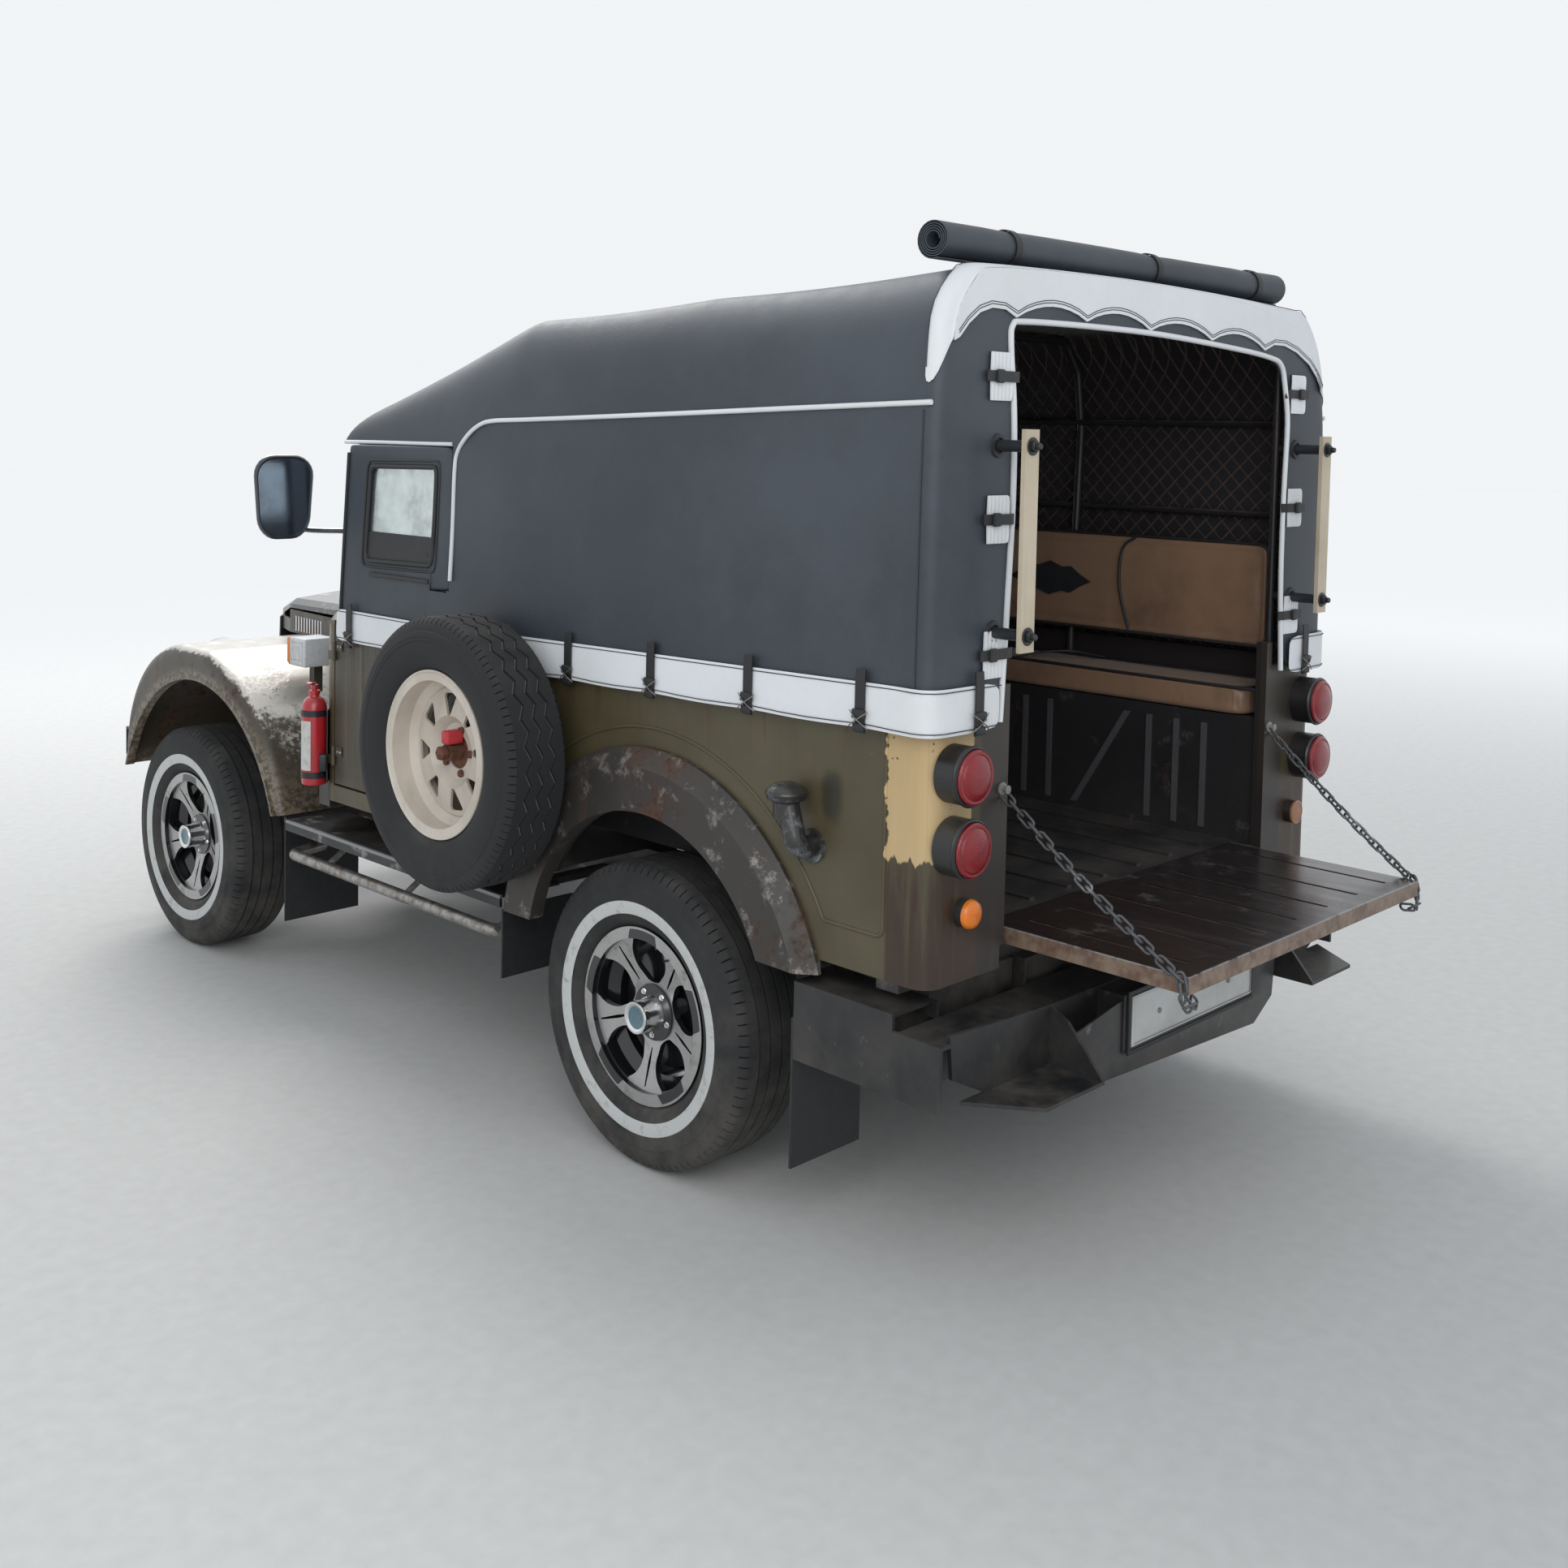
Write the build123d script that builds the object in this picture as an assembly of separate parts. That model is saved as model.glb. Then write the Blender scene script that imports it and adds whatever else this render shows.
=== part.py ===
from build123d import *
import math
import os

# A light two-door army 4x4 car with a canvas top, standing with its tailgate let down.
# The front faces -Y, the car's left side is +X, the ground is z = 0, all sizes in millimetres.

# Driving dimensions: running gear
wheelbase = 2300
track = 1440
front_overhang = 600
rear_reach = 1275
tyre_radius = 362
tyre_width = 224
rim_lip_radius = 210
rim_seat_radius = 190
rim_width = 184
kingpin_inset = 120
drum_radius = 138
axle_tube_radius = 36
diff_radius = 150
spindle_radius = 25
kingpin_clearance = 0.6
running_clearance = 0.05
seat_gap = 0.3
steer_arm = 165

# Driving dimensions: frame
rail_outer_x = 390
rail_width = 60
rail_bottom_z = 500
rail_top_z = 600
rail_plate = 6

# Driving dimensions: body
body_half_width = 800
panel = 24
sheet = 8
floor_top_z = 702
floor_plate = 12
sill_bottom_z = 630
waist_z = 1170
body_rear = 850
cowl_front = -1620
door_front = -1400
door_rear = -925
door_top_rear = -820
door_gap = 6
tail_opening_half = 560
wheel_box_x = 556
wheel_box_top_z = 1030
arch_radius = 430
flare_width = 42

# Driving dimensions: canopy
canvas = 8
canopy_front = -1440
first_bow = -570
middle_bow = 100
rear_bow = 810
canopy_rear = 862
bow_radius = 13

# Driving dimensions: spare wheel and tailgate
spare_radius = 345
spare_width = 192
spare_centre = -565
spare_z = 925
spare_stand_off = 144
spare_rim_width = 148
spare_rim_wall = 5
window_count = 8
tailgate_half = 520
tailgate_length = 490
tailgate_thick = 36
tailgate_top_z = 706
hinge_from_rear_face = 65
hinge_drop = 8
hinge_pin_radius = 6
hinge_x0 = 526
hinge_x1 = 550

# Places worked out from the sizes above
overall_length = front_overhang + wheelbase + rear_reach
front_axle_y = front_overhang - overall_length / 2
rear_axle_y = front_axle_y + wheelbase
half_track = track / 2
kingpin_half_span = half_track - kingpin_inset
flare_half_width = body_half_width + flare_width
spare_x = body_half_width + spare_stand_off


def at(from_rear_axle):
    """Place along the car, measured back from the rear axle of the real car, whose wheelbase is 2300.

    Places between the axles spread with the wheelbase. Those ahead of the front axle keep
    their distance from it, and those behind the rear axle keep theirs.
    """
    real_wheelbase = 2300
    if from_rear_axle >= 0:
        return rear_axle_y + from_rear_axle
    if from_rear_axle <= -real_wheelbase:
        return front_axle_y + from_rear_axle + real_wheelbase
    return rear_axle_y + from_rear_axle * wheelbase / real_wheelbase


def block(x0, x1, y0, y1, z0, z1):
    return Pos((x0 + x1) / 2, (y0 + y1) / 2, (z0 + z1) / 2) * Box(x1 - x0, y1 - y0, z1 - z0)


def rod(start, end, radius):
    along = Vector(*end) - Vector(*start)
    plane = Plane(origin=start, z_dir=along)
    return Solid.make_cylinder(radius, along.length, plane)


def side_plate(points, x0, x1):
    """An outline of (y, z) corners, as thick as x0 to x1."""
    edge = Polyline(*[(x0, y, z) for y, z in points], close=True)
    return extrude(make_face(edge), amount=x1 - x0, dir=(1, 0, 0))


def front_plate(points, y0, y1):
    """An outline of (x, z) corners, as thick as y0 to y1."""
    edge = Polyline(*[(x, y0, z) for x, z in points], close=True)
    return extrude(make_face(edge), amount=y1 - y0, dir=(0, 1, 0))


def plan_plate(points, z0, z1):
    """An outline of (x, y) corners, as thick as z0 to z1."""
    edge = Polyline(*[(x, y, z0) for x, y in points], close=True)
    return extrude(make_face(edge), amount=z1 - z0, dir=(0, 0, 1))


def bent_tube(points, bend, radius):
    path = FilletPolyline(*points, radius=bend)
    return sweep((path ^ 0) * Circle(radius), path=path)


def other_side(shape):
    return mirror(shape, about=Plane.YZ)


def pair(shape):
    return [shape, other_side(shape)]


# Wheels
def tyre_section(width, outer, seat):
    half = width / 2
    bead = half * 0.72
    shoulder = outer - 26
    tread = half * 0.74
    left = ThreePointArc((-bead, seat), (-half, seat + (shoulder - seat) * 0.5), (-half * 0.93, shoulder))
    left_shoulder = ThreePointArc((-half * 0.93, shoulder), (-half * 0.88, outer - 10), (-tread, outer - 3))
    crown = ThreePointArc((-tread, outer - 3), (0, outer), (tread, outer - 3))
    right_shoulder = ThreePointArc((tread, outer - 3), (half * 0.88, outer - 10), (half * 0.93, shoulder))
    right = ThreePointArc((half * 0.93, shoulder), (half, seat + (shoulder - seat) * 0.5), (bead, seat))
    bore = Line((bead, seat), (-bead, seat))
    return make_face([left, left_shoulder, crown, right_shoulder, right, bore])


def wheel_barrel(width, lip, seat, wall):
    """The rolled rim: two lips, two bead seats and the well between them."""
    half = width / 2
    well = seat - 24
    outer = [(-half, lip), (-half + wall, lip), (-half + wall, seat), (-half + 40, seat), (-half + 58, well),
             (half - 72, well), (half - 52, seat), (half - wall, seat), (half - wall, lip), (half, lip)]
    inner = [(half, seat - wall), (half - 50, seat - wall), (half - 70, well - wall),
             (-half + 56, well - wall), (-half + 38, seat - wall), (-half, seat - wall)]
    return revolve(make_face(Polyline(*outer, *inner, close=True)), axis=Axis.X)


rim_wall = 8
spoke_count = 5
spoke_root_x = 50
spoke_tip_x = 78
spoke_thick = 15
hub_radius = 66
hub_face_x = 56
lug_circle = 54
lug_hole = 9
cap_radius = 36
cap_reach = 104
ball_radius = 60
shell_wall = 12
shell_radius = ball_radius + kingpin_clearance + shell_wall
room_gap = 11.4
room_radius = 58


def from_hub(outline_points):
    """Closes a drawn outline and turns it to face along the axle, its own y pointing up."""
    face = make_face(outline_points)
    return Rot(0, 90, 0) * Rot(0, 0, 90) * extrude(face, amount=120, dir=(0, 0, 1))


def alloy_rim():
    """Five split spokes that widen from the hub to the lip, outer face towards +X."""
    barrel = wheel_barrel(rim_width, rim_lip_radius, rim_seat_radius, rim_wall)
    tip_radius = rim_seat_radius - rim_wall
    slope = make_face(Polyline((spoke_root_x, 30), (spoke_root_x, hub_radius - 2), (spoke_tip_x, tip_radius + 1),
                               (spoke_tip_x - spoke_thick, tip_radius + 1), (spoke_root_x - spoke_thick, hub_radius),
                               (spoke_root_x - spoke_thick, 30), close=True))
    disc = revolve(slope, axis=Axis.X)
    pocket = [Line((-20, 76), (-36, 92)), ThreePointArc((-36, 92), (-57, 128), (-47, 172)),
              ThreePointArc((-47, 172), (0, tip_radius - 3), (47, 172)),
              ThreePointArc((47, 172), (57, 128), (36, 92)), Line((36, 92), (20, 76)),
              ThreePointArc((20, 76), (0, 72), (-20, 76))]
    split = [Line((-1.5, 84), (-4, 120)), Line((-4, 120), (-2, 174)), Line((-2, 174), (2, 174)),
             Line((2, 174), (4, 120)), Line((4, 120), (1.5, 84)), Line((1.5, 84), (-1.5, 84))]
    turn = 360 / spoke_count
    for step in range(spoke_count):
        disc -= Rot(step * turn, 0, 0) * from_hub(pocket)
        disc -= Rot((step + 0.5) * turn, 0, 0) * from_hub(split)
    hub_back_x = 16
    disc += rod((hub_back_x, 0, 0), (hub_face_x, 0, 0), hub_radius)
    for step in range(spoke_count):
        lug = Rot((step + 0.5) * turn, 0, 0) * Pos(0, 0, lug_circle)
        disc -= lug * rod((hub_face_x - 16, 0, 0), (hub_face_x + 1, 0, 0), lug_hole)
    drum = Rot(0, 90, 0) * Pos(0, 0, -64) * Cylinder(
        drum_radius, 64 + hub_back_x, align=(Align.CENTER, Align.CENTER, Align.MIN))
    cap = Rot(0, 90, 0) * Pos(0, 0, hub_face_x - 1) * Cone(
        cap_radius + 3, cap_radius - 3, cap_reach - hub_face_x + 1, align=(Align.CENTER, Align.CENTER, Align.MIN))
    bore = Rot(0, 90, 0) * Pos(0, 0, -70) * Cylinder(
        spindle_radius + running_clearance, 100, align=(Align.CENTER, Align.CENTER, Align.MIN))
    room_end = kingpin_half_span + shell_radius + room_gap - half_track
    knuckle_room = rod((-70, 0, 0), (room_end, 0, 0), room_radius)
    return barrel + disc + drum + cap - bore - knuckle_room


def steel_rim():
    """The spare's pressed disc with eight rounded three-cornered windows round a raised middle."""
    barrel = wheel_barrel(spare_rim_width, rim_lip_radius, rim_seat_radius, spare_rim_wall)
    well_inside = rim_seat_radius - 24 - spare_rim_wall
    dish = make_face(Polyline((0, 45), (0, 72), (22, 92), (10, well_inside + 1), (4, well_inside + 1),
                              (15, 90), (-6, 70), (-6, 45), close=True))
    disc = revolve(dish, axis=Axis.X)
    window = plan_plate([(-6, 92), (-30, 148), (30, 148), (6, 92)], -40, 60)
    window = fillet(window.edges().filter_by(Axis.Z), 7)
    for step in range(window_count):
        disc -= Rot(step * 360 / window_count + 6, 0, 0) * Rot(0, 90, 0) * Rot(0, 0, 90) * window
    return barrel + disc


road_tyre = revolve(tyre_section(tyre_width, tyre_radius, rim_seat_radius + seat_gap), axis=Axis.X)
spare_tyre = revolve(tyre_section(spare_width, spare_radius, rim_seat_radius + seat_gap), axis=Axis.X)
road_rim = alloy_rim()
spare_rim = steel_rim()


def lip_room(width, wall):
    """The ring cut out of a tyre for one lip of its rim."""
    outer = width / 2 + 1
    inner = width / 2 - wall - 1
    low = rim_seat_radius - 10
    high = rim_lip_radius + 1
    return revolve(make_face(Polyline((outer, low), (outer, high), (inner, high), (inner, low), close=True)),
                   axis=Axis.X)


for lip in pair(lip_room(rim_width, rim_wall)):
    road_tyre -= lip
for lip in pair(lip_room(spare_rim_width, spare_rim_wall)):
    spare_tyre -= lip

nodes = {}
wheel_places = [("front_left", 1, front_axle_y), ("front_right", -1, front_axle_y),
                ("rear_left", 1, rear_axle_y), ("rear_right", -1, rear_axle_y)]
for name, side, y in wheel_places:
    tyre = Pos(half_track, y, tyre_radius) * road_tyre
    rim = Pos(half_track, y, tyre_radius) * road_rim
    nodes["tyre_" + name] = [tyre if side > 0 else other_side(tyre)]
    nodes["rim_" + name] = [rim if side > 0 else other_side(rim)]

# Axles, knuckles and springs
drum_back_x = half_track - 64
backing_gap = 5
backing_plate = 6
spindle_end_x = half_track + 26
spindle_root_x = drum_back_x - 56
shell_gap = kingpin_clearance
spring_pack = [500, 430, 350, 260, 160]
leaf = 7
leaf_width = 50
spring_x = rail_outer_x - rail_width / 2
spring_camber = 34
spring_top_z = tyre_radius + axle_tube_radius + leaf * len(spring_pack) + 6
eye_radius = 15


def spring_height(y):
    return spring_camber * (y / spring_pack[0]) ** 2


def leaf_spring(y):
    """One pack: leaves of falling length, eyes at the ends and the clamp on the axle tube."""
    pack = None
    for count, half in enumerate(spring_pack):
        top = spring_top_z - leaf * count
        low = top - leaf
        ends = spring_height(half)
        upper = ThreePointArc((0, -half, top + ends), (0, 0, top), (0, half, top + ends))
        lower = ThreePointArc((0, -half, low + ends), (0, 0, low), (0, half, low + ends))
        sides = [Line(upper @ 0, lower @ 0), Line(upper @ 1, lower @ 1)]
        blade = extrude(make_face([upper, lower, *sides]), amount=leaf_width / 2, dir=(1, 0, 0), both=True)
        pack = blade if pack is None else pack + blade
    for end in (-1, 1):
        centre = (0, end * (spring_pack[0] + 6), spring_top_z + spring_camber - 2)
        pack += rod((-leaf_width / 2, centre[1], centre[2]), (leaf_width / 2, centre[1], centre[2]), eye_radius)
    clamp_low = tyre_radius - axle_tube_radius - 8
    for offset in (-48, 38):
        pack += block(-leaf_width / 2 - 8, leaf_width / 2 + 8, offset, offset + 10, clamp_low, spring_top_z + 10)
    pack += block(-leaf_width / 2 - 8, leaf_width / 2 + 8, -48, 48, tyre_radius, spring_top_z - leaf * 5 + 1)
    return Pos(spring_x, y, 0) * pack


def diff_housing(y, snout):
    ball = Pos(0, y, tyre_radius) * Sphere(diff_radius)
    ball = ball & block(-diff_radius, diff_radius, y - diff_radius, y + diff_radius,
                        tyre_radius - diff_radius + 8, tyre_radius + diff_radius - 34)
    nose = rod((0, y, tyre_radius), (0, y + snout * 235, tyre_radius + 10), 55)
    return ball + nose


def backing(x, y, hole):
    """Brake backing plate and spindle that the wheel turns on, outer end towards +X."""
    plate_x = drum_back_x - backing_gap
    plate = rod((plate_x - backing_plate, y, tyre_radius), (plate_x, y, tyre_radius), drum_radius - 6)
    plate -= rod((plate_x - backing_plate - 5, y, tyre_radius), (plate_x + 5, y, tyre_radius), hole)
    spindle = rod((x, y, tyre_radius), (spindle_end_x, y, tyre_radius), spindle_radius)
    return plate + spindle


axle_end = kingpin_half_span
front_tube = rod((-axle_end, front_axle_y, tyre_radius), (axle_end, front_axle_y, tyre_radius), axle_tube_radius)
front_axle = front_tube + diff_housing(front_axle_y, 1)
for ball in pair(Pos(axle_end, front_axle_y, tyre_radius) * Sphere(ball_radius)):
    front_axle += ball
for spring in pair(leaf_spring(front_axle_y)):
    front_axle += spring
nodes["front_axle"] = [front_axle]

rear_axle = rod((-drum_back_x + 10, rear_axle_y, tyre_radius), (drum_back_x - 10, rear_axle_y, tyre_radius),
                axle_tube_radius) + diff_housing(rear_axle_y, -1)
for end in pair(backing(spindle_root_x, rear_axle_y, spindle_radius - 2)):
    rear_axle += end
for spring in pair(leaf_spring(rear_axle_y)):
    rear_axle += spring
nodes["rear_axle"] = [rear_axle]


def knuckle():
    """Left swivel: a half shell round the axle's ball, kingpin caps, spindle and steering arm."""
    y = front_axle_y
    centre = Pos(kingpin_half_span, y, tyre_radius)
    outer = shell_radius
    inner = ball_radius + shell_gap
    hole = spindle_radius - 7
    outer_end = (math.sqrt(outer ** 2 - hole ** 2), hole)
    inner_end = (math.sqrt(inner ** 2 - hole ** 2), hole)
    half_way = math.sqrt(0.5)
    section = make_face([ThreePointArc(outer_end, (outer * half_way, outer * half_way), (0, outer)),
                         Line((0, outer), (0, inner)),
                         ThreePointArc((0, inner), (inner * half_way, inner * half_way), inner_end),
                         Line(inner_end, outer_end)])
    shell = centre * revolve(section, axis=Axis.X)
    caps = rod((kingpin_half_span, y, tyre_radius + ball_radius + shell_gap),
               (kingpin_half_span, y, tyre_radius + ball_radius + 24), 24)
    caps += rod((kingpin_half_span, y, tyre_radius - ball_radius - 24),
                (kingpin_half_span, y, tyre_radius - ball_radius - shell_gap), 24)
    arm = plan_plate([(kingpin_half_span - 24, y), (kingpin_half_span + 24, y),
                      (kingpin_half_span - 20, y + steer_arm + 16), (kingpin_half_span - 60, y + steer_arm + 16)],
                     tyre_radius - ball_radius - 24, tyre_radius - ball_radius - 10)
    plate_hole = outer * 0.65
    spindle = backing(kingpin_half_span + inner + 2, y, plate_hole)
    plate_x = drum_back_x - backing_gap
    collar_start = kingpin_half_span + math.sqrt(outer ** 2 - (plate_hole + 8) ** 2)
    collar = rod((collar_start, y, tyre_radius), (plate_x, y, tyre_radius), plate_hole + 8)
    collar -= rod((collar_start - 5, y, tyre_radius), (plate_x + 5, y, tyre_radius), plate_hole)
    return shell + caps + arm + spindle + collar


left_knuckle = knuckle()
nodes["knuckle_left"] = [left_knuckle]
nodes["knuckle_right"] = [other_side(left_knuckle)]

tie_rod_x = kingpin_half_span - 40
tie_rod_y = front_axle_y + steer_arm
tie_rod_z = tyre_radius - ball_radius - 24 - 14
tie_rod = rod((-tie_rod_x, tie_rod_y, tie_rod_z), (tie_rod_x, tie_rod_y, tie_rod_z), 11)
for end in pair(rod((tie_rod_x, tie_rod_y, tie_rod_z - 14), (tie_rod_x, tie_rod_y, tie_rod_z + 13.5), 15)):
    tie_rod += end
nodes["tie_rod"] = [tie_rod]

# Chassis frame
bumper_back_y = -overall_length / 2 + 70
frame_rear_y = at(body_rear - 55)
rail_flange_low = block(rail_outer_x - rail_width, rail_outer_x, bumper_back_y, frame_rear_y,
                        rail_bottom_z, rail_bottom_z + rail_plate)
rail_flange_high = block(rail_outer_x - rail_width, rail_outer_x, bumper_back_y, frame_rear_y,
                         rail_top_z - rail_plate, rail_top_z)
rail_web = block(rail_outer_x - rail_plate, rail_outer_x, bumper_back_y, frame_rear_y, rail_bottom_z, rail_top_z)
chassis = None
for piece in pair(rail_web + rail_flange_low + rail_flange_high):
    chassis = piece if chassis is None else chassis + piece
for y in (bumper_back_y + 40, at(-860), at(-240), at(430), at(750)):
    chassis += block(-rail_outer_x + rail_plate, rail_outer_x - rail_plate, y - 25, y + 25,
                     rail_bottom_z + 10, rail_top_z - rail_plate)
hanger_z = spring_top_z + spring_camber - 20
for axle_y in (front_axle_y, rear_axle_y):
    for end in (-1, 1):
        y = axle_y + end * (spring_pack[0] + 6)
        for side in (-1, 1):
            for face in (-1, 1):
                x = side * spring_x + face * (leaf_width / 2 + 3 + seat_gap)
                chassis += block(x - 3, x + 3, y - 22, y + 22, hanger_z, rail_bottom_z + 1)
nodes["chassis_frame"] = [chassis]

# Driveline: engine, gearbox and transfer case as plain castings, with the two shafts
engine = block(-190, 190, at(-2360), at(-1760), 560, 960)
engine += block(-130, 130, at(-1762), at(-1178), 470, rail_top_z - 4)
engine += block(-200, 120, at(-1180), at(-960), 420, rail_top_z - 4)
mount_half = rail_outer_x - 35
for y in (at(-2050), at(-1110)):
    engine += block(-mount_half, mount_half, y - 20, y + 20, rail_top_z, rail_top_z + 10)
engine += block(-120, 120, at(-1130), at(-1090), rail_top_z - 5, rail_top_z + 1)
front_nose_y = front_axle_y + 235
rear_nose_y = rear_axle_y - 235
shaft_gap = 4
engine += rod((0, front_nose_y + shaft_gap, tyre_radius + 10), (0, at(-1170), 470), 26)
engine += rod((0, at(-970), 470), (0, rear_nose_y - shaft_gap, tyre_radius + 10), 26)
nodes["driveline"] = [engine]

# Exhaust along the right rail, fuel tank and filler behind the left rear wheel
exhaust_x = -264
engine_half = 190
exhaust = bent_tube([(-engine_half - seat_gap, at(-1800), 640), (exhaust_x, at(-1800), 640),
                     (exhaust_x, at(-1620), 470), (exhaust_x, at(-700), 435), (exhaust_x, at(-330), 435)], 40, 20)
exhaust += rod((exhaust_x, at(-820), 435), (exhaust_x, at(-420), 435), 54)
nodes["exhaust"] = [exhaust]

tank = block(402, 690, at(530), at(770), 440, rail_top_z)
filler_y = at(500)
neck_x = body_half_width + 48
neck = bent_tube([(body_half_width + seat_gap, filler_y + 32, 870), (neck_x, filler_y + 32, 870),
                  (neck_x, filler_y, 972)], 26, 24)
cap_section = make_face([ThreePointArc((0, 0, 1008), (26, 0, 1003), (43, 0, 989)), Line((43, 0, 989), (40, 0, 978)),
                         Line((40, 0, 978), (29, 0, 966)), Line((29, 0, 966), (27, 0, 930)),
                         Line((27, 0, 930), (0, 0, 930)), Line((0, 0, 930), (0, 0, 1008))])
cap = Pos(neck_x, filler_y - 2, 0) * revolve(cap_section, axis=Axis.Z)
grommet = rod((body_half_width + seat_gap, filler_y + 32, 870), (body_half_width + 9, filler_y + 32, 870), 37)
nodes["fuel_filler"] = [neck + cap + grommet]
nodes["fuel_tank"] = [tank]

# Floor with its beams and the two wheel boxes that carry the benches
rib_count = 7
rib_pitch = 147
wall_ribs = (-320, -235, -150, -65, 20, 95, 180, 505, 589, 672)
wall_rib_half = 8
wall_rib_height = 5
well_front = at(-450)
well_rear = at(480)
floor_front = at(cowl_front)
floor_rear = at(body_rear - 32)
hinge_y = at(body_rear - hinge_from_rear_face)
hinge_z = tailgate_top_z - hinge_drop
inner_half = body_half_width - panel
floor = block(-inner_half, inner_half, floor_front, floor_rear, floor_top_z - floor_plate, floor_top_z)
for side in pair(block(wheel_box_x, inner_half + 1, well_front, well_rear,
                       floor_top_z - 30, floor_top_z + 10)):
    floor -= side
floor -= block(-wheel_box_x, wheel_box_x, hinge_y - 15, floor_rear + 10, sill_bottom_z, floor_top_z + 10)
for count in range(rib_count):
    x = (count - (rib_count - 1) / 2) * rib_pitch
    floor += block(x - 9, x + 9, at(-560), at(740), floor_top_z - 1, floor_top_z + 5)
for y in (at(-1500), at(-1010), at(-500), at(510), at(728)):
    floor += block(-inner_half, inner_half, y - 30, y + 30, rail_top_z, floor_top_z - floor_plate)
for side in (-1, 1):
    inner = sorted((side * wheel_box_x, side * (wheel_box_x + sheet)))
    across = sorted((side * wheel_box_x, side * inner_half))
    floor += block(inner[0], inner[1], well_front, floor_rear, floor_top_z - floor_plate, wheel_box_top_z)
    floor += block(across[0], across[1], well_front, floor_rear, wheel_box_top_z - sheet, wheel_box_top_z)
    floor += block(across[0], across[1], well_front, well_front + sheet, floor_top_z - floor_plate,
                   wheel_box_top_z)
    floor += block(across[0], across[1], well_rear, well_rear + sheet, floor_top_z - floor_plate,
                   wheel_box_top_z)
wall_rib_x = wheel_box_x - wall_rib_height
for y in wall_ribs:
    for rib in pair(block(wall_rib_x, wheel_box_x + 1, at(y) - wall_rib_half, at(y) + wall_rib_half,
                          floor_top_z + 20, wheel_box_top_z - 30)):
        floor += rib
brace = side_plate([(at(258), floor_top_z + 20), (at(278), floor_top_z + 20),
                    (at(446), wheel_box_top_z - 30), (at(426), wheel_box_top_z - 30)], wall_rib_x, wheel_box_x + 1)
for rib in pair(brace):
    floor += rib
nodes["tub_floor"] = [floor]

# Tub sides: side, rounded corner and rear corner panel are one pressing each
body_rear_y = at(body_rear)
side_front_y = at(door_rear) + door_gap
arch_y = at(20)
arch_z = 430
corner_radius = 45
bead_radius = 618
bead_height = 4
bead_foot = 14
bead_rear = 733


def tub_side():
    outline = [(body_half_width, side_front_y), (body_half_width, body_rear_y),
               (tail_opening_half, body_rear_y), (tail_opening_half, body_rear_y - panel),
               (inner_half, body_rear_y - panel), (inner_half, side_front_y)]
    side = plan_plate(outline, sill_bottom_z, waist_z)
    outer_edge = side.edges().filter_by(Axis.Z).sort_by(
        lambda edge: (edge.center() - Vector(body_half_width, body_rear_y, edge.center().Z)).length)[0]
    side = fillet(outer_edge, corner_radius)
    side -= rod((body_half_width - 100, arch_y, arch_z), (body_half_width + 100, arch_y, arch_z), arch_radius)
    side += block(tail_opening_half - 14, tail_opening_half + 12, body_rear_y - 30, body_rear_y,
                  sill_bottom_z + 50, waist_z + 60)
    side += block(hinge_x0, hinge_x1, hinge_y - 12, body_rear_y - 22, hinge_z - 13, tailgate_top_z - 1)
    side -= rod((hinge_x0 - 5, hinge_y, hinge_z), (hinge_x1 - 3, hinge_y, hinge_z), hinge_pin_radius + running_clearance)
    return side + pressed_bead()


def pressed_bead():
    """The raised line round the wheel opening and up the rear edge of the side."""
    low_angle = math.radians(29)
    arc = [(body_half_width, arch_y + bead_radius * math.cos(a), arch_z + bead_radius * math.sin(a))
           for a in (math.radians(150), math.radians(90), low_angle)]
    end = arc[-1]
    foot = (body_half_width, end[1] + bead_foot * math.sin(low_angle), end[2] - bead_foot * math.cos(low_angle))
    rear_y = at(bead_rear)
    upright = FilletPolyline(end, foot, (body_half_width, rear_y, foot[2]), (body_half_width, rear_y, waist_z - 35),
                             radius=18)
    path = Wire([ThreePointArc(*arc)] + list(upright.edges()))
    section = Plane(origin=path @ 0, z_dir=path % 0) * Circle(bead_height)
    return sweep(section, path=path)


def spare_carrier():
    """The bracket on the left side that the spare hangs on: a dished plate, a stub and its nut."""
    y = at(spare_centre)
    hub_x = spare_x
    plate = rod((body_half_width + seat_gap, y, spare_z), (body_half_width + 10, y, spare_z), 120)
    stub = rod((body_half_width + 10, y, spare_z), (hub_x - 10, y, spare_z), 38)
    face = rod((hub_x - 24, y, spare_z), (hub_x - 6.5, y, spare_z), 66)
    nut = rod((hub_x - 7, y, spare_z), (hub_x + 34, y, spare_z), 22)
    return plate + stub + face + nut


left_side = tub_side()
nodes["tub_side_right"] = [other_side(left_side)]
nodes["tub_side_left"] = [left_side]
nodes["spare_carrier"] = [spare_carrier()]


def rear_fender():
    """The arch lip that stands out of the side, turned round the wheel opening."""
    lip = sheet
    low = arch_radius - 6
    section = [(body_half_width, low + 148), (body_half_width + 10, low + 148), (flare_half_width + 2, low + 106),
               (flare_half_width, low + 12), (flare_half_width, low), (body_half_width, low),
               (body_half_width, low + lip), (flare_half_width - lip, low + lip),
               (flare_half_width - lip, low + 16), (flare_half_width - 4, low + 100), (body_half_width, low + 138)]
    face = make_face(Polyline(*[(x, 0, radius) for x, radius in section], close=True))
    full = revolve(face, axis=Axis.X)
    full = Pos(0, arch_y, arch_z) * full
    inside_x = body_half_width - 100
    outside_x = flare_half_width + 100
    high_z = arch_z + arch_radius + 340
    ahead = block(inside_x, outside_x, arch_y - 700, arch_y, arch_z + 80, high_z)
    behind = block(inside_x, outside_x, arch_y, arch_y + 700, arch_z + 170, high_z)
    return full & (ahead + behind)


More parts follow.
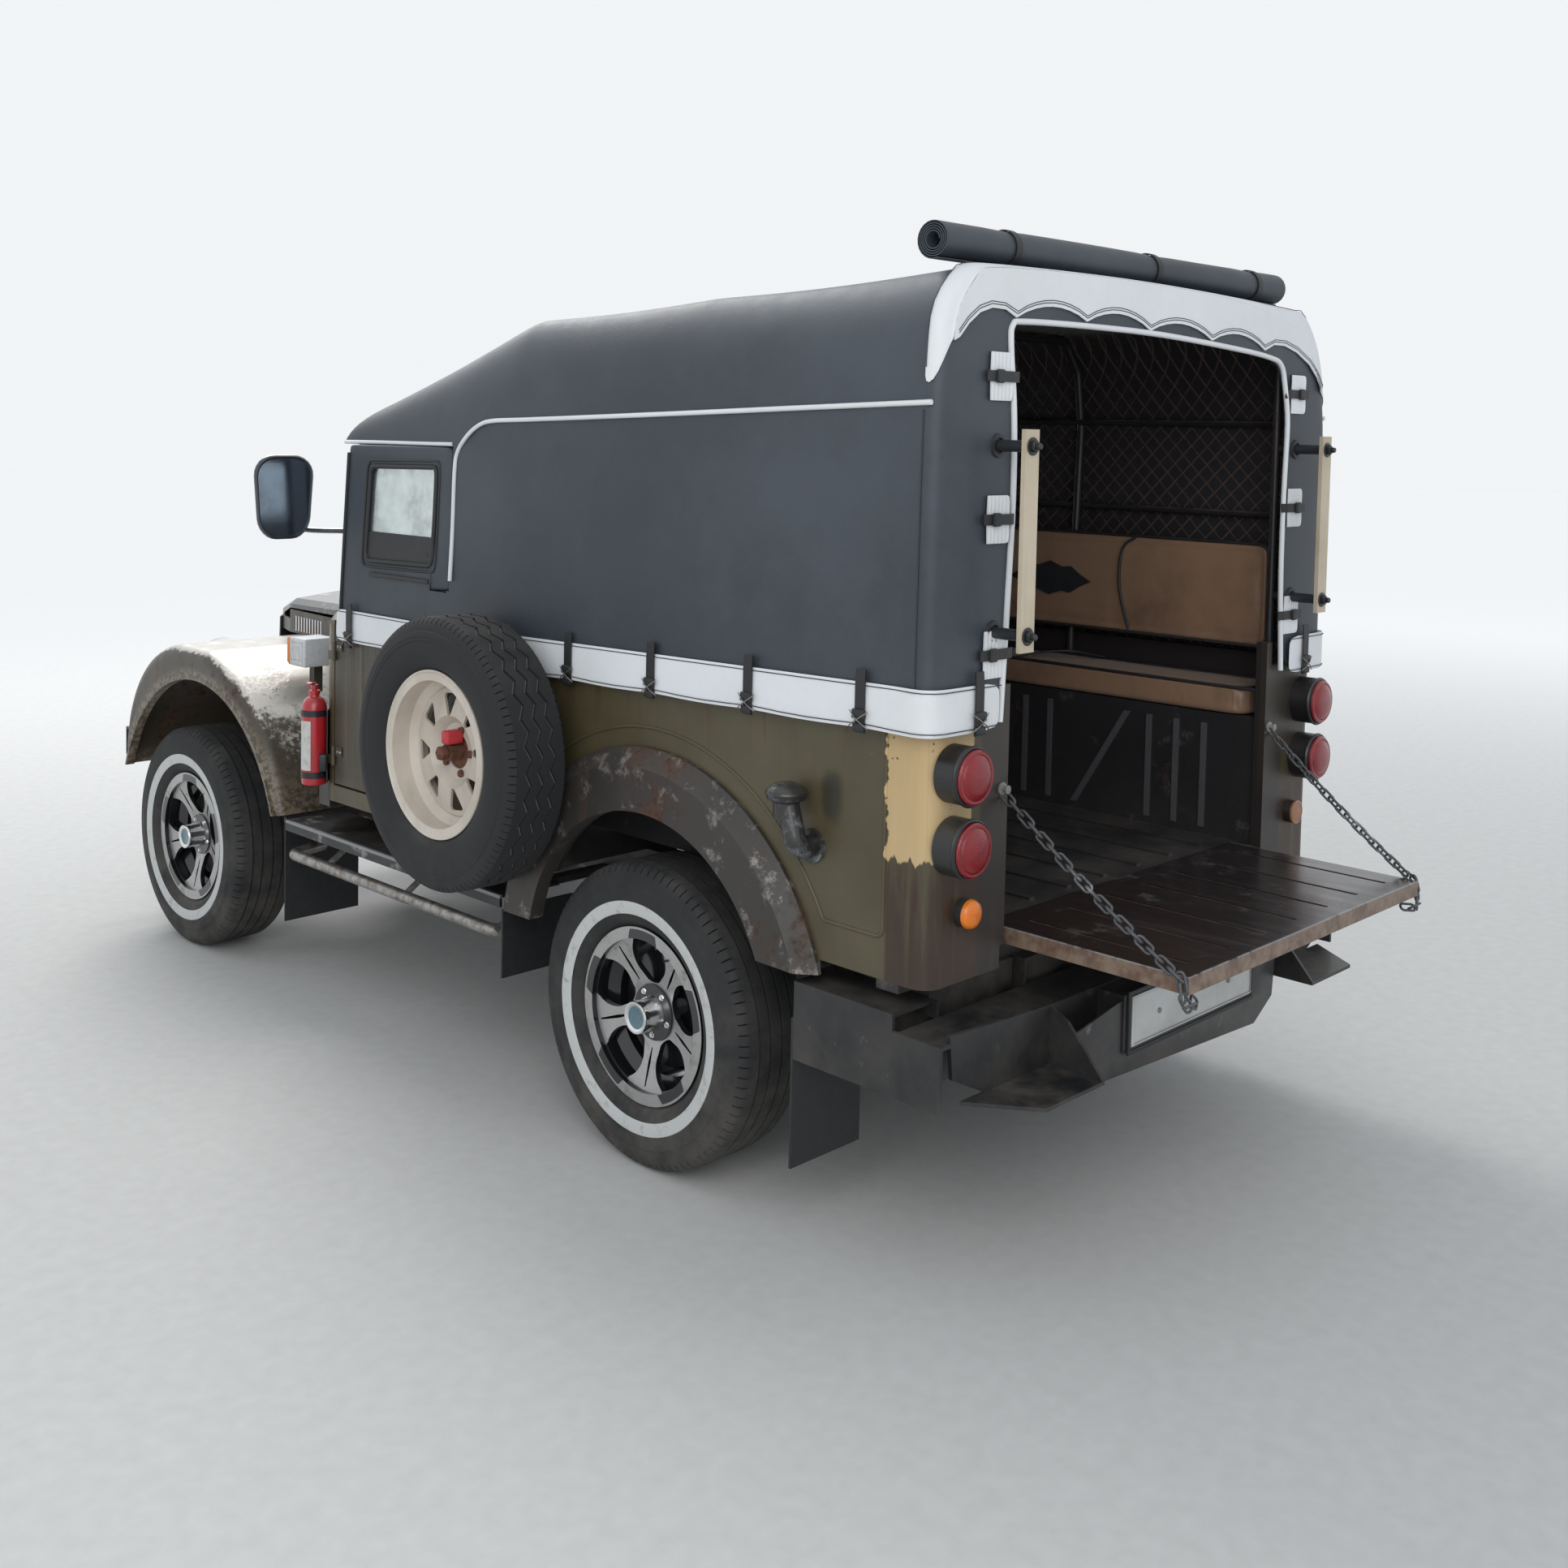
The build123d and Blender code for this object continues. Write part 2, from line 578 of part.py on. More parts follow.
nodes["rear_fenders"] = pair(rear_fender())

spare_place = Pos(spare_x, at(spare_centre), spare_z)
nodes["spare_rim"] = [spare_place * spare_rim]
nodes["spare_tyre"] = [spare_place * spare_tyre]

# Cowl: firewall, top, sides, dash, sills under the doors and the steering column
cowl_y = at(cowl_front)
door_front_y = at(door_front)
cowl = block(-body_half_width, body_half_width, cowl_y - sheet, cowl_y, sill_bottom_z + 60, waist_z)
cowl += block(-body_half_width, body_half_width, cowl_y - sheet, door_front_y - 18, waist_z - sheet, waist_z)
for side in pair(block(inner_half, body_half_width, cowl_y - sheet, door_front_y - door_gap,
                       sill_bottom_z, waist_z)):
    cowl += side
cowl += block(-inner_half, inner_half, door_front_y - 40, door_front_y - 30, waist_z - 190, waist_z - sheet)
for side in pair(block(inner_half, body_half_width, door_front_y - door_gap, side_front_y,
                       sill_bottom_z, sill_bottom_z + 50)):
    cowl += side
column_x = 340
column_low = (column_x, cowl_y - 4, 800)
column_high = (column_x, door_front_y + 190, 1130)
cowl += rod(column_low, column_high, 18)
bonnet_hinge_y = cowl_y - 12
bonnet_hinge_z = waist_z + 6
for end in pair(rod((121, bonnet_hinge_y, bonnet_hinge_z), (180, bonnet_hinge_y, bonnet_hinge_z), 5)
                + block(121, 180, bonnet_hinge_y, bonnet_hinge_y + 34, waist_z - 1, waist_z + 4)):
    cowl += end

column_dir = (Vector(*column_high) - Vector(*column_low)).normalized()
wheel_plane = Plane(origin=Vector(*column_high) + column_dir * 40, z_dir=column_dir)
wheel_ring = wheel_plane * Torus(200, 12)
wheel_hub = wheel_plane * Pos(0, 0, seat_gap - 40) * Cylinder(
    30, 48 - seat_gap, align=(Align.CENTER, Align.CENTER, Align.MIN))
steering_wheel = wheel_ring + wheel_hub
for turn in (90, 210, 330):
    steering_wheel += wheel_plane * Rot(0, 0, turn) * Pos(105, 0, 0) * Box(190, 18, 8)
nodes["steering_wheel"] = [steering_wheel]

# Windshield, leaning back from the cowl
frame_half = body_half_width - 55
post = 42
frame_height = 548
lean = 6.8
windshield_foot = Pos(0, door_front_y - 14, waist_z) * Rot(-lean, 0, 0)
screen = block(-frame_half, frame_half, -15, 15, 0.3, frame_height)
pane_low = 60
pane_high = frame_height - 50
pane_inner = 18
for side in (-1, 1):
    span = sorted((side * pane_inner, side * (frame_half - post)))
    screen -= block(span[0], span[1], -20, 20, pane_low, pane_high)
screen = windshield_foot * screen
screen &= block(-frame_half - 50, frame_half + 50, cowl_y - 100, door_front_y + 300, waist_z, waist_z + 700)
nodes["windshield"] = [screen]
nodes["windshield_glass"] = []
for side in (-1, 1):
    span = sorted((side * (pane_inner + seat_gap), side * (frame_half - post - seat_gap)))
    nodes["windshield_glass"].append(windshield_foot * block(
        span[0], span[1], -2, 2, pane_low + seat_gap, pane_high - seat_gap))

# Front fenders with the bonnet's louvred sides and the marker lamps
fender_inner_x = rail_outer_x - 30
fender_outer_x = body_half_width + 50
fender_low_z = 545
fender_skin = 6
fender_edge = 45
front_arch_radius = 534
fender_rear_y = cowl_y - 40


def fender_outline(inset):
    front = (front_axle_y - 415 + inset, fender_low_z)
    front_mid = (front_axle_y - 318 + inset * 0.75, 862 - inset * 0.7)
    top_front = (front_axle_y - 40, 1000 - inset)
    top_rear = (front_axle_y + 170, 1000 - inset)
    rear_mid = (fender_rear_y - 200 - inset * 0.7, 868 - inset * 0.7)
    rear = (fender_rear_y - inset, fender_low_z)
    edges = [ThreePointArc(*[(0, y, z) for y, z in (front, front_mid, top_front)]),
             Line(*[(0, y, z) for y, z in (top_front, top_rear)]),
             ThreePointArc(*[(0, y, z) for y, z in (top_rear, rear_mid, rear)]),
             Line(*[(0, y, z) for y, z in (rear, front)])]
    return make_face(edges)


def rounded_outside(solid, radius):
    """Rounds the long edge between the fender's top and its outer face."""
    face = solid.faces().sort_by(Axis.X)[-1]
    long_edges = [edge for edge in face.edges() if edge.center().Z > fender_low_z + 20]
    return fillet(long_edges, radius)


def fender():
    outer = Pos(fender_inner_x, 0, 0) * extrude(
        fender_outline(0), amount=fender_outer_x - fender_inner_x, dir=(1, 0, 0))
    inner = Pos(fender_inner_x + fender_skin, 0, -1) * extrude(
        fender_outline(fender_skin), amount=fender_outer_x - fender_inner_x - 2 * fender_skin, dir=(1, 0, 0))
    skin = rounded_outside(outer, fender_edge) - rounded_outside(inner, fender_edge - fender_skin)
    arch_place = (front_axle_y + 113, 367)
    skin -= rod((fender_outer_x - 110, *arch_place), (fender_outer_x + 60, *arch_place), front_arch_radius)
    lip = rod((fender_outer_x - 26, *arch_place), (fender_outer_x + 3, *arch_place), front_arch_radius + 8)
    lip -= rod((fender_outer_x - 27, *arch_place), (fender_outer_x + 4, *arch_place), front_arch_radius - 1)
    skin += lip & block(fender_outer_x - 250, fender_outer_x + 50, front_axle_y - 405, fender_rear_y,
                        fender_low_z, 1000)
    skin -= block(fender_inner_x - 1, rail_outer_x + 8, front_axle_y - 500, front_axle_y + 700,
                  fender_low_z - 5, rail_top_z)
    return skin


bonnet_sections = [
    # y, half width, edge z, shoulder z, crown z
    (cowl_y - sheet - 4, 440, 1100, 1140, 1170),
    (at(-2440), 370, 1086, 1118, 1142),
    (at(-2560), 332, 1052, 1088, 1100),
]


def bonnet_side():
    """The fixed panel between fender and bonnet edge, with its row of louvres."""
    (y0, w0, e0, *_), (y1, w1, e1, *_), (y2, w2, e2, *_) = bonnet_sections
    outline = [(w0, y0), (w1, y1), (w2, y2), (w2 - sheet, y2), (w1 - sheet, y1), (w0 - sheet, y0)]
    side = plan_plate(outline, 1000, e2 - 6)
    side += plan_plate([(w0, y0), (w1, y1), (w1 - sheet, y1), (w0 - sheet, y0)], e2 - 7, e1 - 6)
    for count in range(10):
        y = at(-2400 + count * 22)
        side -= block(300, 500, y, y + 10, 1012, 1058)
    return side


fender_left = fender() + bonnet_side()
headlamp_x = 520
headlamp_z = 870
headlamp_radius = 95
headlamp_back_y = front_axle_y - 200
headlamp_front_y = front_axle_y - 345
fender_left -= rod((headlamp_x, headlamp_back_y, headlamp_z), (headlamp_x, headlamp_front_y - 60, headlamp_z),
                   headlamp_radius + 0.5)
marker_bracket = block(570, 600, at(-1900), at(-1870), 850, 968)
marker = block(555, 655, at(-1935), at(-1830), 966, 1050)
fender_left += marker_bracket
fender_left += marker
nodes["front_fenders"] = pair(fender_left)

lamp = rod((headlamp_x, headlamp_back_y, headlamp_z), (headlamp_x, headlamp_front_y, headlamp_z), headlamp_radius)
dome = Pos(headlamp_x, headlamp_front_y + 150, headlamp_z) * Sphere(178)
dome &= rod((headlamp_x, headlamp_front_y + 1, headlamp_z), (headlamp_x, headlamp_front_y - 60, headlamp_z),
            headlamp_radius - 8)
nodes["headlamps"] = pair(lamp + dome)

# Grille with upright slots, and the radiator behind it
grille_y = bonnet_sections[2][0]
grille_points = [(-352, 600), (352, 600), (340, 1040), (300, 1068), (0, 1082), (-300, 1068), (-340, 1040)]
grille = front_plate(grille_points, grille_y - sheet, grille_y)
for count in range(9):
    x = (count - 4) * 58
    grille -= block(x - 15, x + 15, grille_y - 20, grille_y + 20, 690, 1010)
radiator = block(-270, 270, grille_y + 24, grille_y + 74, 610, 1030)
grille_feet = [block(x - 20, x + 20, grille_y - sheet, grille_y + 60, 600, 616) for x in (-340, 340)]
for piece in (radiator, block(-270, 270, grille_y - 2, grille_y + 30, 612, 640), *grille_feet):
    grille += piece
nodes["grille"] = [grille]


def lofted(sections, inset, drop):
    faces = []
    for y, half, edge, shoulder, crown in sections:
        half -= inset
        points = [(-half, edge - drop), (-half, shoulder - inset - 18), (-half + 26, shoulder - inset),
                  (-half * 0.5, (shoulder + 2 * crown) / 3 - inset), (0, crown - inset),
                  (half * 0.5, (shoulder + 2 * crown) / 3 - inset), (half - 26, shoulder - inset),
                  (half, shoulder - inset - 18), (half, edge - drop)]
        faces.append(make_face(Polyline(*[(x, y, z) for x, z in points], close=True)))
    return loft(faces, ruled=True)


bonnet = lofted(bonnet_sections, 0, 0) - lofted(
    [(y + shift, *rest) for shift, (y, *rest) in zip((-sheet, 0, 9), bonnet_sections)], sheet, 3)
for end in pair(rod((60, bonnet_hinge_y, bonnet_hinge_z), (120.5, bonnet_hinge_y, bonnet_hinge_z), 5)
                + block(60, 120.5, bonnet_hinge_y - 34, bonnet_hinge_y, waist_z - 14, waist_z + 4)):
    bonnet += end
nodes["bonnet"] = [bonnet]

# Bumpers
bumper_front_y = -overall_length / 2
bumper = block(-760, 760, bumper_front_y, bumper_front_y + 8, 540, 640)
bumper += block(-760, 760, bumper_front_y, bumper_front_y + 62, 632, 640)
bumper += block(-760, 760, bumper_front_y, bumper_front_y + 62, 540, 548)
for side in pair(block(rail_outer_x - rail_width, rail_outer_x, bumper_front_y + 4, bumper_back_y,
                       548, rail_top_z)):
    bumper += side
tow_eye_radius = 15
tow_eye_thick = 16
tow_eye_z = 672
for side in (-1, 1):
    x = side * (rail_outer_x - rail_width / 2)
    eye = block(x - tow_eye_thick / 2, x + tow_eye_thick / 2, bumper_front_y + 8, bumper_front_y + 62, 636, 700)
    eye -= rod((x - 20, bumper_front_y + 36, tow_eye_z), (x + 20, bumper_front_y + 36, tow_eye_z), tow_eye_radius)
    bumper += eye
nodes["front_bumper"] = [bumper]

rear_beam_y = at(800)
rear_face_y = at(990)
plate_z = 478
bumper_half = body_half_width + 30
step_box_x = bumper_half - 130
plate_wall = 8
rear_bumper = block(-bumper_half, bumper_half, rear_beam_y, rear_beam_y + plate_wall, 410, 545)
rear_bumper += block(-bumper_half, bumper_half, rear_beam_y, at(915), 545 - plate_wall, 545)
for side in pair(block(bumper_half - plate_wall, bumper_half, at(520), at(915), 410, 545)
                 + block(step_box_x, bumper_half, at(515), at(790), 580 - plate_wall, 580)
                 + block(bumper_half - plate_wall, bumper_half, at(515), at(790), 540, 580)
                 + block(step_box_x, step_box_x + plate_wall, at(515), at(805), 545, 580)
                 + block(step_box_x, bumper_half, at(515), at(515) + plate_wall, 410, 580)):
    rear_bumper += side
centre_outline = [(-450, 545), (450, 545), (420, 400), (330, 366), (-330, 366), (-420, 400)]
centre = front_plate(centre_outline, at(905), at(915))
centre += block(-285, 285, at(910), rear_face_y - 6, 417, 540)
centre -= block(-270, 270, at(920), rear_face_y - 14, 425, 532)
rear_bumper += centre
rear_bumper += block(-450, 450, rear_beam_y, at(912), 366, 374)
plate_hole = 3.5
plate_hole_half = 150
for side in (-1, 1):
    x = side * plate_hole_half
    rear_bumper -= rod((x, rear_face_y - 30, plate_z), (x, rear_face_y, plate_z), plate_hole)
pocket_x = 455
for side in pair(front_plate([(pocket_x, 545), (bumper_half - 30, 560), (bumper_half - 40, 470),
                              (bumper_half - 160, 410), (pocket_x, 410)], at(905), at(915))
                 + plan_plate([(pocket_x, at(910)), (bumper_half - 70, at(910)), (bumper_half - 170, at(1050)),
                               (pocket_x, at(1050))], 410, 418)
                 + side_plate([(at(910), 545), (at(960), 520), (at(1050), 418), (at(910), 410)],
                              pocket_x, pocket_x + plate_wall)):
    rear_bumper += side
for side in pair(block(rail_outer_x - rail_width, rail_outer_x - rail_plate, at(740), rear_beam_y + 4,
                       430, rail_bottom_z)):
    rear_bumper += side
nodes["rear_bumper"] = [rear_bumper]

# Side steps: a board and a tube along each side, on brackets from the rails
step_outer_x = body_half_width + 15
step_inner_x = step_outer_x - 195
tube_x = step_outer_x - 46
tube_low_z = 410
board = block(step_inner_x, step_outer_x, at(-1660), at(-560), 524, 532)
board += block(step_outer_x - plate_wall, step_outer_x, at(-1660), at(-560), 500, 532)
step_tube = bent_tube([(step_inner_x + 20, at(-1740), tube_low_z), (tube_x, at(-1700), tube_low_z),
                       (tube_x, at(-650), tube_low_z), (step_inner_x + 20, at(-610), tube_low_z)], 30, 17)
for y in (at(-1500), at(-1080), at(-640)):
    board += block(rail_outer_x, step_inner_x + 20, y - 20, y + 20, 506, 524)
    board += block(step_inner_x, step_inner_x + 20, y - 20, y + 20, 500, 528)
    board += rod((step_inner_x + 9, y, 506), (tube_x, y, tube_low_z), 9)
hanger_outer_x = spring_x + leaf_width / 2 + 6 + seat_gap
front_flap_x = step_outer_x - 70
front_flap_y = front_axle_y + spring_pack[0] + 7
board += block(hanger_outer_x + seat_gap, front_flap_x, front_flap_y - 3, front_flap_y + 9, 488, 506)
board += step_tube
nodes["side_steps"] = pair(board)

# Mud flaps behind and ahead of the wheels
flap_table = [
    # x0, x1, y, low z, high z
    (front_flap_x - 260, front_flap_x, front_flap_y, 175, 488 - seat_gap),
    (flare_half_width - 232, flare_half_width - 4, at(-520), 330, 510 - seat_gap),
    (bumper_half - 220, bumper_half, at(515 - 6) - seat_gap, 170, 500),
]
flaps = []
for x0, x1, y, low, high in flap_table:
    flaps += pair(block(x0, x1, y, y + 6, low, high))
nodes["mud_flaps"] = flaps

# Doors: a steel lower half and a canvas upper half on the same hinge line
door_front_edge = door_front_y
door_rear_edge = at(door_rear)


hinge_x = body_half_width + 6
hinge_line_y = door_front_y + 2
hinge_radius = 6
hinge_leaf = 40
hinge_heights = (740, 1050)


def door_hinge(z, forward):
    """Half of one door hinge: a leaf on the outside of the body and its eye on the hinge line."""
    eye = rod((hinge_x, hinge_line_y, z), (hinge_x, hinge_line_y, z + 28), hinge_radius)
    ends = sorted((hinge_line_y, hinge_line_y + (-hinge_leaf if forward else hinge_leaf)))
    return eye + block(body_half_width, body_half_width + 4, ends[0], ends[1], z, z + 28)


for z in hinge_heights:
    for half in pair(door_hinge(z, True)):
        cowl += half
nodes["cowl"] = [cowl]


def door():
    outline = [(door_front_edge, sill_bottom_z + 56), (door_rear_edge, sill_bottom_z + 56),
               (door_rear_edge, waist_z - 16), (door_front_edge, waist_z - 16)]
    leaf_plate = side_plate(outline, inner_half, body_half_width)
    corner = leaf_plate.edges().filter_by(Axis.X).sort_by(
        lambda edge: (edge.center() - Vector(edge.center().X, door_rear_edge, sill_bottom_z + 56)).length)[0]
    leaf_plate = fillet(corner, 70)
    leaf_plate += rod((body_half_width, door_rear_edge - 60, 1080), (body_half_width + 34, door_rear_edge - 60, 1080), 8)
    leaf_plate += block(body_half_width + 24, body_half_width + 34, door_rear_edge - 150, door_rear_edge - 50,
                        1072, 1088)
    for z in hinge_heights:
        leaf_plate += door_hinge(z + 28.5, False)
    return leaf_plate


def door_top():
    low = waist_z - 15.7
    outer = [(door_front_edge + 16, low), (at(door_rear) - 1, low), (at(door_rear) - 1, 1296),
             (at(door_top_rear), 1296), (at(door_top_rear), 1680), (door_front_edge + 66, 1672)]
    window = [(at(-1245), 1356), (at(-905), 1362), (at(-884), 1630), (at(-1212), 1624)]
    top = side_plate(outer, inner_half + 2, body_half_width - 4)
    opening = side_plate(window, inner_half - 10, body_half_width + 10)
    opening = fillet(opening.edges().filter_by(Axis.X), 26)
    return top - opening


left_door = door()
left_door_top = door_top()
nodes["door_left"] = [left_door]
nodes["door_right"] = [other_side(left_door)]
nodes["door_top_left"] = [left_door_top]
nodes["door_top_right"] = [other_side(left_door_top)]

# Canopy: one sheet over three bows, open at the front and with the rear opening cut
hem_x = body_half_width + 28
canopy_sections = [
    # y, hem x, hem z, eave x, eave z, shoulder x, shoulder z, edge x, edge z, crown z
    (at(canopy_front), hem_x - 15, 1100, hem_x - 48, 1688, hem_x - 90, 1748, hem_x - 164, 1776, 1790),
    (at(first_bow), hem_x - 15, 1128, hem_x - 22, 1712, hem_x - 43, 1905, hem_x - 114, 2022, 2040),
    (at(canopy_rear), hem_x, 1155, hem_x - 12, 1830, hem_x - 43, 1986, hem_x - 124, 2080, 2098),
]


def canopy_outline(section, inset, hem_drop):
    y, low_x, low_z, eave_x, eave_z, shoulder_x, shoulder_z, edge_x, edge_z, crown_z = section
    half = [(low_x - inset, low_z - hem_drop), (eave_x - inset, eave_z), (shoulder_x - inset, shoulder_z - inset / 3),
            (edge_x - inset / 2, edge_z - inset), (0, crown_z - inset)]
    points = half + [(-x, z) for x, z in half[-2::-1]]
    return make_face(Polyline(*[(x, y, z) for x, z in points], close=True))


def canopy_at(y):
    """The canopy's section sizes at any place along the car."""
    for low, high in zip(canopy_sections, canopy_sections[1:]):
        if low[0] <= y <= high[0]:
            share = (y - low[0]) / (high[0] - low[0])
            return [a + (b - a) * share for a, b in zip(low, high)]
    return list(canopy_sections[-1])


outside = loft([canopy_outline(section, 0, 0) for section in canopy_sections], ruled=True)
inside_sections = [list(section) for section in canopy_sections]
inside_sections[0][0] -= 10
inside_sections[-1][0] -= canvas
inside = loft([canopy_outline(section, canvas, 40) for section in inside_sections], ruled=True)
canopy = outside - inside
front_cut_y = at(door_top_rear) + door_gap
canopy -= block(-hem_x - 50, hem_x + 50, at(canopy_front) - 20, front_cut_y, 1290, 1690)
canopy -= block(-hem_x - 50, hem_x + 50, at(canopy_front) - 20, side_front_y + 4, 1000, 1295)
opening_top_z = 1975
opening_points = [(-600, 1100), (600, 1100), (552, opening_top_z), (-552, opening_top_z)]
opening = front_plate(opening_points, at(canopy_rear) - 60, at(canopy_rear) + 20)
top_corners = opening.edges().filter_by(Axis.Y).group_by(Axis.Z)[-1]
canopy -= fillet(top_corners, 50)
grab_x = 630
grab_heights = (1345, 1726)
for x in (-grab_x, grab_x):
    for z in grab_heights:
        canopy -= rod((x, at(canopy_rear) - 40, z), (x, at(canopy_rear) + 20, z), 13)
nodes["canopy"] = [canopy]

bows = None
bow_inset = canvas + bow_radius + 4
for y in (at(first_bow), at(middle_bow), at(rear_bow)):
    *_, eave_x, eave_z, shoulder_x, shoulder_z, edge_x, edge_z, crown_z = canopy_at(y)
    foot_x = inner_half - bow_radius - seat_gap
    half = [(foot_x, waist_z - 120), (foot_x, waist_z + 60),
            (eave_x - bow_inset, eave_z), (shoulder_x - bow_inset, shoulder_z - 8),
            (edge_x - bow_inset + 6, edge_z - bow_inset)]
    points = half + [(-x, z) for x, z in half[::-1]]
    bow = bent_tube([(x, y, z) for x, z in points], 50, bow_radius)
    bows = bow if bows is None else bows + bow
for side in (-1, 1):
    for z, inset in ((1545, 0), (1790, 6)):
        low = canopy_at(at(first_bow))
        high = canopy_at(at(rear_bow))
        x0 = side * (low[3] - bow_inset - inset - 4)
        x1 = side * (high[3] - bow_inset - inset - 4)
        bows += rod((x0, at(first_bow), z), (x1, at(rear_bow), z), 9)
    post_top = canopy_at(at(rear_bow))[8] - bow_inset
    bows += rod((side * grab_x, at(rear_bow), waist_z - 60), (side * grab_x, at(rear_bow), post_top), 11)
nodes["canopy_bows"] = [bows]

roll_radius = 42
roll_y = at(770)
roll_z = canopy_at(roll_y)[9] + roll_radius + 0.5
roll_half = body_half_width - 95
nodes["curtain_roll"] = [rod((-roll_half, roll_y, roll_z), (roll_half, roll_y, roll_z), roll_radius)]

grab = []
for x in (-grab_x, grab_x):
    bar = block(x - 23, x + 23, at(940), at(950), 1312, 1760)
    for z in grab_heights:
        bar += rod((x, at(rear_bow) + 11, z), (x, at(945), z), 12)
    grab.append(bar)
nodes["grab_bars"] = grab

# Rear lamps, extinguisher and mirrors
lamp_x = body_half_width - 67
small_lamp_x = body_half_width - 110
lamps = []
for side in (-1, 1):
    x = side * lamp_x
    for z in (1067, 920):
        housing = rod((x, body_rear_y, z), (x, body_rear_y + 50, z), 60)
        lamps.append(housing + rod((x, body_rear_y + 50, z), (x, body_rear_y + 60, z), 55))
    x = side * small_lamp_x
    lamps.append(rod((x, body_rear_y, 775), (x, body_rear_y + 22, 775), 30))
nodes["tail_lamps"] = lamps

ext_x = body_half_width + 42
ext_y = at(-1500)
extinguisher = rod((ext_x, ext_y, 675), (ext_x, ext_y, 910), 37)
extinguisher += Pos(ext_x, ext_y, 910) * Sphere(37)
extinguisher += rod((ext_x, ext_y, 940), (ext_x, ext_y, 985), 13)
extinguisher += block(body_half_width, ext_x - 30, ext_y - 12, ext_y + 12, 700, 724)
extinguisher += block(body_half_width, ext_x - 30, ext_y - 12, ext_y + 12, 860, 884)
nodes["extinguisher"] = [extinguisher]

mirror_x = body_half_width + 135
mirror_y = at(-1460)
mirror_z = 1528
mirror_half_width = 88
mirror_half_height = 122
mirror_head = block(mirror_x - mirror_half_width, mirror_x + mirror_half_width, mirror_y - 14, mirror_y + 10,
                    mirror_z - mirror_half_height, mirror_z + mirror_half_height)
mirror_head = fillet(mirror_head.edges().filter_by(Axis.Y), 32)
mirror_arm = bent_tube([(frame_half + seat_gap, door_front_y + 17, 1430), (frame_half + 25, door_front_y + 17, 1430),
                        (mirror_x - 80, mirror_y - 44, 1430),
                        (mirror_x, mirror_y - 20, 1500)], 16, 8)
nodes["mirrors"] = pair(mirror_head + mirror_arm)

# Seats
front_seats = []
for side in (-1, 1):
    span = sorted((side * 90, side * 620))
    cushion = block(span[0], span[1], at(-1130), at(-700), 860, 985)
    cushion = fillet(cushion.edges(), 22)
    box = block(span[0] + 40, span[1] - 40, at(-1090), at(-740), floor_top_z, 862)
    back = block(span[0], span[1], at(-705), at(-615), 960, 1440)
    back = fillet(back.edges(), 22)
    front_seats.append(cushion + box + back)
nodes["front_seats"] = front_seats
benches = []
for side in (-1, 1):
    span = sorted((side * (wheel_box_x - 10), side * (inner_half - 34)))
    cushion = block(span[0], span[1], at(-430), at(794), wheel_box_top_z + seat_gap, 1136)
    benches.append(fillet(cushion.edges(), 20))
    span = sorted((side * (inner_half - 72), side * (inner_half - 2 * bow_radius - 2 * seat_gap)))
    rest = block(span[0], span[1], at(-400), at(760), 1190, 1475)
    benches.append(fillet(rest.edges(), 12))
nodes["bench_seats"] = benches

# Tailgate, let down flat on its chains
groove_half = 6
groove_depth = 4
gate_low_z = tailgate_top_z - tailgate_thick
gate_front_y = hinge_y - 5
gate_rear_y = hinge_y + tailgate_length
gate = block(-tailgate_half, tailgate_half, gate_front_y, gate_rear_y, tailgate_top_z - 8, tailgate_top_z)
gate += block(-tailgate_half, tailgate_half, gate_rear_y - 8, gate_rear_y, gate_low_z, tailgate_top_z)
gate += block(-tailgate_half, tailgate_half, gate_front_y, gate_front_y + 8, gate_low_z, tailgate_top_z)
for side in pair(block(tailgate_half - 8, tailgate_half, gate_front_y, gate_rear_y, gate_low_z, tailgate_top_z)):
    gate += side
gate += block(-tailgate_half, tailgate_half, gate_front_y, gate_rear_y, gate_low_z, gate_low_z + 4)
for pin in pair(rod((tailgate_half - 20, hinge_y, hinge_z), (hinge_x1 - 8, hinge_y, hinge_z), hinge_pin_radius)):
    gate += pin
for count in range(rib_count):
    x = (count - (rib_count - 1) / 2) * rib_pitch
    gate -= block(x - groove_half, x + groove_half, gate_front_y + 60, gate_rear_y - 45,
                  tailgate_top_z - groove_depth, tailgate_top_z + 1)
nodes["tailgate"] = [gate]

chain_radius = 6
chain_top = (tail_opening_half + 2, body_rear_y + 4, 1010)
chain_low = (tailgate_half + chain_radius + seat_gap, gate_rear_y - 12, tailgate_top_z - 12)
nodes["tailgate_chains"] = pair(rod(chain_top, chain_low, chain_radius))

os.makedirs("parts", exist_ok=True)
for name, shapes in nodes.items():
    solids = []
    for shape in shapes:
        solids += list(shape.solids())
    body = solids[0] if len(solids) == 1 else Compound(children=solids)
    export_step(body, f"parts/{name}.step")
print("wrote", len(nodes), "parts")
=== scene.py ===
# A light army 4x4 car with a canvas top, standing with its tailgate let down on its chains.
import bpy
import bmesh
import math
from mathutils import Matrix, Vector


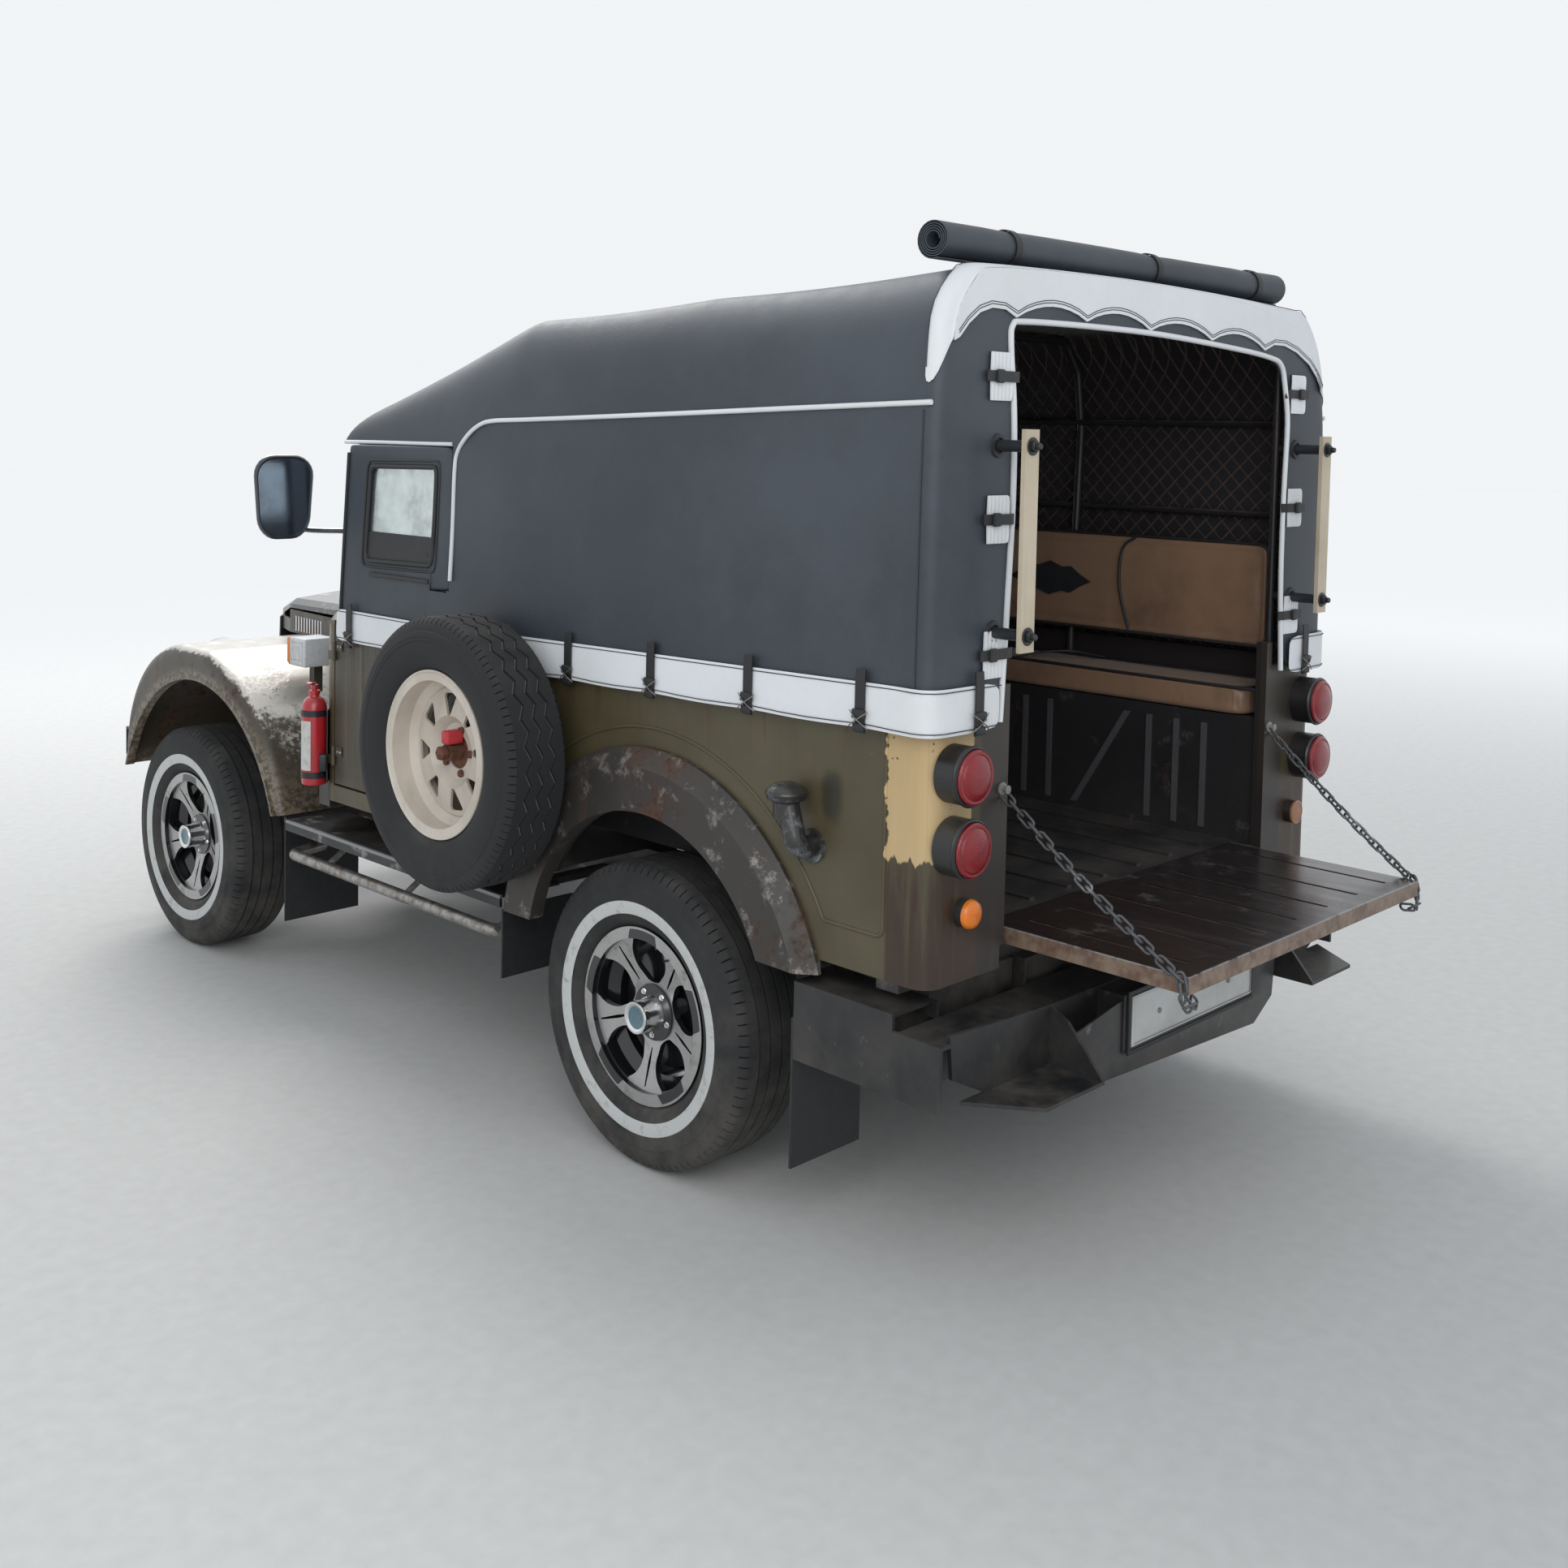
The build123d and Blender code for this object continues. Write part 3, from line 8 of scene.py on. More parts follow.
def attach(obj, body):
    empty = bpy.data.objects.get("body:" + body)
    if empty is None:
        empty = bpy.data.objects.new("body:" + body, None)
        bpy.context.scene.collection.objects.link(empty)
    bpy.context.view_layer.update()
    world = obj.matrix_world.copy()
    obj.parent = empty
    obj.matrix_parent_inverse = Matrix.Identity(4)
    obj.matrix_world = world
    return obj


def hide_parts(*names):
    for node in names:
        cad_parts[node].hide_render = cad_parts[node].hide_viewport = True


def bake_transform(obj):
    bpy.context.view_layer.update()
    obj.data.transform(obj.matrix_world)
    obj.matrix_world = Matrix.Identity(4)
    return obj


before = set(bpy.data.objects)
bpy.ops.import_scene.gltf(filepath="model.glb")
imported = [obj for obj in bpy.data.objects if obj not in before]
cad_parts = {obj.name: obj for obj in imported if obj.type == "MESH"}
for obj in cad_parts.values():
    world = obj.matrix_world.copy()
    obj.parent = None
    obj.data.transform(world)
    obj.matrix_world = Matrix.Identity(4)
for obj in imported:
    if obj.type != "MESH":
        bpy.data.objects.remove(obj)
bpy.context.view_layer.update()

# View
# The photograph looks forward and a little down over the left rear corner, from about 1.75 m up,
# and its lower half is the ground, so the picture is shifted down.
looking = Vector((-0.7138, -0.6983, -0.0541)).normalized()
level = looking.cross(Vector((0, 0, 1))).normalized()
upright = level.cross(looking)
roll = math.radians(1.14)
across = level * math.cos(roll) + upright * math.sin(roll)
upward = upright * math.cos(roll) - level * math.sin(roll)
bpy.ops.object.select_all(action="DESELECT")
bpy.ops.object.camera_add()
camera = bpy.context.object
camera.name = "camera"
aimed = Matrix((across, upward, -looking)).transposed().to_4x4()
camera.matrix_world = Matrix.Translation((3.332, 3.7175, 1.747)) @ aimed
camera.data.sensor_width = 36
camera.data.lens = 37.98
camera.data.shift_y = -0.168
camera.data.clip_end = 200
scene = bpy.context.scene
scene.camera = camera
scene.view_settings.view_transform = "Standard"


# Ground and light
# Pale matt ground under an even bright sky, with one large soft lamp high over the front left,
# as the sun stands in the photograph.
def shade(kind, inputs, out=0, tree=None, **settings):
    """Adds a shader node to the tree its links come from; gives back one output, or all for None."""
    linked = {name: value for name, value in inputs.items() if isinstance(value, bpy.types.NodeSocket)}
    tree = tree or next(iter(linked.values())).id_data
    added = tree.nodes.new("ShaderNode" + kind)
    for name, value in settings.items():
        setattr(added, name, value)
    for name, value in inputs.items():
        if name in linked:
            tree.links.new(value, added.inputs[name])
        else:
            added.inputs[name].default_value = value
    return added.outputs if out is None else added.outputs[out]


def maths(operation, a, b=0.0):
    return shade("Math", {0: a, 1: b}, operation=operation)


def times(a, b):
    return maths("MULTIPLY", a, b)


def plus(a, b):
    return maths("ADD", a, b)


def minus(a, b):
    return maths("SUBTRACT", a, b)


def larger(a, b):
    return maths("MAXIMUM", a, b)


def rest_of(mask):
    return minus(1.0, mask)


def size_of(value):
    return maths("ABSOLUTE", value)


def axis_of(place, axis):
    return shade("SeparateXYZ", {"Vector": place}, axis)


def facing_of(place):
    """The way the surface faces, from the node that gives the place."""
    return place.node.outputs["Normal"]


def ease(value, low, high):
    """0 below low, 1 above high, smooth between."""
    given = {"Value": value, "From Min": low, "From Max": high}
    return shade("MapRange", given, interpolation_type="SMOOTHSTEP")


def ranged(value, low, high):
    """A value from 0 to 1, spread from low to high."""
    return shade("MapRange", {"Value": value, "To Min": low, "To Max": high})


def noise(place, scale, detail, roughness=0.5):
    given = {"Vector": place, "Scale": scale, "Detail": detail, "Roughness": roughness}
    return shade("TexNoise", given, "Fac")


def stretched_by(place, scale):
    return shade("Mapping", {"Vector": place, "Scale": scale})


def tinted(mask, base, top, **settings):
    """Base where the mask is 0 and top where it is 1; each is a colour or a link."""
    base, top = [(*tone, 1) if isinstance(tone, tuple) else tone for tone in (base, top)]
    return shade("Mix", {0: mask, 6: base, 7: top}, 2, data_type="RGBA", **settings)


def feed(node, **values):
    """Links values to inputs of a node, named with _ for each space."""
    for socket, value in values.items():
        node.id_data.links.new(value, node.inputs[socket.replace("_", " ")])


def relief(shader, height, strength, distance):
    """Fine bumps in what the light sees."""
    given = {"Height": height, "Strength": strength, "Distance": distance}
    feed(shader, Normal=shade("Bump", given, "Normal"))


def new_finish(name, **shader_values):
    """A material with its Principled shader; gives back material, shader and coordinates."""
    made = bpy.data.materials.new(name)
    made.use_nodes = True
    shader = made.node_tree.nodes["Principled BSDF"]
    for socket, value in shader_values.items():
        shader.inputs[socket.replace("_", " ")].default_value = value
    return made, shader, made.node_tree.nodes.new("ShaderNodeTexCoord").outputs["Object"]


bpy.ops.mesh.primitive_plane_add(size=120, location=(0, 0, 0))
ground = bpy.context.object
ground.name = "ground"
ground_finish, shader, place = new_finish("ground", Roughness=0.95)
pale = tinted(noise(place, 24.0, 6.0), (0.60, 0.59, 0.57), (0.72, 0.71, 0.69))
off_centre = shade("VectorMath", {0: place}, "Value", operation="LENGTH")
horizon = tinted(ease(off_centre, 2.5, 13.0), (0, 0, 0), (0.93, 0.95, 0.97))
feed(shader, Base_Color=pale, Emission_Color=horizon)
shader.inputs["Emission Strength"].default_value = 0.52
ground.data.materials.append(ground_finish)

sky = bpy.data.worlds.new("sky")
scene.world = sky
sky.use_nodes = True
tree = sky.node_tree
tree.nodes.clear()
seen = tree.nodes.new("ShaderNodeLightPath")
direct = larger(seen.outputs["Is Camera Ray"], seen.outputs["Is Transmission Ray"])
mirrored = larger(direct, seen.outputs["Is Glossy Ray"])
lit = shade("Background", {"Color": (0.86, 0.93, 1.0, 1), "Strength": 0.62}, tree=tree)
shown = shade("Background", {"Color": (0.93, 0.95, 0.97, 1), "Strength": 0.95}, tree=tree)
both = shade("MixShader", {0: mirrored, 1: lit, 2: shown})
world_out = tree.nodes.new("ShaderNodeOutputWorld")
feed(world_out, Surface=both)


def soft_lamp(name, location, target, size, power):
    """A round area lamp that looks at its target."""
    bpy.ops.object.light_add(type="AREA", location=location)
    lamp = bpy.context.object
    lamp.name = name
    lamp.data.shape = "DISK"
    lamp.data.size = size
    lamp.data.energy = power
    lamp.rotation_euler = (Vector(target) - Vector(location)).to_track_quat("-Z", "Y").to_euler()


soft_lamp("sun_side", (-1.5, -6.0, 7.0), (0, 0, 0.8), 5.0, 420)
soft_lamp("rear_fill", (5.0, 5.0, 4.0), (0, 0.5, 0.9), 5.0, 150)


# Frame, axles, springs, driveline, exhaust and tank
# Black-painted pressed steel and oily castings, riveted and bolted up, all dulled by road dust
# that lies on what faces up and thickens towards the ground.
def node_group(name, inputs, outputs):
    """An empty shader group with its sockets; inputs are (name, kind, value)."""
    made = bpy.data.node_groups.new(name, "ShaderNodeTree")
    for socket, kind, value in inputs:
        added = made.interface.new_socket(socket, in_out="INPUT", socket_type="NodeSocket" + kind)
        if value is not None:
            added.default_value = value
    for socket, kind in outputs:
        made.interface.new_socket(socket, in_out="OUTPUT", socket_type="NodeSocket" + kind)
    entry = made.nodes.new("NodeGroupInput")
    leave = made.nodes.new("NodeGroupOutput")
    return made, entry.outputs, leave


def place_group(group, inputs):
    """A shader group in use; gives back all its outputs by name."""
    return shade("Group", inputs, None, node_tree=group)


# Old paint: tone, rust that breaks through it in patches and runs, and rubbed bare places
old_paint, given, result = node_group("old_paint", [
    ("Coordinates", "Vector", None), ("Paint", "Color", (0.1, 0.1, 0.1, 1)),
    ("Rust", "Color", (0.1, 0.04, 0.02, 1)), ("Bare", "Color", (0.4, 0.4, 0.4, 1)),
    ("Wear", "Float", 0.3), ("Runs", "Float", 0.3), ("Rubbed", "Float", 0.2)],
    [("Colour", "Color"), ("Roughness", "Float"), ("Metal", "Float"), ("Height", "Float")])
broad = noise(given["Coordinates"], 2.6, 6.0, 0.62)
fine = noise(given["Coordinates"], 38.0, 8.0, 0.7)
upright_run = stretched_by(given["Coordinates"], (22.0, 22.0, 1.3))
run = noise(upright_run, 1.0, 5.0, 0.6)
run_mask = times(ease(run, 0.5, 0.72), given["Runs"])
spread = plus(broad, times(fine, 0.45))
spread = plus(spread, times(given["Wear"], 0.5))
rusty = ease(spread, 0.93, 1.06)
rusty = larger(rusty, run_mask)
paint_tone = tinted(times(ease(broad, 0.25, 0.75), 0.8), given["Paint"], (0.58, 0.55, 0.50),
                    blend_type="MULTIPLY")
rust_dark = tinted(ease(fine, 0.35, 0.7), given["Rust"], (0.03, 0.016, 0.012))
colour = tinted(rusty, paint_tone, rust_dark)
scuff = noise(given["Coordinates"], 9.0, 9.0, 0.75)
scuffed = plus(scuff, times(given["Rubbed"], 0.4))
rubbed = ease(scuffed, 0.66, 0.76)
colour = tinted(rubbed, colour, given["Bare"])
feed(result, Colour=colour)
dull = plus(times(rusty, 0.35), times(fine, 0.2))
feed(result, Roughness=plus(dull, 0.32), Metal=times(rubbed, 0.6), Height=minus(times(fine, 0.4), rusty))

# Road dust: pale on what faces up and towards the ground
road_dust, given, result = node_group("road_dust", [
    ("Coordinates", "Vector", None), ("Colour", "Color", (0.1, 0.1, 0.1, 1)),
    ("Dust", "Color", (0.30, 0.26, 0.21, 1)), ("Amount", "Float", 0.4), ("Top", "Float", 1.0)],
    [("Colour", "Color"), ("Mask", "Float")])
facing = road_dust.nodes.new("ShaderNodeNewGeometry").outputs["Normal"]
up = axis_of(facing, "Z")
height = axis_of(given["Coordinates"], "Z")
low_down = rest_of(ease(height, 0.0, given["Top"]))
drift = noise(given["Coordinates"], 7.0, 7.0, 0.68)
lies = plus(times(ease(up, 0.2, 1.0), 0.55), low_down)
lies = times(times(lies, ease(drift, 0.3, 0.75)), given["Amount"])
feed(result, Colour=tinted(lies, given["Colour"], given["Dust"]), Mask=lies)


def paint_layers(place, paint, rust, bare, wear, runs, rubbed):
    """The old paint's colour, roughness, metal and height, with a piece's own amounts."""
    return place_group(old_paint, {"Coordinates": place, "Paint": (*paint, 1), "Rust": (*rust, 1),
                                   "Bare": (*bare, 1), "Wear": wear, "Runs": runs, "Rubbed": rubbed})


def dusted(place, colour, amount, top):
    return place_group(road_dust, {"Coordinates": place, "Colour": colour, "Amount": amount, "Top": top})


def painted(name, paint, rust, bare, wear, runs, rubbed, dust, top=1.0, coat=0.0, bump=0.25):
    """Old paint under dust: the finish of every painted steel piece, each with its own amounts."""
    made, shader, place = new_finish(name, Coat_Weight=coat, Coat_Roughness=0.12)
    layers = paint_layers(place, paint, rust, bare, wear, runs, rubbed)
    dusty = dusted(place, layers["Colour"], dust, top)
    feed(shader, Base_Color=dusty["Colour"])
    rough = plus(layers["Roughness"], times(dusty["Mask"], 0.4))
    feed(shader, Roughness=rough, Metallic=layers["Metal"])
    relief(shader, layers["Height"], bump, 0.002)
    return made


def coat(finish, *nodes):
    """Gives CAD nodes their finish, in the material slots they came with."""
    for node in nodes:
        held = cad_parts[node].data.materials
        if not held:
            held.append(finish)
        for place in range(len(held)):
            held[place] = finish


rust_brown = (0.105, 0.040, 0.018)
steel_grey = (0.33, 0.32, 0.31)
chassis_finish = painted("chassis_black", (0.020, 0.021, 0.023), rust_brown, steel_grey, 0.25, 0.1, 0.0,
                         0.9, 0.9)
casting_finish = painted("oily_casting", (0.045, 0.042, 0.040), (0.07, 0.035, 0.02), steel_grey, 0.4, 0.2,
                         0.1, 0.8, 0.9)
pipe_finish = painted("burnt_pipe", (0.07, 0.045, 0.032), (0.16, 0.07, 0.03), steel_grey, 0.7, 0.2, 0.0,
                      0.5, 0.8)
coat(chassis_finish, "chassis_frame", "front_axle", "rear_axle", "tie_rod", "fuel_tank")
coat(casting_finish, "driveline", "knuckle_left", "knuckle_right")
coat(pipe_finish, "exhaust")


# Road wheels
# Wide tubeless tyres with a painted white stripe on their outer walls, on cast alloy wheels whose
# pockets are painted gloss black and whose faces are turned bright, five studs and a chrome cap.
def close_edit():
    if bpy.context.mode != "OBJECT":
        bpy.ops.object.mode_set(mode="OBJECT")


def only(*pieces):
    """Selects these pieces alone, the last one active."""
    close_edit()
    bpy.ops.object.select_all(action="DESELECT")
    for piece in pieces:
        piece.select_set(True)
        bpy.context.view_layer.objects.active = piece


def begin(add, name, **where):
    """Starts a piece from a primitive at its size and place, alone selected."""
    only()
    add(**where)
    piece = bpy.context.object
    piece.name = name
    bpy.ops.object.transform_apply(location=True, rotation=True, scale=True)
    return piece


def block(name, location, scale):
    return begin(bpy.ops.mesh.primitive_cube_add, name, size=1, location=location, scale=scale)


def hexagon(name, radius, depth, location, rotation):
    return begin(bpy.ops.mesh.primitive_cylinder_add, name, vertices=6, radius=radius, depth=depth,
                 location=location, rotation=rotation)


def editing(piece):
    only(piece)
    bpy.ops.object.mode_set(mode="EDIT")
    bpy.ops.mesh.select_mode(type="VERT")
    bpy.ops.mesh.select_all(action="SELECT")


def choose(piece, kind, test):
    """Selects the points, edges or faces of the piece whose middle passes the test."""
    if bpy.context.mode != "EDIT_MESH":
        editing(piece)
    bpy.ops.mesh.select_mode(type=kind)
    bpy.ops.mesh.select_all(action="DESELECT")
    mesh = bmesh.from_edit_mesh(piece.data)
    if kind == "VERT":
        for point in mesh.verts:
            point.select = bool(test(point.co))
    elif kind == "EDGE":
        for edge in mesh.edges:
            edge.select = bool(test((edge.verts[0].co + edge.verts[1].co) / 2))
    else:
        for face in mesh.faces:
            face.select = bool(test(face.calc_center_median()))
    mesh.select_flush_mode()
    bmesh.update_edit_mesh(piece.data)


def move(x=0.0, y=0.0, z=0.0):
    bpy.ops.transform.translate(value=(x, y, z))


def pull(step):
    """Extrudes what is selected by a step."""
    bpy.ops.mesh.extrude_region_move(TRANSFORM_OT_translate={"value": step})


def draw(name, points, closed=False):
    """Draws a chain of edges by pulling one point from place to place."""
    piece = begin(bpy.ops.mesh.primitive_plane_add, name, size=0.01, location=points[0])
    editing(piece)
    bpy.ops.mesh.merge(type="CENTER")
    for here, there in zip(points, points[1:]):
        step = Vector(there) - Vector(here)
        bpy.ops.mesh.extrude_vertices_move(TRANSFORM_OT_translate={"value": step})
    if closed:
        first, last = Vector(points[0]), Vector(points[-1])
        choose(piece, "VERT", lambda at: (at - first).length < 1e-5 or (at - last).length < 1e-5)
        bpy.ops.mesh.edge_face_add()
    return piece


def tidy_mesh(piece, merge=1e-5):
    """Merges doubles and turns every face outwards."""
    editing(piece)
    bpy.ops.mesh.remove_doubles(threshold=merge)
    bpy.ops.mesh.normals_make_consistent(inside=False)
    close_edit()


def turned(name, profile, centre, steps, closed=False, axis=(1, 0, 0)):
    """A profile of (along, radius) turned round the axle line through the centre."""
    along = Vector(axis)
    out = Vector((0, 0, 1)) if abs(along.z) < 0.5 else Vector((1, 0, 0))
    points = [Vector(centre) + along * x + out * radius for x, radius in profile]
    piece = draw(name, points, closed)
    bpy.ops.mesh.select_all(action="SELECT")
    bpy.ops.mesh.spin(steps=steps, angle=math.tau, center=centre, axis=axis)
    close_edit()
    tidy_mesh(piece)
    return piece


def filled(step):
    """Closes the drawn outline with one face and gives it a thickness."""
    bpy.ops.mesh.select_all(action="SELECT")
    bpy.ops.mesh.edge_face_add()
    pull(step)
    close_edit()


def slab(name, outline, step):
    """A flat outline made into a plate."""
    piece = draw(name, outline, True)
    filled(step)
    tidy_mesh(piece)
    return piece


def modify(piece, kind, **settings):
    """Adds a modifier, sets it and applies it."""
    only(piece)
    added = piece.modifiers.new(kind.lower(), kind)
    for setting, value in settings.items():
        setattr(added, setting, value)
    bpy.ops.object.modifier_apply(modifier=added.name)


def rounded(piece, width, segments):
    modify(piece, "BEVEL", width=width, segments=segments)


def thicken(piece, thickness, offset):
    modify(piece, "SOLIDIFY", thickness=thickness, offset=offset)


def soften(piece, levels):
    modify(piece, "SUBSURF", levels=levels, render_levels=levels)


def smooth(piece, angle=35):
    only(piece)
    bpy.ops.object.shade_smooth_by_angle(angle=math.radians(angle))


def join(first, *others):
    only(*others, first)
    bpy.ops.object.join()
    return first


def repeat(piece, name, by=None, mirrored=False):
    """A copy with its own mesh, moved or mirrored across the car's middle."""
    close_edit()
    copied = piece.copy()
    copied.data = piece.data.copy()
    copied.name = name
    bpy.context.scene.collection.objects.link(copied)
    if by is not None:
        copied.data.transform(by)
    if mirrored:
        copied.data.transform(Matrix.Scale(-1, 4, (1, 0, 0)))
        copied.data.flip_normals()
    return copied


def dress(piece, *finishes):
    """Gives a piece its materials, in this order."""
    piece.data.materials.clear()
    for finish in finishes:
        piece.data.materials.append(finish)


def fit(piece, finish, body, slot=None, stands_for=()):
    """Gives a finished piece its material and the body it moves with; slot is not used."""
    close_edit()
    if finish is not None:
        dress(piece, finish)
    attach(piece, body)
    if stands_for:
        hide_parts(*stands_for)


def fit_pair(piece, finish, body, slot=None, stands_for=()):
    """Fits a left piece, and its mirrored copy on the right."""
    fit(repeat(piece, piece.name.replace("left", "right"), None, True), finish, body, slot)
    fit(piece, finish, body, slot, stands_for)


tyre_rubber, shader, place = new_finish("tyre_rubber", Roughness=0.82)
dusty = place_group(road_dust, {"Coordinates": place, "Colour": (0.017, 0.018, 0.020, 1),
                                "Dust": (0.16, 0.145, 0.125, 1), "Amount": 0.55, "Top": 0.9})
feed(shader, Base_Color=dusty["Colour"])
pores = noise(place, 240.0, 4.0)
relief(shader, pores, 0.25, 0.001)


def mottled(name, base, top, pattern, between=None, rough=None, **shader_values):
    """A finish of two tones in a noise pattern of (scale, detail, roughness); between sharpens its
    patches, and rough is the range of its shine."""
    made, shader, place = new_finish(name, **shader_values)
    patches = noise(place, *pattern)
    shape = ease(patches, *between) if between else patches
    feed(shader, Base_Color=tinted(shape, base, top))
    if rough:
        feed(shader, Roughness=ranged(patches, *rough))
    return made


stripe_paint = mottled("stripe_paint", (0.60, 0.61, 0.60), (0.34, 0.34, 0.33), (30.0, 8.0, 0.7),
                       (0.52, 0.75), Roughness=0.55)
groove_dust = mottled("groove_dust", (0.10, 0.11, 0.12), (0.26, 0.27, 0.28), (60.0, 6.0), Roughness=0.95)


def slits(name, count, centre, radius, reach, side_x, width, depth):
    """A ring of thin blades that cut the short slots across a tread's shoulder."""
    blade = block(name, (centre[0] + side_x, centre[1], centre[2] + radius), (reach, width, depth))
    editing(blade)
    bpy.ops.mesh.bevel(offset=width * 0.2, segments=1)
    bpy.ops.mesh.select_all(action="SELECT")
    bpy.ops.mesh.spin(steps=count, angle=math.tau, center=centre, axis=(1, 0, 0), dupli=True)
    close_edit()
    tidy_mesh(blade)
    return blade


def cut(piece, cutter, finish):
    """Takes the cutter's shape out of the piece; the cut faces get their own finish."""
    dress(cutter, finish)
    modify(piece, "BOOLEAN", operation="DIFFERENCE", solver="MANIFOLD", object=cutter,
           material_mode="TRANSFER")
    bpy.data.objects.remove(cutter)


axle_z = 0.362
rear_axle_y = 0.8125
front_axle_y = -1.4875
wheel_x = 0.72
hub = (wheel_x, rear_axle_y, axle_z)
tread = [(-0.083, 0.3595), (-0.056, 0.3610)]
for groove in (-0.052, -0.018, 0.018, 0.052):
    tread += [(groove - 0.0036, 0.3612), (groove - 0.0024, 0.3530), (groove + 0.0024, 0.3530),
              (groove + 0.0036, 0.3612)]
tread += [(0.056, 0.3610), (0.083, 0.3595)]
wall = [(0.081, 0.193), (0.0825, 0.212), (0.093, 0.2185), (0.1015, 0.229), (0.1062, 0.2425),
        (0.1078, 0.2433), (0.1122, 0.2585), (0.1126, 0.2735), (0.1116, 0.2742), (0.1118, 0.288),
        (0.1092, 0.306), (0.1078, 0.3075), (0.1060, 0.3165), (0.1046, 0.3250), (0.1012, 0.3400),
        (0.0935, 0.3530)]
profile = [(-x, radius) for x, radius in wall] + tread + wall[::-1]
road_tyre = turned("tyre_rear_left_tread", profile, hub, 120, closed=True)
for side in (-1, 1):
    blades = slits("blades", 92, hub, 0.351, 0.030, side * 0.0965, 0.0032, 0.020)
    cut(road_tyre, blades, groove_dust)
dress(road_tyre, tyre_rubber, groove_dust, stripe_paint)
white_from, white_to = 0.2432, 0.2739
for face in road_tyre.data.polygons:
    off = face.center - Vector(hub)
    radius = math.hypot(off.y, off.z)
    if face.material_index == 0 and off.x > 0.09 and white_from < radius < white_to:
        face.material_index = 2
smooth(road_tyre, 32)

chrome, shader, place = new_finish("chrome", Metallic=1.0, Roughness=0.14)
shader.inputs["Base Color"].default_value = (0.78, 0.78, 0.79, 1)
haze = noise(place, 14.0, 6.0)
feed(shader, Roughness=ranged(haze, 0.08, 0.3))
cap_enamel = mottled("cap_enamel", (0.05, 0.12, 0.16), (0.14, 0.24, 0.28), (90.0, 3.0), Roughness=0.3,
                     Coat_Weight=0.5)
cap = turned("hub_cap_rear_left", [(0.055, 0.0415), (0.060, 0.0400), (0.094, 0.0385), (0.1060, 0.0400),
                                   (0.1110, 0.0375), (0.1115, 0.0335), (0.1090, 0.0285), (0.1080, 0.0270),
                                   (0.1080, 0.0005)], hub, 56)
dress(cap, chrome, cap_enamel)
for face in cap.data.polygons:
    off = face.center - Vector(hub)
    if off.x > 0.1075 and math.hypot(off.y, off.z) < 0.0265:
        face.material_index = 1
smooth(cap, 40)

lug_turn = math.radians(36)
lug_circle = 0.054
stud_at = (hub[0] + 0.048, hub[1] + lug_circle * math.sin(lug_turn),
           hub[2] + lug_circle * math.cos(lug_turn))
stud = hexagon("lug_nuts_rear_left", 0.0082, 0.016, stud_at, (0, math.pi / 2, 0))
choose(stud, "FACE", lambda at: at.x > hub[0] + 0.0555)
bpy.ops.mesh.inset(thickness=0.002)
pull((0.004, 0, 0))
bpy.ops.mesh.select_all(action="SELECT")
bpy.ops.mesh.spin(steps=5, angle=math.tau, center=hub, axis=(1, 0, 0), dupli=True)
tidy_mesh(stud)
dress(stud, chrome)
smooth(stud, 30)

valve_line = [(0.070, 0.0005), (0.070, 0.0042), (0.088, 0.0042), (0.092, 0.0030), (0.098, 0.0030),
              (0.098, 0.0005)]
valve = turned("valve_rear_left", valve_line, (hub[0], hub[1] + 0.09, hub[2] + 0.155), 12)
dress(valve, tyre_rubber)
smooth(valve, 40)

alloy, shader, place = new_finish("alloy", Coat_Weight=0.6, Coat_Roughness=0.06)
facing_x = size_of(axis_of(facing_of(place), "X"))
off_x = size_of(axis_of(place, "X"))
along = axis_of(place, "Y")
near = maths("MINIMUM", size_of(minus(along, rear_axle_y)), size_of(minus(along, front_axle_y)))
rise = minus(axis_of(place, "Z"), axle_z)
reach = shade("CombineXYZ", {"X": near, "Y": rise})
reach = shade("VectorMath", {0: reach}, "Value", operation="LENGTH")
face_mask = times(ease(facing_x, 0.82, 0.90), ease(off_x, 0.748, 0.752))
face_mask = times(face_mask, ease(reach, 0.0665, 0.0675))
lobes = maths("COSINE", times(maths("ARCTAN2", near, rise), 5.0), 0.0)
between = ease(minus(lobes, times(minus(reach, 0.172), 12.0)), 0.03, 0.07)
in_ring = times(ease(reach, 0.166, 0.168), rest_of(ease(reach, 0.2040, 0.2050)))
face_mask = times(face_mask, rest_of(times(between, in_ring)))
turning = noise(place, 130.0, 5.0)
bright = tinted(turning, (0.36, 0.36, 0.36), (0.50, 0.50, 0.49))
grime = noise(place, 18.0, 8.0, 0.7)
bright = tinted(ease(grime, 0.5, 0.8), bright, (0.14, 0.12, 0.10))
feed(shader, Base_Color=tinted(face_mask, (0.012, 0.012, 0.014), bright), Metallic=times(face_mask, 0.75),
     Roughness=ranged(plus(face_mask, times(grime, 0.4)), 0.12, 0.40))
for corner, side, y in (("rear_left", 1, rear_axle_y), ("front_left", 1, front_axle_y),
                        ("rear_right", -1, rear_axle_y), ("front_right", -1, front_axle_y)):
    shift = Matrix.Translation((0, y - rear_axle_y, 0))
    coat(alloy, "rim_" + corner)
    for piece, stem in ((road_tyre, "tread"), (cap, "hub_cap"), (stud, "lug_nuts"), (valve, "valve")):
        name = f"tyre_{corner}_tread" if stem == "tread" else f"{stem}_{corner}"
        placed = piece if corner == "rear_left" else repeat(piece, name, shift, side < 0)
        if stem == "tread":
            fit(placed, None, "wheel_" + corner, "tyre_rubber", ["tyre_" + corner])
        else:
            fit(placed, None, "wheel_" + corner, "chrome" if stem != "valve" else None)


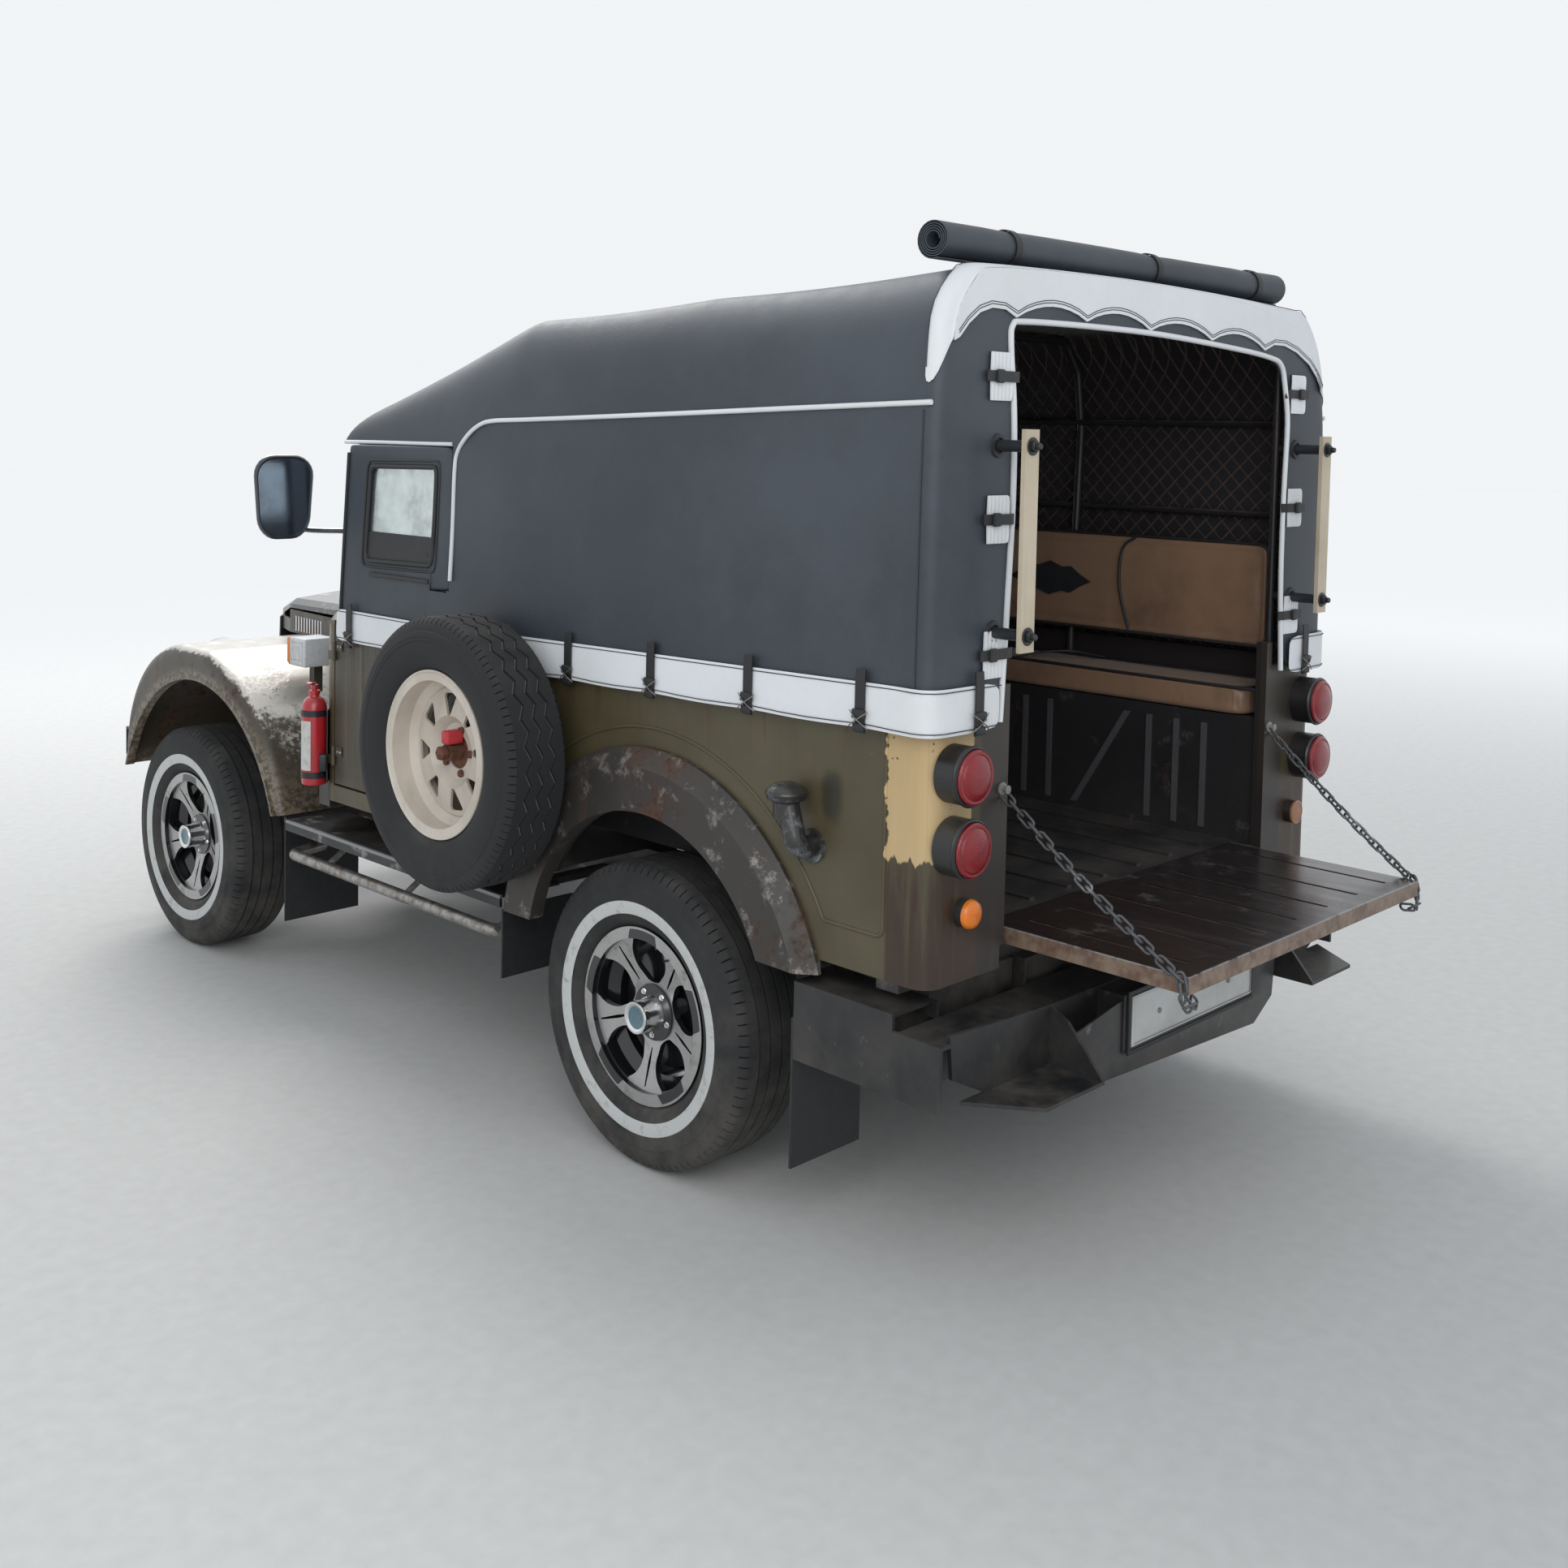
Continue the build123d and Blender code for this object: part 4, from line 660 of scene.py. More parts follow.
# Spare wheel
# A narrower road tyre with zigzag tread on a cream-white pressed steel wheel, bolted to a rusty
# dished carrier on the left side; the paint is chipped and specked with rust.
spare_hub = (0.944, rear_axle_y - 0.565, 0.925)
wall = [(0.0672, 0.193), (0.0684, 0.2125), (0.0770, 0.2185), (0.0868, 0.2330), (0.0922, 0.2500),
        (0.0950, 0.2700), (0.0945, 0.2850), (0.0958, 0.2862), (0.0940, 0.2960), (0.0948, 0.2972),
        (0.0915, 0.3080), (0.0900, 0.3092), (0.0880, 0.3170), (0.0850, 0.3250), (0.0790, 0.3360)]
tread = [(-0.0705, 0.3425)]
zigzags = (-0.036, 0.0, 0.036)
for groove in zigzags:
    tread += [(groove - 0.0042, 0.3444), (groove - 0.0028, 0.3370), (groove + 0.0028, 0.3370),
              (groove + 0.0042, 0.3444)]
tread.append((0.0705, 0.3425))
profile = [(-x, radius) for x, radius in wall] + tread + wall[::-1]
spare_steps = 132
spare_tyre = turned("spare_tyre_tread", profile, spare_hub, spare_steps, closed=True)


def turn_of(at, centre, steps):
    """Which step of the turning a point belongs to."""
    return round(math.atan2(at.y - centre[1], at.z - centre[2]) / math.tau * steps)


def in_zigzag(at):
    off = at - Vector(spare_hub)
    return math.hypot(off.y, off.z) > 0.336 and any(abs(off.x - groove) < 0.005 for groove in zigzags)


for wanted, shift in ((1, 0.0085), (3, -0.0085)):
    choose(spare_tyre, "VERT",
           lambda at: in_zigzag(at) and turn_of(at, spare_hub, spare_steps) % 4 == wanted)
    move(x=shift)
for side in (-1, 1):
    blades = slits("blades", 104, spare_hub, 0.3365, 0.026, side * 0.0815, 0.0028, 0.018)
    cut(spare_tyre, blades, groove_dust)
dress(spare_tyre, tyre_rubber, groove_dust)
for face in spare_tyre.data.polygons:
    off = face.center - Vector(spare_hub)
    if math.hypot(off.y, off.z) < 0.3382 and abs(off.x) < 0.055 and math.hypot(off.y, off.z) > 0.33:
        face.material_index = 1
smooth(spare_tyre, 32)
fit(spare_tyre, None, "vehicle", "tyre_rubber", ["spare_tyre"])

cream_wheel = painted("cream_wheel", (0.70, 0.63, 0.55), (0.10, 0.035, 0.018), (0.20, 0.08, 0.04), 0.08,
                      0.10, 0.05, 0.12, 1.4, coat=0.3, bump=0.12)
carrier_rust = painted("carrier_rust", (0.11, 0.045, 0.030), (0.17, 0.055, 0.025), (0.25, 0.16, 0.12),
                       0.8, 0.3, 0.2, 0.3, 1.2)
coat(cream_wheel, "spare_rim")
coat(carrier_rust, "spare_carrier")
rim_ring = turned("spare_rim_bead", [(0.0735, 0.2045), (0.0760, 0.2065), (0.0768, 0.2090),
                                     (0.0755, 0.2112), (0.0725, 0.2116)], spare_hub, 96)
thicken(rim_ring, 0.0015, 0)
smooth(rim_ring, 50)
fit(rim_ring, cream_wheel, "vehicle", "white_paint")
clamp = hexagon("spare_clamp", 0.019, 0.018, (spare_hub[0] + 0.047, spare_hub[1], spare_hub[2]),
                (0, math.pi / 2, 0))
rounded(clamp, 0.002, 2)
bolts = hexagon("bolts", 0.0105, 0.016, (spare_hub[0] + 0.0005, spare_hub[1] + 0.057, spare_hub[2]),
                (0, math.pi / 2, 0))
editing(bolts)
bpy.ops.mesh.bevel(offset=0.0015, segments=1)
bpy.ops.mesh.select_all(action="SELECT")
bpy.ops.mesh.spin(steps=5, angle=math.tau, center=spare_hub, axis=(1, 0, 0), dupli=True)
tidy_mesh(bolts)
clamp = join(clamp, bolts)
smooth(clamp, 30)
fit(clamp, carrier_rust, "vehicle", "rusty_steel")
red_tag_finish = mottled("red_tag", (0.42, 0.02, 0.03), (0.60, 0.05, 0.06), (70.0, 4.0), Roughness=0.45)
tag = block("red_tag", (spare_hub[0] + 0.024, spare_hub[1] + 0.010, spare_hub[2] + 0.040),
            (0.050, 0.030, 0.034))
rounded(tag, 0.006, 3)
smooth(tag, 40)
fit(tag, red_tag_finish, "vehicle", "red_paint")


# Tub, cowl and rear arches
# Olive-khaki enamel brushed over older coats; rust breaks out along the lower edges and runs down
# under the canopy band, and the left rear corner is patched with cream paint. Pressed steel, spot
# welded; the cream patch, the stain by the filler and the rust are one weathering shader.
patched, given, result = node_group("patched_corner", [
    ("Coordinates", "Vector", None), ("Colour", "Color", (0.1, 0.1, 0.1, 1)), ("Amount", "Float", 1.0)],
    [("Colour", "Color")])
at_x = axis_of(given["Coordinates"], "X")
at_y = axis_of(given["Coordinates"], "Y")
at_z = axis_of(given["Coordinates"], "Z")
ragged = noise(given["Coordinates"], 24.0, 7.0, 0.6)
stretched = stretched_by(given["Coordinates"], (30.0, 30.0, 3.0))
drips = noise(stretched, 1.0, 4.0)


def edge_at(value, place, wobble):
    """1 beyond a place, with a ragged brushed edge."""
    shaken = plus(value, times(minus(wobble, 0.5), 0.05))
    return ease(shaken, place - 0.0015, place + 0.0015)


behind = edge_at(at_y, rear_axle_y + 0.737, ragged)
above = plus(at_z, times(minus(drips, 0.5), 0.10))
above = ease(above, 0.872, 0.878)
outside = edge_at(at_x, 0.670, drips)
chipped = ease(ragged, 0.66, 0.67)
patch_mask = times(times(behind, above), outside)
patch_mask = times(patch_mask, rest_of(chipped))
cream_tone = tinted(drips, (0.62, 0.46, 0.24), (0.48, 0.33, 0.16))
low_rust = rest_of(ease(at_z, 0.82, 0.93))
rear_end = ease(at_y, rear_axle_y + 0.735, rear_axle_y + 0.745)
corner_rust = times(times(low_rust, rear_end), ease(drips, 0.24, 0.46))
under_band = times(ease(at_z, 0.98, 1.13), ease(drips, 0.53, 0.66))
stained = tinted(times(corner_rust, 0.9), given["Colour"], (0.035, 0.016, 0.010))
stained = tinted(times(under_band, 0.55), stained, (0.075, 0.035, 0.016))
from_spill = shade("VectorMath", {0: given["Coordinates"], 1: (0.80, rear_axle_y + 0.585, 0.985)},
                   operation="SUBTRACT")
from_spill = shade("VectorMath", {0: from_spill, 1: (1.0, 1.0, 0.55)}, operation="MULTIPLY")
from_spill = shade("VectorMath", {0: from_spill}, "Value", operation="LENGTH")
spill = rest_of(ease(plus(from_spill, times(ragged, 0.02)), 0.028, 0.052))
stained = tinted(times(spill, 0.75), stained, (0.016, 0.015, 0.012))
feed(result, Colour=tinted(times(patch_mask, given["Amount"]), stained, cream_tone))

olive, shader, place = new_finish("olive_paint")
layers = paint_layers(place, (0.098, 0.082, 0.043), (0.085, 0.035, 0.016), (0.26, 0.24, 0.20), 0.10, 0.10,
                      0.02)
patches = place_group(patched, {"Coordinates": place, "Colour": layers["Colour"]})
# Painted shade: inside the bay, on the faces beside the gate opening and high on the right rear, the
# olive is darkened nearly to black where these places lie in shade.
in_from = size_of(axis_of(place, "X"))
within = rest_of(ease(in_from, 0.788, 0.790))
ahead = rest_of(ease(axis_of(place, "Y"), rear_axle_y + 0.833, rear_axle_y + 0.835))
beside_gate_shade = rest_of(ease(in_from, 0.628, 0.650))
high_up = ease(axis_of(place, "Z"), 0.93, 0.99)
right_rear_shade = times(high_up, ease(times(axis_of(place, "X"), -1.0), 0.5, 0.51))
painted_bay_shade = larger(times(within, ahead), times(larger(beside_gate_shade, right_rear_shade), 0.8))
tone_with_bay_shade = tinted(painted_bay_shade, patches["Colour"], (0.024, 0.020, 0.020))
dusty = dusted(place, tone_with_bay_shade, 0.28, 0.9)
feed(shader, Base_Color=dusty["Colour"], Roughness=layers["Roughness"])
relief(shader, layers["Height"], 0.2, 0.0015)
bay_black = painted("bay_black", (0.026, 0.026, 0.029), (0.040, 0.024, 0.018), (0.12, 0.11, 0.105), 0.20,
                    0.15, 0.20, 0.25, 1.0, coat=0.35)
shader = bay_black.node_tree.nodes["Principled BSDF"]
place = bay_black.node_tree.nodes["Texture Coordinate"].outputs["Object"]
in_from = size_of(axis_of(place, "X"))
# Painted highlight: pale grey lines along the edges of the upright swages on the wheel boxes.
swage_highlight = times(ease(in_from, 0.5400, 0.5450), rest_of(ease(in_from, 0.5548, 0.5556)))
swage_highlight = times(swage_highlight, ease(axis_of(place, "Z"), 0.700, 0.705))
feed(shader, Base_Color=tinted(times(swage_highlight, 0.7), shader.inputs["Base Color"].links[0].from_socket,
                               (0.11, 0.11, 0.12)))
worn_arch = painted("worn_arch", (0.040, 0.036, 0.033), (0.11, 0.045, 0.024), (0.26, 0.23, 0.21), 0.42,
                    0.25, 0.30, 0.25, 0.8)
coat(olive, "tub_side_left", "tub_side_right")
coat(bay_black, "tub_floor")
coat(worn_arch, "rear_fenders")

# Cowl: one pressed sheet whose sides draw in from the doors to the bonnet, with door pillars,
# sills, dash, steering column and the fixed halves of the door and bonnet hinges
plan = [(0.800, -1.406), (0.800, -1.440), (0.668, -1.628), (-0.668, -1.628), (-0.800, -1.440),
        (-0.800, -1.406)]
cowl = slab("cowl_sheet", [(x, rear_axle_y + y, 0.630) for x, y in plan], (0, 0, 0.540))
choose(cowl, "EDGE", lambda at: at.z > 1.165 and at.y < rear_axle_y - 1.41)
bpy.ops.mesh.bevel(offset=0.018, segments=4)
choose(cowl, "EDGE", lambda at: 0.7 < at.z < 1.1 and at.y < rear_axle_y - 1.43)
bpy.ops.mesh.bevel(offset=0.030, segments=4)
choose(cowl, "FACE", lambda at: at.z < 0.635 or at.y > rear_axle_y - 1.407)
bpy.ops.mesh.delete(type="FACE")
thicken(cowl, 0.006, -1)
smooth(cowl, 35)
cowl_plates = [
    # low and high corner of pillar, sill, dash, two door hinge leaves and the bonnet hinge leaf
    ((0.770, -1.412, 0.632), (0.799, -1.406, 1.168)), ((0.776, -1.408, 0.630), (0.800, -0.919, 0.680)),
    ((-0.792, -1.440, 0.980), (0.792, -1.432, 1.166)), ((0.800, -1.438, 0.740), (0.804, -1.398, 0.768)),
    ((0.800, -1.438, 1.050), (0.804, -1.398, 1.078)), ((0.121, -1.632, 1.1685), (0.180, -1.598, 1.174)),
]
fixed = []
for low, high in cowl_plates:
    size = [b - a for a, b in zip(low, high)]
    x, y, z = [(a + b) / 2 for a, b in zip(low, high)]
    plate = block("plate", (x, rear_axle_y + y, z), size)
    rounded(plate, 0.0015, 2)
    fixed.append(plate)
for foot in (0.740, 1.050):
    eye_line = [(foot, 0.0005), (foot, 0.006), (foot + 0.028, 0.006), (foot + 0.028, 0.0005)]
    fixed.append(turned("eye", eye_line, (0.806, rear_axle_y - 1.398, 0), 16, axis=(0, 0, 1)))
fixed.append(turned("eye", [(0.121, 0.0005), (0.121, 0.005), (0.180, 0.005), (0.180, 0.0005)],
                    (0, rear_axle_y - 1.632, 1.176), 16))
dash = fixed.pop(2)
fittings = join(*fixed)
fittings.name = "cowl_fittings_left"
smooth(fittings, 35)
column = turned("steering_column", [(0, 0.0005), (0, 0.018), (0.525, 0.018), (0.525, 0.0005)],
                (0.340, rear_axle_y - 1.624, 0.800), 24, axis=(0, 0.7822, 0.6231))
column = join(dash, column)
column.name = "dash_and_column"
smooth(column, 35)
fit_pair(fittings, olive, "vehicle", "army_paint")
fit(column, olive, "vehicle", "army_paint")
fit(cowl, olive, "vehicle", "army_paint", ["cowl"])

# Filler: a black mushroom cap with a worn top, on a bent neck
filler_black = painted("filler_black", (0.016, 0.016, 0.018), (0.03, 0.02, 0.018), (0.22, 0.24, 0.26),
                       0.1, 0.0, 0.25, 0.35, 1.2, coat=0.4)
coat(filler_black, "fuel_filler")
filler_at = (0.848, rear_axle_y + 0.498, 0.985)
knurl = turned("filler_grip", [(-0.019, 0.0295), (-0.013, 0.0405), (-0.006, 0.0435), (0.000, 0.0455),
                               (0.004, 0.0440), (0.004, 0.0420)], filler_at, 40, axis=(0, 0, 1))


def in_flute(at):
    turn = math.atan2(at.y - filler_at[1], at.x - filler_at[0]) / math.tau
    return round(turn * 40) % 2 == 0 and at.z < 0.984


choose(knurl, "VERT", in_flute)
bpy.ops.transform.resize(value=(0.97, 0.97, 1), center_override=filler_at)
close_edit()
thicken(knurl, 0.0015, 0)
smooth(knurl, 35)
fit(knurl, filler_black, "vehicle", "black_plastic")


# Front fenders, bonnet, grille and lamps
# Hand-beaten fenders worn to bare metal and rust under a thin wash of paint, their up-facing tops painted
# pale as a sun highlight on the bare metal; dark glossy bonnet with chromed louvre edges; black bumper,
# chromed headlamp rims and moulded marker lamps.
worn_fender, shader, place = new_finish("worn_fender", Coat_Weight=0.15, Coat_Roughness=0.3)
layers = paint_layers(place, (0.078, 0.066, 0.048), (0.105, 0.052, 0.027), (0.24, 0.21, 0.17), 0.30, 0.35,
                      0.05)
# Painted highlight: where the fenders face up, their bare metal is painted pale and metallic, as if lit
# by the sun.
facing = axis_of(facing_of(place), "Z")
speckle = noise(place, 55.0, 9.0, 0.75)
blotch = noise(place, 6.5, 6.0, 0.65)
edge = plus(facing, times(plus(speckle, blotch), 0.75))
bare_top_highlight = ease(edge, 1.34, 1.50)
along = shade("VectorMath", {0: place, 1: (0, front_axle_y + 0.113, 0.367)}, operation="SUBTRACT")
reach = shade("VectorMath", {0: shade("VectorMath", {0: along, 1: (0, 1, 1)}, operation="MULTIPLY")},
              "Value", operation="LENGTH")
hem = rest_of(ease(plus(reach, times(speckle, 0.05)), 0.580, 0.605))
hem = times(hem, ease(speckle, 0.42, 0.62))
fender_colour = tinted(times(hem, 0.7), layers["Colour"], (0.34, 0.27, 0.19))
fender_colour = tinted(bare_top_highlight, fender_colour, (0.60, 0.57, 0.52))
feed(shader, Base_Color=fender_colour, Metallic=times(bare_top_highlight, 0.55),
     Roughness=minus(layers["Roughness"], times(bare_top_highlight, 0.12)))
relief(shader, plus(layers["Height"], times(speckle, 0.3)), 0.3, 0.002)
bonnet_black = painted("bonnet_black", (0.015, 0.016, 0.018), (0.05, 0.03, 0.02), (0.30, 0.31, 0.33),
                       0.05, 0.0, 0.2, 0.25, 1.4, coat=0.8, bump=0.08)
bumper_black = painted("bumper_black", (0.014, 0.016, 0.020), (0.05, 0.03, 0.022), (0.16, 0.16, 0.17),
                       0.10, 0.0, 0.12, 0.35, 0.8, coat=0.1)
coat(worn_fender, "front_fenders")
coat(bonnet_black, "bonnet", "grille")
coat(bumper_black, "front_bumper")

fluted_glass, shader, place = new_finish("fluted_glass", Roughness=0.08, Coat_Weight=1.0)
side = axis_of(place, "X")
flutes = maths("PINGPONG", times(side, 60.0), 1.0)
haze = noise(place, 25.0, 4.0)
feed(shader, Base_Color=tinted(haze, (0.42, 0.46, 0.48), (0.62, 0.64, 0.64)))
relief(shader, flutes, 0.5, 0.002)
coat(fluted_glass, "headlamps")
lamp_y = front_axle_y - 0.345
lamp_rim = turned("headlamp_rim_left", [(0.075, 0.0965), (0.010, 0.0975), (-0.006, 0.0985),
                                        (-0.013, 0.0955), (-0.012, 0.0900), (-0.004, 0.0870),
                                        (0.001, 0.0868)], (0.520, lamp_y, 0.870), 64, axis=(0, 1, 0))
smooth(lamp_rim, 40)
fit_pair(lamp_rim, chrome, "vehicle", "chrome")

# Marker lamps: a ribbed pale box with an orange lens on its front end
pale_box = mottled("marker_box", (0.66, 0.68, 0.68), (0.36, 0.35, 0.33), (22.0, 8.0, 0.7), (0.45, 0.8),
                   Roughness=0.4)


def lens_finish(name, colour, deep):
    """Moulded lamp plastic with fine prisms under a glossy face."""
    made, shader, place = new_finish(name, Roughness=0.25, Coat_Weight=0.3, Subsurface_Weight=0.05)
    prisms = shade("TexVoronoi", {"Vector": place, "Scale": 260.0, "Randomness": 0.0}, "Distance")
    cloud = noise(place, 30.0, 3.0)
    feed(shader, Base_Color=tinted(cloud, colour, deep))
    relief(shader, prisms, 0.4, 0.002)
    return made


amber = lens_finish("amber_lens", (0.95, 0.26, 0.015), (0.70, 0.15, 0.01))
marker = block("marker_lamp_left", (0.605, rear_axle_y - 1.875, 1.010), (0.108, 0.096, 0.091))
editing(marker)
bpy.ops.mesh.bevel(offset=0.005, segments=3)
choose(marker, "FACE", lambda at: at.x > 0.6585)
for _ in range(3):
    bpy.ops.mesh.inset(thickness=0.008)
    pull((0.0014, 0, 0))
lens = block("marker_lens_left", (0.605, rear_axle_y - 1.935, 1.010), (0.102, 0.026, 0.085))
editing(lens)
bpy.ops.mesh.bevel(offset=0.007, segments=4)
close_edit()
for piece, finish in ((marker, pale_box), (lens, amber)):
    smooth(piece, 35)
    fit_pair(piece, finish, "vehicle")

# Bonnet louvre edges and the moulding line under the bonnet
louvre = block("louvre_blades_left", (0, 0, 0), (0.003, 0.0045, 0.052))
louvre_rows = [louvre]
for count in range(10):
    y = rear_axle_y - 2.400 + count * 0.022 + 0.0125
    share = (y - (rear_axle_y - 2.440)) / 0.808
    x = 0.370 + (0.440 - 0.370) * share + 0.0006
    louvre_rows.append(repeat(louvre, f"blade_{count}",
                              Matrix.Translation((x, y, 1.035)) @ Matrix.Rotation(0.35, 4, "Z")))
bpy.data.objects.remove(louvre_rows.pop(0))
louvre = join(*louvre_rows)
louvre.name = "louvre_blades_left"
fit_pair(louvre, chrome, "vehicle", "chrome")


# Canopy cover
# Charcoal coated canvas sewn as one sheet: roof, sides and rear return, drawn over three steel bows
# and a front rail, with a soft crease along each roof edge and a slack hollow between the bows.
canvas_grain, given, result = node_group("canvas_grain", [
    ("Coordinates", "Vector", None), ("Colour", "Color", (0.05, 0.06, 0.07, 1)),
    ("Faded", "Color", (0.1, 0.11, 0.12, 1)), ("Fading", "Float", 0.5)],
    [("Colour", "Color"), ("Roughness", "Float"), ("Height", "Float")])
leather_cells = shade("TexVoronoi", {"Vector": given["Coordinates"], "Scale": 420.0}, "Distance")
cloud = noise(given["Coordinates"], 1.7, 6.0, 0.6)
marks = noise(given["Coordinates"], 21.0, 8.0, 0.72)
wash = plus(times(cloud, 0.75), times(marks, 0.25))
fade = times(ease(wash, 0.34, 0.68), given["Fading"])
colour = tinted(fade, given["Colour"], given["Faded"])
feed(result, Colour=colour, Roughness=ranged(marks, 0.42, 0.62),
     Height=plus(leather_cells, times(marks, 0.5)))


def coated(name, colour, faded, fading, bump, dust, sheen=0.0):
    """Coated canvas or vinyl with its grain, faded patches and dust."""
    made, shader, place = new_finish(name, Sheen_Weight=sheen)
    grain = place_group(canvas_grain, {"Coordinates": place, "Colour": (*colour, 1), "Faded": (*faded, 1),
                                       "Fading": fading})
    dusty = dusted(place, grain["Colour"], dust, 1.6)
    feed(shader, Base_Color=dusty["Colour"], Roughness=grain["Roughness"])
    relief(shader, grain["Height"], bump, 0.0012)
    return made


charcoal = coated("charcoal_canvas", (0.030, 0.038, 0.050), (0.062, 0.075, 0.092), 0.8, 0.28, 0.12)
white_vinyl = coated("white_vinyl", (0.80, 0.82, 0.84), (0.66, 0.67, 0.67), 0.5, 0.15, 0.10)
black_web = coated("black_webbing", (0.010, 0.011, 0.014), (0.03, 0.032, 0.036), 0.6, 0.4, 0.1)
thread = mottled("black_thread", (0.02, 0.02, 0.025), (0.07, 0.07, 0.08), (300.0, 2.0), Roughness=0.8)

# Half sections from the left hem over the eave and the roof edge to the crown, at three stations:
# place behind the rear axle, then (x, z) of hem, mid, under eave, eave, shoulder, edge, bow, roof, crown
cover_stations = [
    (-1.440, [(0.813, 1.100), (0.800, 1.400), (0.787, 1.620), (0.776, 1.694), (0.738, 1.742),
              (0.664, 1.772), (0.612, 1.7745), (0.36, 1.784), (0, 1.788)]),
    (-0.570, [(0.813, 1.128), (0.812, 1.400), (0.808, 1.640), (0.804, 1.748), (0.785, 1.903),
              (0.719, 2.021), (0.668, 2.0245), (0.38, 2.034), (0, 2.040)]),
    (0.862, [(0.828, 1.155), (0.826, 1.450), (0.822, 1.740), (0.818, 1.865), (0.803, 1.998),
             (0.735, 2.078), (0.684, 2.090), (0.37, 2.095), (0, 2.096)]),
]
# The right shoulder of the rear hoop hangs rounder than the left one
right_stations = cover_stations[:2] + [(0.862, [(0.828, 1.155), (0.826, 1.450), (0.820, 1.740),
                                                (0.812, 1.850), (0.784, 1.985), (0.707, 2.079),
                                                (0.660, 2.083), (0.37, 2.092), (0, 2.096)])]
# Where the sheet has turned the rear corner and lies in the rear face, left and right
rear_left = [(0.793, 1.155), (0.791, 1.450), (0.789, 1.740), (0.785, 1.870), (0.772, 1.985),
             (0.715, 2.060), (0.665, 2.081), (0.37, 2.092), (0, 2.092)]
rear_right = [(0.783, 1.155), (0.781, 1.450), (0.775, 1.740), (0.762, 1.840), (0.712, 1.945),
              (0.625, 2.016), (0.560, 2.043), (0.34, 2.078), (0, 2.092)]
corner_turn = {0.8445: 0.134, 0.8573: 0.5, 0.862: 1.0}


def section_at(y, table=cover_stations):
    for (low_y, low), (high_y, high) in zip(table, table[1:]):
        if y <= high_y + 1e-6:
            share = (y - low_y) / (high_y - low_y)
            return [(a + (c - a) * share, b + (d - b) * share) for (a, b), (c, d) in zip(low, high)]
    return table[-1][1]


def slack(y):
    """How far the canvas hangs in between two bows, as a share."""
    bows = (-1.44, -0.57, 0.10, 0.81)
    for low, high in zip(bows, bows[1:]):
        if low <= y <= high:
            return math.sin(math.pi * (y - low) / (high - low))
    return 0.0


stations = [-1.404, -1.300, -1.060, -0.830, -0.680, -0.585, -0.555, -0.430, -0.230, -0.020, 0.085, 0.115,
            0.260, 0.450, 0.640, 0.795, 0.827, 0.8445, 0.8573, 0.862]
opening_left = [(0.600, 1.158), (0.586, 1.400), (0.576, 1.620), (0.580, 1.790), (0.596, 1.925),
                (0.592, 1.972), (0.548, 1.981), (0.32, 1.985), (0.03, 1.983)]
opening_right = [(-0.300, 1.968), (-0.470, 1.955), (-0.535, 1.938), (-0.560, 1.885), (-0.580, 1.790),
                 (-0.574, 1.620), (-0.574, 1.400), (-0.590, 1.158)]
middle = Vector((0.0, 1.55))


def half_row(y, inset, table, turned_in):
    """Half a row, from one hem up to the crown; past the corner it draws in to the rear face."""
    hang = slack(y)
    share = corner_turn.get(y, 0.0)
    half = []
    for place, (x, z) in enumerate(section_at(y, table)):
        x += (turned_in[place][0] - x) * share
        z += (turned_in[place][1] - z) * share
        sag_x = 0.007 * hang if place in (1, 2) else 0.0
        sag_z = (0, 0, 0, 0.002, 0.004, 0.007, 0.008, 0.013, 0.016)[place] * hang
        point = Vector((x - sag_x, z - sag_z))
        if place > 0:
            point += (middle - point).normalized() * inset
        else:
            point.x -= inset
        half.append((point.x, rear_axle_y + y, point.y))
    return half


def cover_row(y, inset=0.0):
    """One row of points across the cover, from the left hem over the roof to the right hem."""
    right = half_row(y, inset, right_stations, rear_right)
    return half_row(y, inset, cover_stations, rear_left) + [(-x, y, z) for x, y, z in right[-2::-1]]


def swept_sheet(name, rows):
    """Pulls a drawn row of points out to each next row in turn, so one sheet joins them all."""
    sheet = draw(name, rows[0])
    bpy.ops.mesh.select_all(action="SELECT")
    for before, after in zip(rows, rows[1:]):
        step = Vector(after[0]) - Vector(before[0])
        bpy.ops.mesh.select_mode(type="EDGE")
        pull(step)
        mesh = bmesh.from_edit_mesh(sheet.data)
        moved = [point for point in mesh.verts if point.select]
        for old, new in zip(before, after):
            pulled = Vector(old) + step
            nearest = min(moved, key=lambda point: (point.co - pulled).length)
            moved.remove(nearest)
            nearest.co = new
        bmesh.update_edit_mesh(sheet.data)
    bpy.ops.mesh.select_mode(type="VERT")
    close_edit()
    return sheet


def face_towards(piece, where, direction):
    """Turns an open sheet round if its face nearest to a place looks the other way."""
    nearest = min(piece.data.polygons, key=lambda face: (face.center - Vector(where)).length)
    if nearest.normal.dot(Vector(direction)) < 0:
        piece.data.flip_normals()


